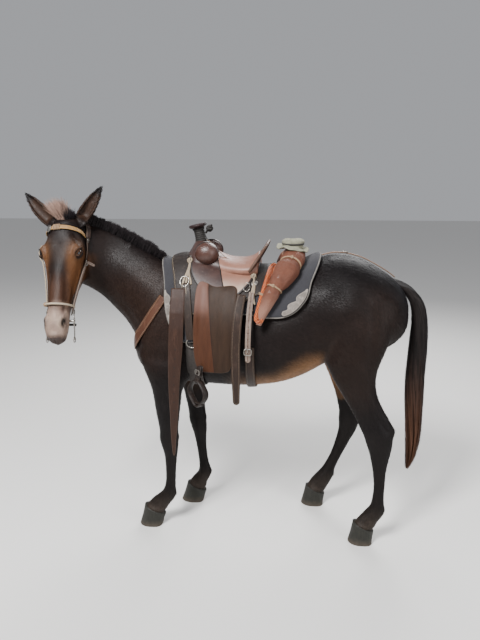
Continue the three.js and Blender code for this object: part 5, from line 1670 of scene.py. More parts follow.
def leather(
    name, tone, worn, rough=0.5, wear=0.5, edge=None, thread=None, grain=0.0025, stretch=(1, 1, 1), uv="cut",
    crack=0.22, gloss=0.22
):
    """Oiled hide: clouded, rubbed paler on edges, with a fine grain and a row of stitches."""
    made = Paint(name)
    cloud = made.noise(0.045, 4, 0.6, stretch)
    pores = made.noise(grain, 4, 0.7)
    creases = made.node(
        "ShaderNodeTexVoronoi", {"feature": "DISTANCE_TO_EDGE"},
        {"Vector": made.place(stretch), "Scale": 260}, out="Distance"
    )
    rubbed = made.step(made.noise(0.018, 5, 0.7, stretch), 0.50, 0.78)
    dark = tuple(c * 0.55 for c in tone)
    colour = made.blend(cloud, dark, tuple(min(1, c * 1.35) for c in tone))
    colour = made.blend(rubbed * wear, colour, worn)
    height = 0.5 * pores + crack * made.step(creases, 0.0, 0.12)
    inward, along = made.uv(uv)
    rim = made.step(inward, 0.0045, 0.0008)
    colour = made.blend(rim * 0.4, colour, edge or worn)
    if thread:
        row = made.line(inward, 0.0065, 0.0009)
        dash = made.wave(along * 900) > -0.25
        stitch = row * dash
        colour = made.blend(stitch, colour, thread)
        groove_line = made.line(inward, 0.0065, 0.0017)
        height = height + 1.2 * stitch - 0.9 * groove_line
    made.set(
        Base_Color=colour, Roughness=rough - 0.18 * rubbed + 0.16 * cloud, Normal=made.bump(height, 0.0009),
        Specular_IOR_Level=gloss, Coat_Weight=0.05, Coat_Roughness=0.35
    )
    return made.material


pale_leather = leather("worn_pale_leather", (0.15, 0.13, 0.115), (0.36, 0.32, 0.28), 0.7, 0.8)
cord_paint = Paint("binding_cord")
cord_round, cord_along = cord_paint.uv("run")
cord_twist = cord_paint.wave(cord_along * 900 + cord_round * 6.283)
cord_paint.set(
    Base_Color=cord_paint.blend(cord_paint.noise(0.02), (0.06, 0.055, 0.05), (0.26, 0.235, 0.21)),
    Roughness=0.8, Normal=cord_paint.bump(cord_twist, 0.0008),
)
pad_edge = snug.at(pad_loop[:, 0], pad_loop[:, 1], 0.012)[0]
put_tube("pad_binding", "felt", cord_paint.material, pad_edge, 0.0036, 8, True)
corner_draw = np.random.default_rng(91)
for name, x_low, x_high, depth in (("rear", -0.075, 0.046, 0.046), ("front", -0.672, -0.600, 0.030)):
    for s, side_name in ((1, "left"), (-1, "right")):
        band = [
            k for k in range(len(pad_loop))
            if x_low < pad_loop[k, 0] < x_high and pad_loop[k, 1] * s > (0.16 if name == "rear" else 0.20)
        ]
        if name == "front":
            band = [k for k in band if pad_loop[k, 1] * s < 0.40]
        outer = pad_loop[band]
        middle = np.array([-0.28, 0.18 * s])
        way = unit(middle - outer)
        t = np.linspace(0, 1, len(outer))
        reach_in = depth * np.sin(np.pi * np.clip(t, 0.02, 0.98)) ** 0.4 * (
            0.75 + 0.45 * np.abs(np.sin(t * 9 + corner_draw.uniform(0, 3)))
        )
        patch_loop = resample(
            np.concatenate([outer + way * 0.004, (outer + way * reach_in[:, None])[::-1]]), 0.006
        )
        patch = sheet(
            f"pad_corner_{name}_{side_name}", patch_loop, snug, 0.0215, 0.0242, 0.0015, 0.012
        )
        patch.data.materials.append(pale_leather)


# Skirts: two big panels of thick dark leather, stitched along their edges.
# They lie on the pad and are fixed under the saddle's tree.
skirt_outline = rounded_outline([
    [-0.615, 1.560], [-0.612, 1.330], [-0.575, 1.225], [-0.480, 1.180], [-0.350, 1.200], [-0.230, 1.262], [
        -0.130, 1.310
    ], [-0.092, 1.420], [-0.090, 1.560],
])
skirt_leather = leather(
    "skirt_leather", (0.014, 0.0095, 0.008), (0.070, 0.048, 0.038), 0.5, 0.45, (0.16, 0.12, 0.09),
    (0.30, 0.24, 0.17)
)
skirt = sheet("skirt", over_back(skirt_outline), snug, 0.0250, 0.0316, 0.004, 0.011)
skirt.data.materials.append(skirt_leather)
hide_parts("saddle_skirt")


# Seat: soft leather drawn over a padded tree, sewn to the side jockeys that spread over the skirts.
# It is rubbed to a pinkish tan, and stays dark forward of the seam.
seat_outline = rounded_outline([
    [-0.548, 1.560], [-0.542, 1.400], [-0.505, 1.325], [-0.435, 1.262], [-0.334, 1.250], [-0.262, 1.290], [
        -0.216, 1.345
    ], [-0.196, 1.410], [-0.190, 1.560],
])
seat_paint = Paint("seat_leather")
seat_x, _, seat_z = seat_paint.axes()
seam_at = seat_x - origin_shift[0] + 0.345 + 0.33 * (seat_z - 1.26)
behind = seat_paint.step(seam_at, -0.0015, 0.0015)
seam_line = seat_paint.line(seam_at, 0.0, 0.0028)
cloud = seat_paint.noise(0.05, 4, 0.6)
pores = seat_paint.noise(0.0028, 4, 0.7)
front_tone = seat_paint.blend(cloud, (0.014, 0.0085, 0.0095), (0.062, 0.030, 0.023))
rear_tone = seat_paint.blend(cloud, (0.125, 0.048, 0.030), (0.27, 0.135, 0.095))
rear_tone = seat_paint.blend(
    seat_paint.step(seat_z + 0.05 * cloud, 1.40, 1.31), rear_tone, (0.43, 0.34, 0.27)
)
seat_tone = seat_paint.blend(behind, front_tone, rear_tone)
seat_tone = seat_paint.blend(
    seat_paint.step(seat_paint.noise(0.012, 5, 0.7), 0.55, 0.8) * 0.22, seat_tone, (0.36, 0.27, 0.22)
)
seat_inward = seat_paint.uv("cut")[0]
seat_rim = seat_paint.step(seat_inward, 0.011, 0.009)
seat_tone = seat_paint.blend(seat_rim, seat_tone, (0.018, 0.013, 0.012))
seat_tone = seat_paint.blend(seam_line, seat_tone, (0.010, 0.008, 0.008))
seat_paint.set(
    Base_Color=seat_tone, Roughness=0.36 + 0.18 * cloud, Specular_IOR_Level=0.3,
    Coat_Weight=0.10, Coat_Roughness=0.3,
    Normal=seat_paint.bump(0.5 * pores + cloud - 2.5 * seam_line, 0.0012),
)
jockey = sheet("side_jockeys", over_back(seat_outline), snug, 0.0320, 0.0386, 0.0045, 0.010)
jockey.data.materials.append(seat_paint.material)
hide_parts("saddle_seat")
seat_rows = smooth_rows(
    [
        [-0.556, 1.478, 0.060], [-0.530, 1.522, 0.104], [-0.498, 1.532, 0.116], [-0.462, 1.520, 0.112], [
            -0.425, 1.480, 0.120
        ],
        [-0.360, 1.450, 0.140], [-0.290, 1.443, 0.158], [-0.240, 1.454, 0.164], [-0.206, 1.478, 0.150],
    ],
    6,
)
seat_middle, seat_sides = 1.390, 64
seat_verts, seat_faces = loft([
    ring((x, 0, seat_middle), (0, 1, 0), (0, 0, 1), wide, top - seat_middle, 0.045, seat_sides, 0.9, 1)
    for x, top, wide in seat_rows
])
# the seat swells smoothly out of the jockeys: nowhere does it dip under them but at its own rim
over = np.linspace(-0.30, 0.30, 241)
for ring_start in range(0, len(seat_verts), seat_sides):
    one = seat_verts[ring_start : ring_start + seat_sides]
    jockey_line = snug.at(one[0, 0], over, 0.0386)[0]
    order = np.argsort(jockey_line[:, 1])
    under = np.interp(one[:, 1], jockey_line[order, 1], jockey_line[order, 2]) + 0.003
    raised = 0.5 * (one[:, 2] + under + np.sqrt((one[:, 2] - under) ** 2 + 0.010**2))
    share = fade(one[:, 2], 1.388, 1.410)
    one[:, 2] += (raised - one[:, 2]) * share
seat_tree = BVHTree.FromPolygons(seat_verts.tolist(), seat_faces)
seat = new_piece("seat_body", seat_verts, seat_faces)
put_uv(seat, "cut", np.tile([0.05, 0.0], (len(seat_verts), 1)))
seat.data.materials.append(seat_paint.material)
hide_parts("saddle_seat")
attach(seat, "root")
seam_points = []
for t in np.linspace(-0.30, 0.30, 61):
    place = np.array([-0.36, 0, 0])
    for _ in range(5):
        place = snug.at(place[0], t, 0.0392)[0]
        hit = seat_tree.ray_cast(Vector((place[0], place[1], 1.8)), Vector((0, 0, -1)))[0]
        place[2] = max(place[2], hit.z + 0.0006 if hit else 0)
        place[0] = -0.345 - 0.33 * (place[2] - 1.26)
    seam_points.append(place)
seam_points = np.array(seam_points)
for _ in range(3):
    seam_points[1:-1] = (seam_points[1:-1] * 2 + seam_points[:-2] + seam_points[2:]) / 4
dark_welt = leather("dark_welt", (0.014, 0.010, 0.009), (0.05, 0.035, 0.03), 0.5, 0.3, uv="run")
put_tube("seat_seam", "leather_dark", dark_welt, seam_points, 0.0024, 8)


# Pommel: a pair of hard swells of stuffed glossy leather, fixed to the fork.
# Each is closed by a welt of dark leather round its rim.
swell_leather = leather(
    "pommel_leather", (0.050, 0.020, 0.014), (0.155, 0.085, 0.066), 0.27, 0.4, grain=0.004, crack=0.15,
    gloss=0.5
)
for name, s in (("left", -1), ("right", 1)):
    centre = np.array([-0.464, s * 0.094, 1.470])
    verts, faces = ball(centre, np.eye(3), np.array([0.059, 0.050, 0.055]), 56)
    d = verts - centre
    verts = verts + d * (0.04 * np.sin(d[:, :1] * 40))
    roll = new_piece("pommel_swell_" + name, verts, faces)
    put_uv(roll, "cut", np.tile([0.05, 0.0], (len(verts), 1)))
    roll.data.materials.append(swell_leather)
    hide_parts("bucking_roll_" + name)
    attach(roll, "root")
    a = np.linspace(0, 2 * np.pi, 49)[:-1]
    welt = centre + np.stack([0.0585 * np.cos(a), s * (-0.010 - 0.004 * np.sin(a)), 0.0545 * np.sin(a)], 1)
    put_tube("pommel_welt_" + name, "leather_dark", dark_welt, welt, 0.0030, 8, True)


# Horn: a steel post set in the fork, wrapped in black rubber strip, under a flat leather cap.
# The strip's end is knotted behind the post, and a thong hangs from the fork.
horn_foot = np.array([-0.496, 0, 1.500])
horn_tilt = Matrix.Rotation(math.radians(-14), 3, "Y")
horn_axes = np.array(horn_tilt)


def on_horn(p):
    return horn_foot + np.asarray(p, float) @ horn_axes.T


rubber = Paint("black_wrap")
wrap_round, wrap_along = rubber.uv("run")
wrap_rib = rubber.wave(wrap_along * 600 + wrap_round * 6.283)
rubber.set(
    Base_Color=rubber.blend(rubber.noise(0.006), (0.006, 0.006, 0.006), (0.035, 0.031, 0.028)), Roughness=0.6,
    Specular_IOR_Level=0.2, Normal=rubber.bump(wrap_rib + rubber.noise(0.003), 0.0014)
)
a = turns(48)
horn_rings = []
for h_up in np.linspace(0.012, 0.090, 40):
    radius = np.interp(h_up, [0, 0.026, 0.048, 0.078, 0.092], [0.036, 0.031, 0.026, 0.025, 0.031])
    coil = (h_up / 0.011 + a / (2 * np.pi)) % 1
    radius = radius + 0.0032 * np.sqrt(np.maximum(0, 1 - (2 * coil - 1) ** 2)) - 0.001
    horn_rings.append(on_horn(np.stack([radius * np.cos(a), radius * np.sin(a), np.full(48, h_up)], 1)))
verts, faces = loft(horn_rings)
horn = new_piece("horn_wrap", verts, faces)
put_uv(horn, "run", np.stack([np.tile(a / (2 * np.pi), 40), np.repeat(np.linspace(0, 0.08, 40), 48)], 1))
horn.data.materials.append(rubber.material)
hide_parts("saddle_horn")
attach(horn, "root")
cap_profile = [
    (0.024, 0.086), (0.034, 0.093), (0.0445, 0.0985), (0.0462, 0.1020), (0.0462, 0.1060), (0.0448, 0.1100),
    (0.040, 0.1122), (0.020, 0.1130), (0.003, 0.1132)
]
verts, faces = loft(
    [on_horn(np.stack([r * 0.98 * np.cos(a), r * np.sin(a), np.full(48, t)], 1)) for r, t in cap_profile]
)
cap = new_piece("horn_cap", verts, faces)
put_uv(cap, "cut", np.tile([0.05, 0.0], (len(verts), 1)))
cap.data.materials.append(
    leather("horn_cap_leather", (0.016, 0.0075, 0.0075), (0.075, 0.035, 0.032), 0.42, 0.4)
)
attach(cap, "root")
knot_centre = np.array([-0.459, -0.012, 1.588])
verts, faces = ball(knot_centre, np.eye(3), np.array([0.0165, 0.0130, 0.0155]), 32)
knob = new_piece("horn_knob", verts, faces)
put_uv(knob, "run", np.stack([verts[:, 2] * 20, verts[:, 0] * 0.6], 1))
knob.data.materials.append(rubber.material)
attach(knob, "root")
for k, (turn_x, turn_z, size) in enumerate(
    ((0.3, 0.2, 0.0125), (1.5, 0.6, 0.0120), (0.8, 1.7, 0.0115), (2.3, 1.1, 0.0105))
):
    turned_ring = np.array(Matrix.Rotation(turn_z, 3, "Z") @ Matrix.Rotation(turn_x, 3, "X"))
    loop_points = knot_centre + np.stack(
        [size * np.cos(a), size * np.sin(a), 0.002 * np.sin(3 * a)], 1
    ) @ turned_ring.T
    put_tube(f"horn_knot_{k + 1}", "leather_dark", rubber.material, loop_points, 0.0062, 8, True)
put_tube(
    "horn_knot_end", "leather_dark", rubber.material,
    smooth_rows(
        [[-0.478, -0.010, 1.566], [-0.470, -0.016, 1.578], [-0.455, -0.022, 1.594], [-0.447, -0.02, 1.606]], 5
    ),
    0.0055, 8
)
thong_leather = leather("thong_leather", (0.10, 0.060, 0.038), (0.30, 0.22, 0.16), 0.6, 0.6, uv="run")
put_tube(
    "pommel_thong", "leather", thong_leather,
    smooth_rows(
        [
            [-0.470, -0.030, 1.532], [-0.440, -0.040, 1.515], [-0.405, -0.052, 1.478],
            [-0.375, -0.062, 1.452], [-0.350, -0.070, 1.440]
        ],
        6
    ),
    0.0042, 8, squash=0.45
)


# Cantle: a board of wood covered with dark leather, standing at the back of the seat and leaning back.
# A rolled leather binding is sewn along its rim.
cantle_turn = math.radians(33)
cantle_back = np.array([math.sin(cantle_turn), 0, math.cos(cantle_turn)])
cantle_face = np.array([-math.cos(cantle_turn), 0, math.sin(cantle_turn)])
cantle_foot = np.array([-0.228, 0, 1.420])


def on_cantle(across, up, forward=0.0):
    across, up = np.asarray(across, float), np.asarray(up, float)
    return (
        cantle_foot + across[..., None] * np.array([0, 1, 0]) + up[..., None] * cantle_back
        + np.asarray(forward)[..., None] * cantle_face
    )


rings = []
for phi in np.linspace(0.02, np.pi - 0.02, 61):
    rim = np.array([0.174 * math.cos(phi), -0.030 + 0.158 * math.sin(phi) ** 0.9])
    t = np.concatenate([np.linspace(0.0, 1.0, 14), np.linspace(1.0, 0.0, 14)])
    thick = np.concatenate([np.full(14, 1.0), np.full(14, -1.0)]) * (
        0.0045 + 0.0055 * np.sqrt(np.maximum(0, 1 - t**8))
    )
    bow = 0.010 * (1 - t**2)
    centre = np.array([0.0, -0.030])
    spot = centre + (rim - centre) * t[:, None]
    rings.append(on_cantle(spot[:, 0], spot[:, 1], thick - bow * 0.6))
verts, faces = loft(rings)
cantle = new_piece("cantle_board", verts, faces)
put_uv(cantle, "cut", np.tile([0.05, 0.0], (len(verts), 1)))
cantle_leather = leather(
    "cantle_leather", (0.036, 0.016, 0.010), (0.10, 0.055, 0.038), 0.45, 0.45, stretch=(1, 1, 0.4)
)
cantle.data.materials.append(cantle_leather)
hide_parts("saddle_cantle")
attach(cantle, "root")
phi = np.linspace(0.0, np.pi, 60)
binding_line = on_cantle(0.171 * np.cos(phi), -0.030 + 0.156 * np.sin(phi) ** 0.9, 0.0)
put_tube(
    "cantle_binding", "leather",
    leather("cantle_binding_leather", (0.075, 0.040, 0.027), (0.22, 0.14, 0.10), 0.42, 0.5, uv="run"),
    binding_line, 0.0075, 12
)


# Fenders: long flaps of thick leather that hang from the tree, over the stirrup straps.
# They are reddish in front of the fold, where the leg has rubbed them, and darker behind it.
fender_outline = rounded_outline([
    [-0.482, 1.318], [-0.400, 1.300], [-0.306, 1.300], [-0.292, 1.250], [-0.300, 1.080], [-0.312, 0.960],
    [-0.336, 0.930], [-0.400, 0.924], [-0.466, 0.932], [-0.492, 1.010], [-0.494, 1.200],
])
fender_paint = Paint("fender_leather")
fender_x, _, fender_z = fender_paint.axes()
fold_at = fender_x - origin_shift[0] + 0.413 + 0.09 * (fender_z - 1.1)
streak = fender_paint.noise(0.02, 5, 0.7, (1, 1, 0.16))
cloud = fender_paint.noise(0.06, 4, 0.6)
red = fender_paint.blend(streak, (0.022, 0.0080, 0.0044), (0.078, 0.029, 0.0135))
dull = fender_paint.blend(streak, (0.010, 0.0055, 0.0035), (0.040, 0.021, 0.012))
fender_tone = fender_paint.blend(fender_paint.step(fold_at, -0.006, 0.006), red, dull)
rubbed_top = fender_paint.step(fender_z + 0.05 * cloud, 1.20, 1.28) * fender_paint.step(fold_at, 0.0, -0.012)
fender_tone = fender_paint.blend(rubbed_top * 0.7, fender_tone, (0.15, 0.082, 0.066))
fender_inward = fender_paint.uv("cut")[0]
fender_tone = fender_paint.blend(
    fender_paint.step(fender_inward, 0.005, 0.001) * 0.5, fender_tone, (0.09, 0.052, 0.034)
)
# Painted shade: a dark line is painted along the crease of the fold.
fold_shade_line = fender_paint.line(fold_at, 0.0, 0.0020)
fender_tone = fender_paint.blend(fold_shade_line * 0.8, fender_tone, (0.014, 0.009, 0.007))
fender_paint.set(
    Base_Color=fender_tone, Roughness=0.45 + 0.2 * cloud, Specular_IOR_Level=0.16,
    Normal=fender_paint.bump(streak + 0.5 * fender_paint.noise(0.0025, 4, 0.7) - 1.5 * fold_shade_line, 0.0011),
)


def fender_roll(flat, apart):
    return (
        0.010 * np.exp(-(((flat[:, 0] + 0.452) / 0.026) ** 2))
        + 0.004 * np.exp(-(((flat[:, 0] + 0.345) / 0.03) ** 2))
    ) * fade(apart, 0.0, 0.03)


for side_name, s in (("left", 1), ("right", -1)):
    fender = sheet(
        "fender_flap_" + side_name, on_side(fender_outline, s, hanging), hanging, 0.0398, 0.0456,
        0.004, 0.009, fender_roll
    )
    fender.data.materials.append(fender_paint.material)
    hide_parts("fender_" + side_name)


# Stirrups: bent wooden oxbows wrapped in dark leather, with a thick tread.
# Each hangs on a doubled strap closed by a keeper and a steel buckle, and is turned outward.
stirrup_leather = leather(
    "stirrup_leather", (0.012, 0.0075, 0.006), (0.070, 0.048, 0.035), 0.42, 0.45, uv="run"
)
steel = Paint("worn_steel")
tarnish = steel.step(steel.noise(0.006, 4, 0.7), 0.45, 0.7)
steel.set(
    Base_Color=steel.blend(tarnish, (0.36, 0.34, 0.31), (0.11, 0.09, 0.075)), Metallic=1.0,
    Roughness=0.28 + 0.3 * tarnish, Normal=steel.bump(tarnish, 0.0004),
)


def lathe(name, paint, centre, axis, profile, sides=32):
    """A turned piece: profile is radius and height along the axis."""
    axis = unit(np.asarray(axis, float))
    side = unit(np.cross(axis, [0.3, 0.1, 0.95] if abs(axis[2]) < 0.9 else [1, 0, 0]))
    up = np.cross(axis, side)
    a = turns(sides)
    rings = [
        np.asarray(centre) + r * (np.cos(a)[:, None] * side + np.sin(a)[:, None] * up) + h * axis
        for r, h in profile
    ]
    verts, faces = loft(rings)
    piece = new_piece(name, verts, faces)
    piece.data.materials.append(paint)
    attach(piece, "root")
    return piece


def buckle(name, centre, along, out, wide, long, wire=0.0017):
    """A wire frame and tongue; along is the strap's way, out is away from the strap."""
    along, out = unit(np.asarray(along, float)), unit(np.asarray(out, float))
    across = np.cross(out, along)
    corners = []
    for k in range(32):
        t = 2 * np.pi * k / 32
        c, s = math.cos(t), math.sin(t)
        corners.append(
            centre + across * wide / 2 * math.copysign(abs(c) ** 0.5, c)
            + along * long / 2 * math.copysign(abs(s) ** 0.5, s) + out * 0.002
        )
    put_tube(name, "steel", steel.material, corners, wire, 8, True)
    put_tube(
        name + "_tongue", "steel", steel.material,
        [
            centre - along * long * 0.05 + out * 0.0035, centre + along * long * 0.3 + out * 0.0045,
            centre + along * (long * 0.54) + out * 0.0035
        ],
        wire * 0.8, 6
    )


for side_name, s in (("left", -1), ("right", 1)):
    turn = math.radians(42) * s
    flat = np.array([math.cos(turn), math.sin(turn), 0.0])
    out = np.array([-math.sin(turn), math.cos(turn), 0.0])
    middle = np.array([-0.474, 0.338 * s, 0.832])
    t = turns(64)
    squarer = 1 + 0.06 * np.cos(4 * t)
    loop_line = middle + (
        0.0575 * np.sin(t) * (1 + 0.12 * np.cos(t)) * squarer
    )[:, None] * flat + (0.0605 * np.cos(t) * squarer)[:, None] * [0, 0, 1]
    verts, faces, pairs = tube(loop_line, 0.0062, 12, True)
    d = (verts - middle) @ out
    verts = verts + (d * 1.7)[:, None] * out
    stirrup = new_piece("stirrup_bow_" + side_name, verts, faces)
    put_uv(stirrup, "run", pairs)
    stirrup.data.materials.append(stirrup_leather)
    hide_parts("stirrup_" + side_name)
    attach(stirrup, "root")
    rung = [
        middle + flat * u + np.array([0, 0, -0.050 + 0.10 * u * u]) for u in np.linspace(-0.036, 0.036, 9)
    ]
    put_tube("stirrup_tread_" + side_name, "leather_dark", stirrup_leather, rung, 0.0105, 12, squash=0.55)
    hang = smooth_rows(
        [[-0.462, s * 0.330, 0.958], [-0.468, s * 0.338, 0.925], [-0.474, s * 0.338, 0.892]], 6
    )
    for fold, lean in (("a", 0.0052), ("b", -0.0052)):
        line = hang + out * lean
        wide = np.interp(np.linspace(0, 1, len(line)), [0, 0.5, 1], [0.0165, 0.0185, 0.0190])
        put_tube(
            f"stirrup_strap_{side_name}_{fold}", "leather_dark", stirrup_leather, line, wide, 16, squash=0.24,
            across=flat
        )
    keeper_at = hang[7]
    ring_line = [keeper_at + flat * 0.0185 * math.cos(q) + out * 0.0098 * math.sin(q) for q in turns(24)]
    put_tube(
        "stirrup_keeper_" + side_name, "leather_dark", stirrup_leather, ring_line, 0.0030, 8, True, squash=2.2
    )
    buckle("stirrup_buckle_" + side_name, hang[4] + out * s * 0.0105, [0, 0, 1], out * s, 0.030, 0.024)


# Hanging straps: flat cut leather, punched with holes, let down from the rigging rings.
# Each hangs where its solid hangs; the near ones are long and the far ones end at the cinches.
hide_tan = leather(
    "strap_brown", (0.060, 0.022, 0.011), (0.16, 0.080, 0.050), 0.5, 0.45, (0.15, 0.085, 0.052),
    (0.24, 0.16, 0.10), stretch=(1, 1, 0.3)
)
hide_dark = leather(
    "strap_dark", (0.016, 0.009, 0.006), (0.070, 0.042, 0.030), 0.48, 0.45, (0.060, 0.038, 0.025),
    stretch=(1, 1, 0.3)
)
hide_dark_sewn = leather(
    "strap_dark_sewn", (0.020, 0.0105, 0.007), (0.080, 0.046, 0.032), 0.48, 0.45, (0.065, 0.040, 0.027),
    (0.15, 0.11, 0.075), stretch=(1, 1, 0.3)
)
hide_grey = leather(
    "strap_grey_tan", (0.13, 0.085, 0.066), (0.32, 0.25, 0.21), 0.6, 0.7, (0.40, 0.32, 0.27),
    (0.46, 0.40, 0.34), stretch=(1, 1, 0.3)
)
hide_cream = leather("strap_cream", (0.30, 0.235, 0.165), (0.50, 0.43, 0.34), 0.65, 0.6, uv="run")
# Painted shade: each punched hole is a near-black disc of painted shade, not an opening.
hole_shade_paint = Paint("punched_hole_shade")
hole_shade_paint.set(Base_Color=(0.008, 0.006, 0.005), Roughness=0.9)


def strap(name, paint, line, widths, thick, outs=None, node=None, uv="cut", tip=0.5, foot=0.0):
    """A flat strap whose outer face runs along a line; tip and foot say how far its ends are rounded."""
    line = np.asarray(line, float)
    n = len(line)
    length = run_of(line)
    at = np.unique(
        np.concatenate(
            [
                np.linspace(0, length[-1], max(8, int(length[-1] / 0.008))),
                length[-1] - 0.5 * np.max(widths) * (1 - np.cos(np.linspace(0, np.pi / 2, 7)))
            ]
        )
    )
    line = np.stack([np.interp(at, length, line[:, k]) for k in range(3)], 1)
    half = 0.5 * np.interp(
        at, np.linspace(0, length[-1], len(np.atleast_1d(widths))), np.atleast_1d(widths)
    ) if np.ndim(widths) else np.full(len(at), widths / 2)
    for share, left in ((tip, length[-1] - at), (foot, at)):
        if share:
            reach = np.max(half) * 2 * share
            f = np.clip(left / reach, 0, 1)
            half = half * np.sqrt(np.maximum(0.02, 1 - (1 - f) ** 2))
    way = unit(np.gradient(line, axis=0))
    outs = np.asarray(outs, float)
    outs = np.broadcast_to(outs, (n, 3)) if outs.ndim == 1 else outs
    out = np.stack([np.interp(at, length, outs[:, k]) for k in range(3)], 1)
    out = unit(out - way * (out * way).sum(1, keepdims=True))
    across = np.cross(out, way)
    u = np.array([-1, -0.96, -0.8, -0.4, 0, 0.4, 0.8, 0.96, 1])
    d = np.array([-0.5, -0.16, -0.02, 0, 0, 0, -0.02, -0.16, -0.5])
    u_all = np.concatenate([u, u[::-1][1:-1]])
    d_all = np.concatenate([d, (-1 - d)[::-1][1:-1]])
    rings = [
        line[k] + np.outer(u_all * half[k], across[k]) + np.outer(d_all * thick, out[k])
        for k in range(len(at))
    ]
    verts, faces = loft(rings)
    piece = new_piece(name, verts, faces)
    inward = (half[:, None] * (1 - np.abs(u_all))[None])
    inward = np.minimum(inward, np.minimum(at, at[-1] - at)[:, None] + 0.0005)
    put_uv(piece, uv, np.stack([inward.ravel(), np.repeat(at, len(u_all))], 1))
    piece.data.materials.append(paint)
    if node:
        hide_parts(node)
    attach(piece, "root")
    return piece


def punched(name, line, outs, places, radius=0.0022):
    """Holes punched through a strap: small discs of painted shade on its outer face."""
    line, outs = np.asarray(line, float), np.asarray(outs, float)
    outs = np.broadcast_to(outs, line.shape)
    length = run_of(line)
    parts = []
    for place in places:
        centre = np.array([np.interp(place, length, line[:, k]) for k in range(3)])
        out = unit(np.array([np.interp(place, length, outs[:, k]) for k in range(3)]))
        side = unit(np.cross(out, [0.9, 0.1, 0.1]))
        up = np.cross(out, side)
        a = turns(12)
        rim = np.cos(a)[:, None] * side + np.sin(a)[:, None] * up
        parts.append(
            loft(
                [
                    centre + rim * radius - out * 0.001, centre + rim * radius + out * 0.0003,
                    centre + rim * radius * 0.4 + out * 0.0004
                ]
            )
        )
    verts, faces = joined(parts)
    piece = new_piece(name, verts, faces)
    piece.data.materials.append(hole_shade_paint.material)
    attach(piece, "root")


def solid_tree(node):
    """The CAD solid of a node, to find where its outer face lies."""
    thing = bpy.data.objects[node]
    place = thing.matrix_world
    return BVHTree.FromPolygons(
        [place @ v.co for v in thing.data.vertices], [tuple(f.vertices) for f in thing.data.polygons]
    )


def side_line(node, rows, s, steps=8):
    """Places on a hanging solid's outer face for rows of x and z."""
    tree = solid_tree(node)
    rows = smooth_rows(rows, steps)
    line = []
    for x, z in rows:
        for shift in (0, 0.004, -0.004, 0.008, -0.008, 0.014, -0.014):
            hit = tree.ray_cast(
                Vector((x + shift + origin_shift[0], s * 0.9 + origin_shift[1], z)), Vector((0, -s, 0))
            )[0]
            if hit:
                line.append((x, hit.y - origin_shift[1], z))
                break
    return np.array(line)


away = {-1: np.array([0, -1, 0.0]), 1: np.array([0, 1, 0.0])}
latigo_rows = [
    [-0.586, 1.312], [-0.588, 1.200], [-0.592, 1.040], [-0.604, 0.860], [-0.608, 0.680], [-0.613, 0.560],
    [-0.613, 0.468]
]
latigo_line = side_line("latigo_strap", latigo_rows, -1)
strap(
    "latigo",
    leather(
        "latigo_leather", (0.026, 0.0105, 0.006), (0.095, 0.050, 0.034), 0.45, 0.4, (0.070, 0.040, 0.026),
        stretch=(1, 1, 0.25)
    ),
    latigo_line, [0.070, 0.071, 0.070, 0.060, 0.048, 0.034, 0.012], 0.0050, away[-1], "latigo_strap", tip=0.3
)
punched("latigo_holes", latigo_line, away[-1], np.arange(0.30, 0.66, 0.045), 0.0030)
right_line = side_line(
    "latigo_strap_right", [[-0.560, 1.312], [-0.562, 1.200], [-0.560, 1.040], [-0.556, 0.964]], 1
)
strap(
    "latigo_right", hide_dark_sewn, right_line, 0.054, 0.0050, away[1], "latigo_strap_right",
    tip=0.0
)
flank_line = side_line(
    "flank_strap", [[-0.272, 1.298], [-0.286, 1.200], [-0.294, 1.050], [-0.292, 0.900], [-0.290, 0.776]], -1
)
strap(
    "flank_strap_near", hide_dark_sewn, flank_line, [0.040, 0.044, 0.044, 0.044, 0.040, 0.032],
    0.0050, away[-1], "flank_strap", tip=0.35
)
punched("flank_strap_holes", flank_line, away[-1], np.arange(0.30, 0.48, 0.032))
flank_right = side_line(
    "flank_strap_right", [[-0.250, 1.298], [-0.254, 1.200], [-0.256, 1.080], [-0.256, 0.990]], 1
)
strap(
    "flank_strap_off", hide_dark_sewn, flank_right, 0.040, 0.0050, away[1], "flank_strap_right",
    tip=0.0
)
billet_line = side_line(
    "flank_billet", [[-0.226, 1.308], [-0.232, 1.220], [-0.236, 1.100], [-0.236, 0.988]], -1
)
strap(
    "billet", hide_grey, billet_line, [0.024, 0.0255, 0.0255, 0.0245], 0.0045, away[-1],
    "flank_billet"
)
punched("billet_holes", billet_line, away[-1], np.arange(0.05, 0.30, 0.030), 0.0026)
buckle("billet_buckle", billet_line[-6] + [0.0, -0.003, -0.012], [0, 0, 1], away[-1], 0.034, 0.030, 0.0022)

for side_name, s in (("left", 1), ("right", -1)):
    latch = [
        hanging.at(x, hanging.down_to(x, z, s), 0.0385)
        for x, z in ((-0.548, 1.318), (-0.538, 1.260), (-0.527, 1.190), (-0.518, 1.120), (-0.512, 1.072))
    ]
    latch_line = smooth_rows([p for p, n in latch], 6)
    latch_outs = smooth_rows([n for p, n in latch], 6)
    strap(
        "cinch_latigo_" + side_name, hide_dark, latch_line, 0.040, 0.0048, latch_outs, tip=0.0
    )


# Cinches, breast collar and crupper: a corded front cinch and bands of leather that lie round the body.
# Rings and buckles of steel hold them to the saddle's rigging.
around_verts, around_faces = joined([trunk(0), neck(0), leg("fore_left", 0), leg("fore_right", 0)])
body_faces = len(joined([trunk(0), neck(0)])[1])
around_faces = [f for k, f in enumerate(around_faces) if k < body_faces or around_verts[f, 2].mean() > 0.90]
around_tree = BVHTree.FromPolygons(around_verts.tolist(), around_faces)
hub_verts, hub_faces = joined([head(0), neck(0)])
hub_tree = BVHTree.FromPolygons(hub_verts.tolist(), hub_faces)
head_tree = BVHTree.FromPolygons(head(0)[0].tolist(), head(0)[1])


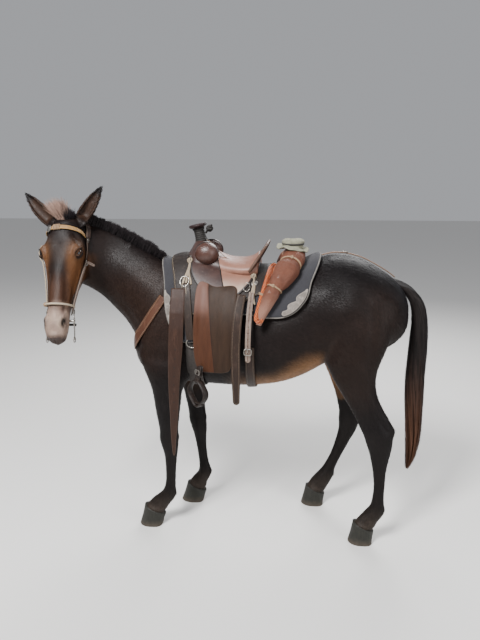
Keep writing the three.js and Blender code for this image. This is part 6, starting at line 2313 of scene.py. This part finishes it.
def band(
    name, slot, paint, tree, centre, normal, start, half, low, high, keep, node=None, ways=720, relax=14,
    taper=None
):
    """A strap round a shape in a plane, where keep holds. Gives its middle line and outs."""
    centre, normal = np.asarray(centre, float), unit(np.asarray(normal, float))
    first = unit(np.asarray(start, float) - normal * np.dot(start, normal))
    second = np.cross(normal, first)
    shares = np.array([-1, -0.9, -0.5, 0, 0.5, 0.9, 1.0])
    grid = []
    for k in range(ways):
        t = 2 * np.pi * k / ways
        way = math.cos(t) * first + math.sin(t) * second
        row = []
        for share in shares:
            hit = tree.ray_cast(Vector(centre + normal * share * half + way * 1.2), Vector(-way))[0]
            row.append(hit if hit else (row[-1] if row else (grid[-1][0] if grid else centre)))
        grid.append(row)
    grid = np.array(grid)
    kept = np.array([keep(p) for p in grid[:, 3]])
    if not kept.all():
        begin = next(k for k in range(ways) if kept[k] and not kept[k - 1])
        grid = np.roll(grid, -begin, 0)
        kept = np.roll(kept, -begin)
        end = int(np.argmin(kept)) if not kept.all() else ways
        grid = grid[:end]
    closed = len(grid) == ways
    for _ in range(relax):
        before, after = np.roll(grid, 1, 0), np.roll(grid, -1, 0)
        moved = (grid * 2 + before + after) / 4
        if not closed:
            moved[0], moved[-1] = grid[0], grid[-1]
        grid = moved
    length = run_of(grid[:, 3])
    at = np.linspace(0, length[-1], max(12, int(length[-1] / 0.007)))
    if closed:
        at = at[:-1]
    grid = np.stack(
        [[np.interp(at, length, grid[:, i, k]) for k in range(3)] for i in range(len(shares))], 0
    ).transpose(2, 0, 1)
    way = np.gradient(grid, axis=0) if not closed else np.roll(grid, -1, 0) - np.roll(grid, 1, 0)
    out = unit(np.cross(unit(way), np.broadcast_to(normal, way.shape)))
    out *= np.sign((out * (grid - centre)).sum(-1).mean())
    if taper is not None:
        middle = grid[:, 3:4]
        grid = middle + (grid - middle) * np.interp(
            np.linspace(0, 1, len(grid)), np.linspace(0, 1, len(taper)), taper
        )[:, None, None]
    edge = np.array([0.45, 0.1, 0, 0, 0, 0.1, 0.45])[None, :, None] * (high - low)
    top = grid + out * (high - edge)
    under = grid + out * (low + edge * 0.6)
    rings = [np.concatenate([top[k], under[k][::-1]]) for k in range(len(grid))]
    verts, faces = loft(rings, closed=closed)
    piece = new_piece(name, verts, faces)
    inward = half * (1 - np.abs(shares))
    put_uv(
        piece, "cut",
        np.stack(
            [np.tile(np.concatenate([inward, inward[::-1]]), len(rings)), np.repeat(at, 2 * len(shares))], 1
        )
    )
    piece.data.materials.append(paint)
    if node:
        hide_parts(node)
    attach(piece, "root")
    return top[:, 3], out[:, 3]


cinch_paint = Paint("corded_cinch")
cinch_in = cinch_paint.uv("cut")[0]
cords = cinch_paint.wave(cinch_in * 1400)
cinch_paint.set(
    Base_Color=cinch_paint.blend(cinch_paint.noise(0.01, 4), (0.018, 0.015, 0.014), (0.075, 0.062, 0.055)),
    Roughness=0.9, Normal=cinch_paint.bump(cords + cinch_paint.noise(0.002), 0.0014)
)
cinch_line, cinch_outs = band(
    "cinch_cords", "cinch_cord", cinch_paint.material, around_tree, (
        -0.512, 0, 1.12
    ), (1, 0, 0), (0, 1, 0), 0.038, 0.0008, 0.0085, lambda p: p[2] < 1.052, "front_cinch"
)
band(
    "flank_cinch_band", "leather_dark", hide_dark_sewn, around_tree, (
        -0.232, 0, 1.12
    ), (1, 0, 0), (0, 1, 0), 0.0225, 0.0008, 0.0070, lambda p: p[2] < 1.052, "flank_cinch"
)
near_end = 0 if cinch_line[0][1] < 0 else -1
for side_name, end in (("left", near_end), ("right", -1 - near_end)):
    spot, out = cinch_line[end], cinch_outs[end]
    circle = [spot + [0.030 * math.cos(q), 0, 0.024 * math.sin(q) + 0.004] + out * 0.006 for q in turns(32)]
    put_tube("cinch_ring_" + side_name, "steel", steel.material, circle, 0.0032, 10, True)
collar_line, collar_outs = band(
    "breast_strap", "leather", hide_tan, around_tree, (-0.70, 0, 1.22), (
        0.825, 0, -0.566
    ), (1, 0, 0), 0.0215, 0.0008, 0.0066,
    lambda p: p[0] < -0.672, "breast_collar",
)
band(
    "chest_strap", "leather", hide_dark_sewn, around_tree, (
        -0.66, 0, 1.12
    ), (0, 1, 0), (1, 0, 0), 0.0105, 0.0008, 0.0062, lambda p: -0.90 < p[0] < -0.560
    and p[2] < 1.010
)
middle_of_collar = int(np.abs(collar_line[:, 1]).argmin())
spot, out = collar_line[middle_of_collar], collar_outs[middle_of_collar]
ring_side = unit(np.cross(out, [0, 0, 1]))
circle = [
    spot + out * 0.004 + 0.019 * (
        math.cos(q) * ring_side + math.sin(q) * np.cross(ring_side, out)
    ) - np.array([0, 0, 0.012])
    for q in turns(28)
]
put_tube("breast_ring", "steel", steel.material, circle, 0.0028, 10, True)
crupper_line, crupper_outs = band(
    "crupper_strap", "leather_tan", leather(
        "crupper_leather", (0.16, 0.090, 0.055), (0.32, 0.22, 0.155), 0.55, 0.5, (0.07, 0.04, 0.026)
    ), around_tree, (0.27, 0, 1.16), (0, 1, 0), (-1, 0, 0), 0.0125, 0.0008, 0.0060,
    lambda p: 0.082 < p[0] < 0.464 and p[2] > 1.2, "crupper",
)
spot = crupper_line[len(crupper_line) // 3]
buckle(
    "crupper_buckle", spot, crupper_line[len(crupper_line) // 3 + 1] - spot,
    crupper_outs[len(crupper_line) // 3], 0.031, 0.026
)


# Cantle bag: a long stuffed roll of soft reddish leather, with its ends let down the sides.
# Four thongs lash it behind the cantle and draw it in.
bag_rows = smooth_rows(
    [
        [-0.188, -0.312, 1.166, 0.014], [-0.166, -0.300, 1.232, 0.027], [-0.122, -0.262, 1.322, 0.042], [
            -0.066, -0.196, 1.404, 0.060
        ],
        [
            -0.038, -0.110, 1.446, 0.060
        ], [-0.032, 0.000, 1.458, 0.056], [-0.038, 0.110, 1.446, 0.060], [-0.066, 0.196, 1.404, 0.060],
        [-0.104, 0.250, 1.336, 0.044], [-0.120, 0.276, 1.280, 0.024],
    ],
    14,
)
bag_length = run_of(bag_rows[:, :3])
bag_ties = [0.19, 0.345, 0.53, 0.66]
bag_way = unit(np.gradient(bag_rows[:, :3], axis=0))
fold_draw = np.random.default_rng(117)
folds = [
    (fold_draw.integers(2, 8), fold_draw.uniform(8, 30), fold_draw.uniform(0, 6.3), fold_draw.uniform(0.4, 1))
    for _ in range(16)
]
bag_sides = 72
rings = []
for k, row in enumerate(bag_rows):
    side = unit(np.array([1, 0, 0]) - bag_way[k] * bag_way[k][0])
    up = np.cross(bag_way[k], side)
    a = turns(bag_sides)
    pinch = min(1.0, 0.80 + 0.20 * min(abs(bag_length[k] - t) for t in bag_ties) / 0.035)
    gather = sum(
        strong * np.sin(waves * a + lean * bag_length[k] + shift) for waves, lean, shift, strong in folds
    ) / 16
    radius = row[3] * pinch * (1 + 0.10 * gather) - 0.002
    rings.append(row[:3] + radius[:, None] * (np.cos(a)[:, None] * side + 0.85 * np.sin(a)[:, None] * up))
verts, faces = loft(rings)
skirt_top = cover_tree(0.0335)
verts = pushed_out(verts, skirt_top, 0.001)
bag = new_piece("cantle_roll", verts, faces)
put_uv(bag, "cut", np.stack([np.full(len(verts), 0.05), np.repeat(bag_length, bag_sides)], 1))
bag_paint = Paint("bag_leather")
bag_z = bag_paint.axes()[2]
bag_cloud = bag_paint.noise(0.05, 4, 0.65)
bag_crease = bag_paint.step(bag_paint.noise(0.012, 5, 0.75), 0.42, 0.60)
bag_tone = bag_paint.blend(bag_cloud, (0.050, 0.014, 0.0075), (0.17, 0.060, 0.034))
bag_tone = bag_paint.blend(
    bag_paint.step(bag_z + 0.09 * bag_cloud, 1.36, 1.27) * 0.7, bag_tone, (0.27, 0.145, 0.105)
)
bag_tone = bag_paint.blend(bag_crease * 0.12, bag_tone, (0.20, 0.11, 0.08))
bag_paint.set(
    Base_Color=bag_tone, Roughness=0.55 + 0.2 * bag_cloud, Specular_IOR_Level=0.25,
    Normal=bag_paint.bump(0.5 * bag_crease + bag_cloud, 0.0022), Coat_Weight=0.04
)
bag.data.materials.append(bag_paint.material)
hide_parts("cantle_bag")
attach(bag, "root")
tie_leather = leather("tie_leather", (0.27, 0.175, 0.105), (0.48, 0.37, 0.26), 0.6, 0.6, uv="run")
for k, place in enumerate(bag_ties):
    i = int(np.abs(bag_length - place).argmin())
    row, side = bag_rows[i], unit(np.array([1, 0, 0]) - bag_way[i] * bag_way[i][0])
    up = np.cross(bag_way[i], side)
    a = turns(40)
    line = row[:3] + row[3] * 0.84 * (np.cos(a)[:, None] * side + 0.86 * np.sin(a)[:, None] * up)
    line = pushed_out(line, skirt_top, 0.003)
    put_tube(f"bag_tie_{k + 1}", "leather_tan", tie_leather, line, 0.0034, 8, True, squash=1.3)
    knot = line[int(np.argmax(line @ np.array([0.2, -0.35 if row[1] < 0 else 0.35, 0.9])))]
    for j, turned_by in enumerate((0.4, 1.9)):
        spin = np.array(Matrix.Rotation(turned_by, 3, "Z") @ Matrix.Rotation(0.9 + j, 3, "X"))
        put_tube(
            f"bag_knot_{k + 1}_{j + 1}", "leather_tan", tie_leather,
            knot + 0.0062 * np.stack([np.cos(a[::2]), np.sin(a[::2]), 0 * a[::2]], 1) @ spin.T, 0.0032, 8,
            True
        )


# Cloth hat: a soft olive-grey cotton hat with a dark band, its crown creased and its brim limp.
# It is pushed down on top of the bag.
hat_paint = Paint("hat_cloth")
thread = hat_paint.noise(0.0016, 2, 0.5)
hat_tone = hat_paint.blend(hat_paint.noise(0.03, 4), (0.12, 0.115, 0.075), (0.31, 0.30, 0.22))
hat_paint.set(
    Base_Color=hat_tone, Roughness=0.92, Normal=hat_paint.bump(thread + 0.6 * hat_paint.noise(0.01), 0.0012)
)
rings = []
a = turns(64)
brim_axes = np.array([unit([1, 0, -0.12]), [0, 1, 0], unit([0.12, 0, 1])])
for share, high in (
    (0.62, -0.004), (0.80, -0.0045), (0.95, -0.0055), (1.0, -0.003), (0.99, 0.0005), (0.90, 0.0022),
    (0.72, 0.0040), (0.60, 0.006)
):
    wave = (
        0.0055 * share * np.sin(3 * a + 0.6) + 0.004 * share * np.sin(5 * a)
        + 0.002 * share * np.sin(9 * a + 2)
    )
    flat_place = np.stack(
        [0.080 * share * np.cos(a), 0.105 * share * np.sin(a), np.clip(high + wave, -0.0115, 0.0115)], 1
    )
    rings.append(np.array([-0.042, -0.030, 1.498]) + flat_place @ brim_axes)
for t, high in (
    (0.98, 0.006), (0.985, 0.016), (0.95, 0.024), (0.86, 0.0305), (0.70, 0.0330), (0.52, 0.0325),
    (0.35, 0.029), (0.15, 0.026), (0.02, 0.026)
):
    dent = 1 + 0.06 * np.sin(2 * a + 1.0) + 0.05 * np.sin(5 * a) + 0.02 * np.sin(9 * a)
    rings.append(
        np.array([-0.040, -0.030, 1.508])
        + np.stack(
            [
                0.052 * t * dent * np.cos(a), 0.061 * t * dent * np.sin(a),
                np.full(64, high) * (
                    1 - 0.22 * np.exp(-((np.sin(a) * t - 0.1) ** 2) / 0.05) * (t < 0.9)
                ) + 0.003 * np.sin(3 * a) * t
            ],
            1
        )
    )
verts, faces = loft(rings)
hat = new_piece("cotton_hat", verts, faces)
hat.data.materials.append(hat_paint.material)
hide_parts("cloth_hat")
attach(hat, "root")
band_line = np.array([-0.040, -0.030, 1.517]) + np.stack([0.0522 * np.cos(a), 0.0612 * np.sin(a), 0 * a], 1)
dark_cloth = Paint("hat_band_cloth")
dark_cloth.set(Base_Color=(0.035, 0.032, 0.028), Roughness=0.9)
put_tube("hat_band", "canvas", dark_cloth.material, band_line, 0.0028, 8, True, squash=2.0)


# Rope: a laid red-orange rope, hung in five long bights in front of the bag.
# A thong ties it round its middle.
rope_paint = Paint("orange_rope")
rope_round, rope_along = rope_paint.uv("run")
lay = rope_paint.wave(rope_along * 480 + rope_round * 18.85)
# Painted shade: the grooves between the strands, where the lay is low, are painted dark red.
rope_paint.set(
    Base_Color=rope_paint.blend(
        rope_paint.step(lay, -0.9, 0.2), (0.20, 0.030, 0.008),
        rope_paint.blend(rope_paint.noise(0.02), (0.62, 0.10, 0.022), (0.72, 0.22, 0.06))
    ),
    Roughness=0.5, Normal=rope_paint.bump(lay, 0.0022),
)
rope_tree = solid_tree("rope_coil")
hank_rows = smooth_rows([[-0.126, 1.424], [-0.142, 1.370], [-0.166, 1.282], [-0.189, 1.186]], 8)
found = []
for x, z in hank_rows:
    for shift in (0.015, -0.015, 0.012, -0.012, 0.018, -0.018, 0.0):
        hit = rope_tree.ray_cast(
            Vector((x + shift + origin_shift[0], -0.9 + origin_shift[1], z - 0.27 * shift)), Vector((0, 1, 0))
        )[0]
        if hit:
            found.append((z, hit.y - origin_shift[1] + 0.008))
            break
found = np.array(found)[::-1]


def on_hank(across, z, lift):
    """A place on the hank: across it, at a height, lifted off the middle of its thickness."""
    x = float(np.interp(z, hank_rows[::-1, 1], hank_rows[::-1, 0]))
    return (x + 0.965 * across, float(np.interp(z, found[:, 0], found[:, 1])) - lift, z - 0.26 * across)


rope_line = []
loops = (
    (0.0195, 1.176, 1.424, 0.000), (0.0140, 1.186, 1.418, 0.0052), (0.0165, 1.200, 1.424, -0.0040),
    (0.0080, 1.196, 1.410, 0.0030), (0.0045, 1.216, 1.402, -0.0030)
)
for half, foot_z, head_z, rise in loops:
    for z in np.linspace(head_z - half, foot_z + half, 22):
        rope_line.append(on_hank(half, z, rise))
    for q in np.linspace(0.35, np.pi - 0.35, 6):
        rope_line.append(on_hank(half * math.cos(q), foot_z + half - half * math.sin(q), rise))
    for z in np.linspace(foot_z + half, head_z - half, 22):
        rope_line.append(on_hank(-half, z, rise))
    for q in np.linspace(0.35, np.pi - 0.35, 6):
        rope_line.append(on_hank(-half * math.cos(q), head_z - half + half * math.sin(q), rise))
rope_line = np.array(rope_line)
for _ in range(2):
    rope_line[1:-1] = (rope_line[1:-1] * 2 + rope_line[:-2] + rope_line[2:]) / 4
rope = put_tube("rope_hank", "rope", rope_paint.material, smooth_rows(rope_line, 2), 0.0044, 8)
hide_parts("rope_coil")
nearest_y = on_hank(0, 1.300, 0)[1]
for k, z in enumerate((1.297, 1.303)):
    line = [
        np.array([-0.160 + 0.029 * math.cos(q), nearest_y + 0.0125 * math.sin(q), z - 0.007 * math.cos(q)])
        for q in turns(32)
    ]
    put_tube(f"rope_tie_{k + 1}", "leather_tan", tie_leather, line, 0.0026, 8, True)


# Strings and fittings: pale leather strings knotted at the fork and the cantle, by dished steel conchos.
# Steel rings for the rigging lie on the skirts below them.
concho_profile = [
    (0.0005, -0.001), (0.017, -0.001), (0.0185, 0.0008), (0.0165, 0.0022), (0.012, 0.0028), (0.008, 0.0050),
    (0.0005, 0.0062)
]


def over_side(x, z, s, off, cover=None):
    cover = cover or snug
    return cover.at(x, cover.down_to(x, z, s), off)


def strings(name, x, z, s, off, drops, paint, slot="leather_tan"):
    """Leather strings let down from a place on the side, knotted at the top."""
    for k, (lean, long) in enumerate(drops):
        line = []
        for t in np.linspace(0, 1, 12):
            line.append(
                over_side(x + lean * t + 0.004 * math.sin(6 * t + k), z - long * t, s, off + 0.0025)[0]
            )
        put_tube(f"{name}_string_{k + 1}", slot, paint, smooth_rows(line, 3), 0.0052, 8, squash=0.45)
    p = over_side(x, z, s, off + 0.006)[0]
    a = turns(20)
    for k, turned_by in enumerate((0.3, 1.3, 2.2)):
        spin = np.array(Matrix.Rotation(turned_by, 3, "Z") @ Matrix.Rotation(1.1 + 0.5 * k, 3, "X"))
        put_tube(
            f"{name}_knot_{k + 1}", slot, paint,
            p + 0.0125 * np.stack([np.cos(a), np.sin(a), 0 * a], 1) @ spin.T * [1, 0.6, 1], 0.0046, 8, True,
            squash=0.7
        )


for side_name, s in (("left", 1), ("right", -1)):
    for k, (x, z, off) in enumerate(((-0.538, 1.420, 0.0388), (-0.215, 1.318, 0.0322))):
        p, n = over_side(x, z, s, off)
        lathe(f"concho_{side_name}_{k + 1}", steel.material, p, n, concho_profile)
    strings(
        "fork_" + side_name, -0.545, 1.405, s, 0.0325, ((-0.016, 0.105), (0.004, 0.135), (0.018, 0.090)),
        hide_cream
    )
    strings("cantle_" + side_name, -0.222, 1.338, s, 0.0325, ((0.018, 0.10), (0.004, 0.125)), hide_cream)
    rigging = [
        over_side(-0.556 + 0.021 * math.cos(q), 1.325 + 0.021 * math.sin(q), s, 0.0365)[0] for q in turns(28)
    ]
    put_tube("rigging_ring_" + side_name, "steel", steel.material, rigging, 0.0030, 10, True)
    rear = [
        over_side(-0.250 + 0.016 * math.cos(q), 1.300 + 0.016 * math.sin(q), s, 0.0365)[0] for q in turns(28)
    ]
    put_tube("rear_ring_" + side_name, "steel", steel.material, rear, 0.0026, 10, True)


# Bridle: a tan leather browband with a steel concho, dark cheek straps and a plaited rawhide noseband.
# Buckles join the cheek straps to their billets, and a cord of rawhide runs down the face.
tan_band = leather(
    "browband_leather", (0.28, 0.145, 0.045), (0.50, 0.32, 0.14), 0.5, 0.4, (0.42, 0.27, 0.12),
    (0.52, 0.40, 0.24)
)


def h_of(p):
    return (np.asarray(p) - poll) @ head_axes.T


brow_line, brow_outs = band(
    "brow_strap", "leather_tan", tan_band, hub_tree, on_head(
        0, -0.09, 0.066
    ), face_down + 0.12 * face_out, face_left, 0.0105, 0.0008, 0.0048,
    lambda p: h_of(p)[1] > -0.090, "browband",
)
cheek_line, cheek_outs = band(
    "head_strap", "leather", leather(
        "cheek_leather", (0.022, 0.012, 0.009), (0.13, 0.09, 0.068), 0.5, 0.5, (0.09, 0.06, 0.042)
    ), hub_tree, on_head(0, -0.101, 0.20),
    0.997 * face_out - 0.0737 * face_down, face_down, 0.0088, 0.0008, 0.0054,
    lambda p: h_of(p)[2] < 0.468, "headstall",
)
for side_name, end in (("a", -1), ("b", 0)):
    if end == 0:
        run, outs = cheek_line[: len(cheek_line) // 2], cheek_outs[: len(cheek_line) // 2]
    else:
        run, outs = cheek_line[::-1][: len(cheek_line) // 2], cheek_outs[::-1][: len(cheek_line) // 2]
    down = h_of(run)[:, 2]
    lower = (down > 0.19) & (down < 0.455)
    strap(
        "cheek_billet_" + side_name, hide_grey, (run + outs * 0.0022)[lower][::-1], 0.0185,
        0.0024, outs[lower][::-1], tip=0.4
    )
    k = int(np.abs(down - 0.205).argmin())
    buckle("cheek_buckle_" + side_name, run[k] + outs[k] * 0.0025, run[k] - run[k + 1], outs[k], 0.026, 0.022)
    k = int(np.abs(down - 0.085).argmin())
    lathe(
        "cheek_concho_" + side_name, steel.material, run[k] + outs[k] * 0.001, outs[k],
        [(r * 0.72, t) for r, t in concho_profile]
    )
    k = int(np.abs(down - 0.192).argmin())
    aim = unit(outs[k] * 0.55 - face_out * 0.75 + face_down * 0.10)
    tab = [run[k] + outs[k] * 0.004 + aim * u for u in np.linspace(0, 0.046, 7)]
    strap(
        "throat_tab_" + side_name, hide_grey, tab, 0.0125, 0.0030,
        unit(np.cross(aim, face_down)) * np.sign(outs[k] @ np.cross(aim, face_down)), tip=0.5
    )
brow_h = h_of(brow_line)
k = int(np.abs(brow_h[:, 0] + 0.055).argmin())
lathe("brow_concho", steel.material, brow_line[k], brow_outs[k], concho_profile)
k = int(np.abs(brow_h[:, 0] + 0.012).argmin())
brow_across = unit(np.cross(brow_outs[k], brow_line[k + 1] - brow_line[k]))
for j in range(5):
    spot = brow_line[k + j - 2] - brow_outs[k] * 0.0015
    wrap = [
        spot + brow_across * 0.0125 * math.cos(q) + brow_outs[k] * 0.0046 * math.sin(q) for q in turns(24)
    ]
    put_tube(f"brow_wrap_{j + 1}", "leather_tan", tie_leather, wrap, 0.0030, 6, True)
raw_paint = Paint("plaited_rawhide")
raw_round, raw_along = raw_paint.uv("run")
plait = raw_paint.wave(raw_along * 700 + raw_round * 18.85) * raw_paint.wave(
    raw_along * 700 - raw_round * 18.85
)
# Painted shade: the gaps between the plaited strands, where the plait is low, are painted darker.
raw_paint.set(
    Base_Color=raw_paint.blend(raw_paint.step(plait, -0.8, 0.3), (0.24, 0.18, 0.115), (0.52, 0.43, 0.32)),
    Roughness=0.6, Normal=raw_paint.bump(plait, 0.0012)
)
nose_normal = unit(face_down - 0.1 * face_out)
nose_line = []
nose_centre = on_head(0, -0.075, 0.425)
nose_side = unit(np.cross(nose_normal, face_left))
for t in np.linspace(0, 2 * np.pi, 97)[:-1]:
    way = math.cos(t) * face_left + math.sin(t) * nose_side
    nose_line.append(
        np.array(head_tree.ray_cast(Vector(nose_centre + way * 0.5), Vector(-way))[0]) + way * 0.0050
    )
nose_line = np.array(nose_line)
for _ in range(10):
    nose_line = (nose_line * 2 + np.roll(nose_line, 1, 0) + np.roll(nose_line, -1, 0)) / 4
noseband = put_tube("noseband_rope", "rawhide", raw_paint.material, nose_line, 0.0050, 10, True)
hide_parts("noseband")
knot = nose_line[int(np.argmin(h_of(nose_line)[:, 0] - 0.6 * h_of(nose_line)[:, 1]))]
for j, turned_by in enumerate((0.2, 1.2, 2.1)):
    a = turns(20)
    spin = np.array(Matrix.Rotation(turned_by, 3, "Z") @ Matrix.Rotation(1.1 + j, 3, "X"))
    put_tube(
        f"noseband_knot_{j + 1}", "leather_tan", tie_leather,
        knot + 0.0072 * np.stack([np.cos(a), np.sin(a), 0 * a], 1) @ spin.T, 0.0040, 8, True
    )
face_cord = []
for t in np.linspace(0, 1, 26):
    down = 0.418 + (0.135 - 0.418) * t
    start = on_head(-0.9, 0.30, down)
    aim = on_head(0, -0.085 + 0.02 * t, down)
    hit = head_tree.ray_cast(Vector(start), Vector(unit(aim - start)))
    face_cord.append(np.array(hit[0]) + unit(start - aim) * 0.0028)
put_tube("face_cord", "rawhide", raw_paint.material, smooth_rows(face_cord, 3), 0.0034, 8)


# Bit: a plain steel curb bit, its bar through the mouth, its cheeks with a slot above and a ring below.
# A leather curb strap joins the cheeks under the chin.
put_tube(
    "bit_bar", "steel", steel.material, [on_head(u, -0.086, 0.496) for u in np.linspace(-0.072, 0.072, 9)],
    0.0055, 12
)
shank_rows = [
    (0.066, -0.082, 0.452), (0.0685, -0.084, 0.476), (0.0695, -0.087, 0.500), (0.0705, -0.094, 0.528),
    (0.070, -0.103, 0.556), (0.068, -0.112, 0.582)
]
for side_name, s in (("left", 1), ("right", -1)):
    line = smooth_rows([on_head(s * a, b, c) for a, b, c in shank_rows], 6)
    wide = np.interp(
        np.linspace(0, 1, len(line)), [0, 0.15, 0.4, 0.7, 1], [0.0055, 0.0045, 0.0068, 0.0050, 0.0050]
    )
    shank = put_tube(
        "bit_cheek_" + side_name, "steel", steel.material, line, wide, 12, squash=0.5, across=face_out
    )
    for part_name, spot, size in (("slot", line[0], 0.0115), ("ring", line[-1], 0.0125)):
        circle = [
            spot + size * 0.9 * math.cos(q) * face_out + size * math.sin(q) * face_down for q in turns(28)
        ]
        put_tube(f"bit_{part_name}_{side_name}", "steel", steel.material, circle, 0.0024, 8, True)
    lathe(
        "bit_boss_" + side_name, steel.material, on_head(s * 0.0710, -0.087, 0.498), face_left * s,
        [(0.0005, -0.001), (0.0105, -0.001), (0.0105, 0.0008), (0.0060, 0.0022), (0.0005, 0.0026)]
    )
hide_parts("bit")
curb = smooth_rows(
    [
        on_head(*p)
        for p in (
            (-0.070, -0.092, 0.516), (-0.062, -0.126, 0.506), (0, -0.150, 0.500), (0.062, -0.126, 0.506),
            (0.070, -0.092, 0.516)
        )
    ],
    8
)
put_tube("curb_strap", "leather", stirrup_leather, curb, 0.0062, 10, squash=0.36, across=face_down)


# Studio floor and lights, which aren't part of the mule: a pale matt floor,
# a soft key from the front left, a weak fill and a light from behind.
floor_mesh = bpy.data.meshes.new("floor")
floor_mesh.from_pydata([(-30, -30, 0), (30, -30, 0), (30, 30, 0), (-30, 30, 0)], [], [(0, 1, 2, 3)])
floor = bpy.data.objects.new("floor", floor_mesh)
bpy.context.scene.collection.objects.link(floor)
floor_paint = bpy.data.materials.new("floor_paint")
floor_paint.use_nodes = True
floor_paint.node_tree.nodes["Principled BSDF"].inputs["Base Color"].default_value = (0.72, 0.71, 0.69, 1)
floor_paint.node_tree.nodes["Principled BSDF"].inputs["Roughness"].default_value = 0.9
floor_mesh.materials.append(floor_paint)
world = bpy.data.worlds.new("studio")
world.use_nodes = True
world.node_tree.nodes["Background"].inputs["Color"].default_value = (0.93, 0.95, 1.0, 1)
world.node_tree.nodes["Background"].inputs["Strength"].default_value = 0.42
bpy.context.scene.world = world
for name, place, aim, size, power in (
    ("key", (-1.6, -3.2, 4.8), (0, 0, 1.0), 1.5, 560),
    ("fill", (3.6, -2.4, 2.6), (0, 0, 1.0), 3.0, 110),
    ("back", (1.0, 3.6, 4.2), (0, 0, 1.1), 2.6, 260),
):
    lamp = bpy.data.lights.new(name, "AREA")
    lamp.size = size
    lamp.energy = power
    light = bpy.data.objects.new(name, lamp)
    light.location = place
    light.rotation_euler = (Vector(aim) - Vector(place)).to_track_quat("-Z", "Y").to_euler()
    bpy.context.scene.collection.objects.link(light)
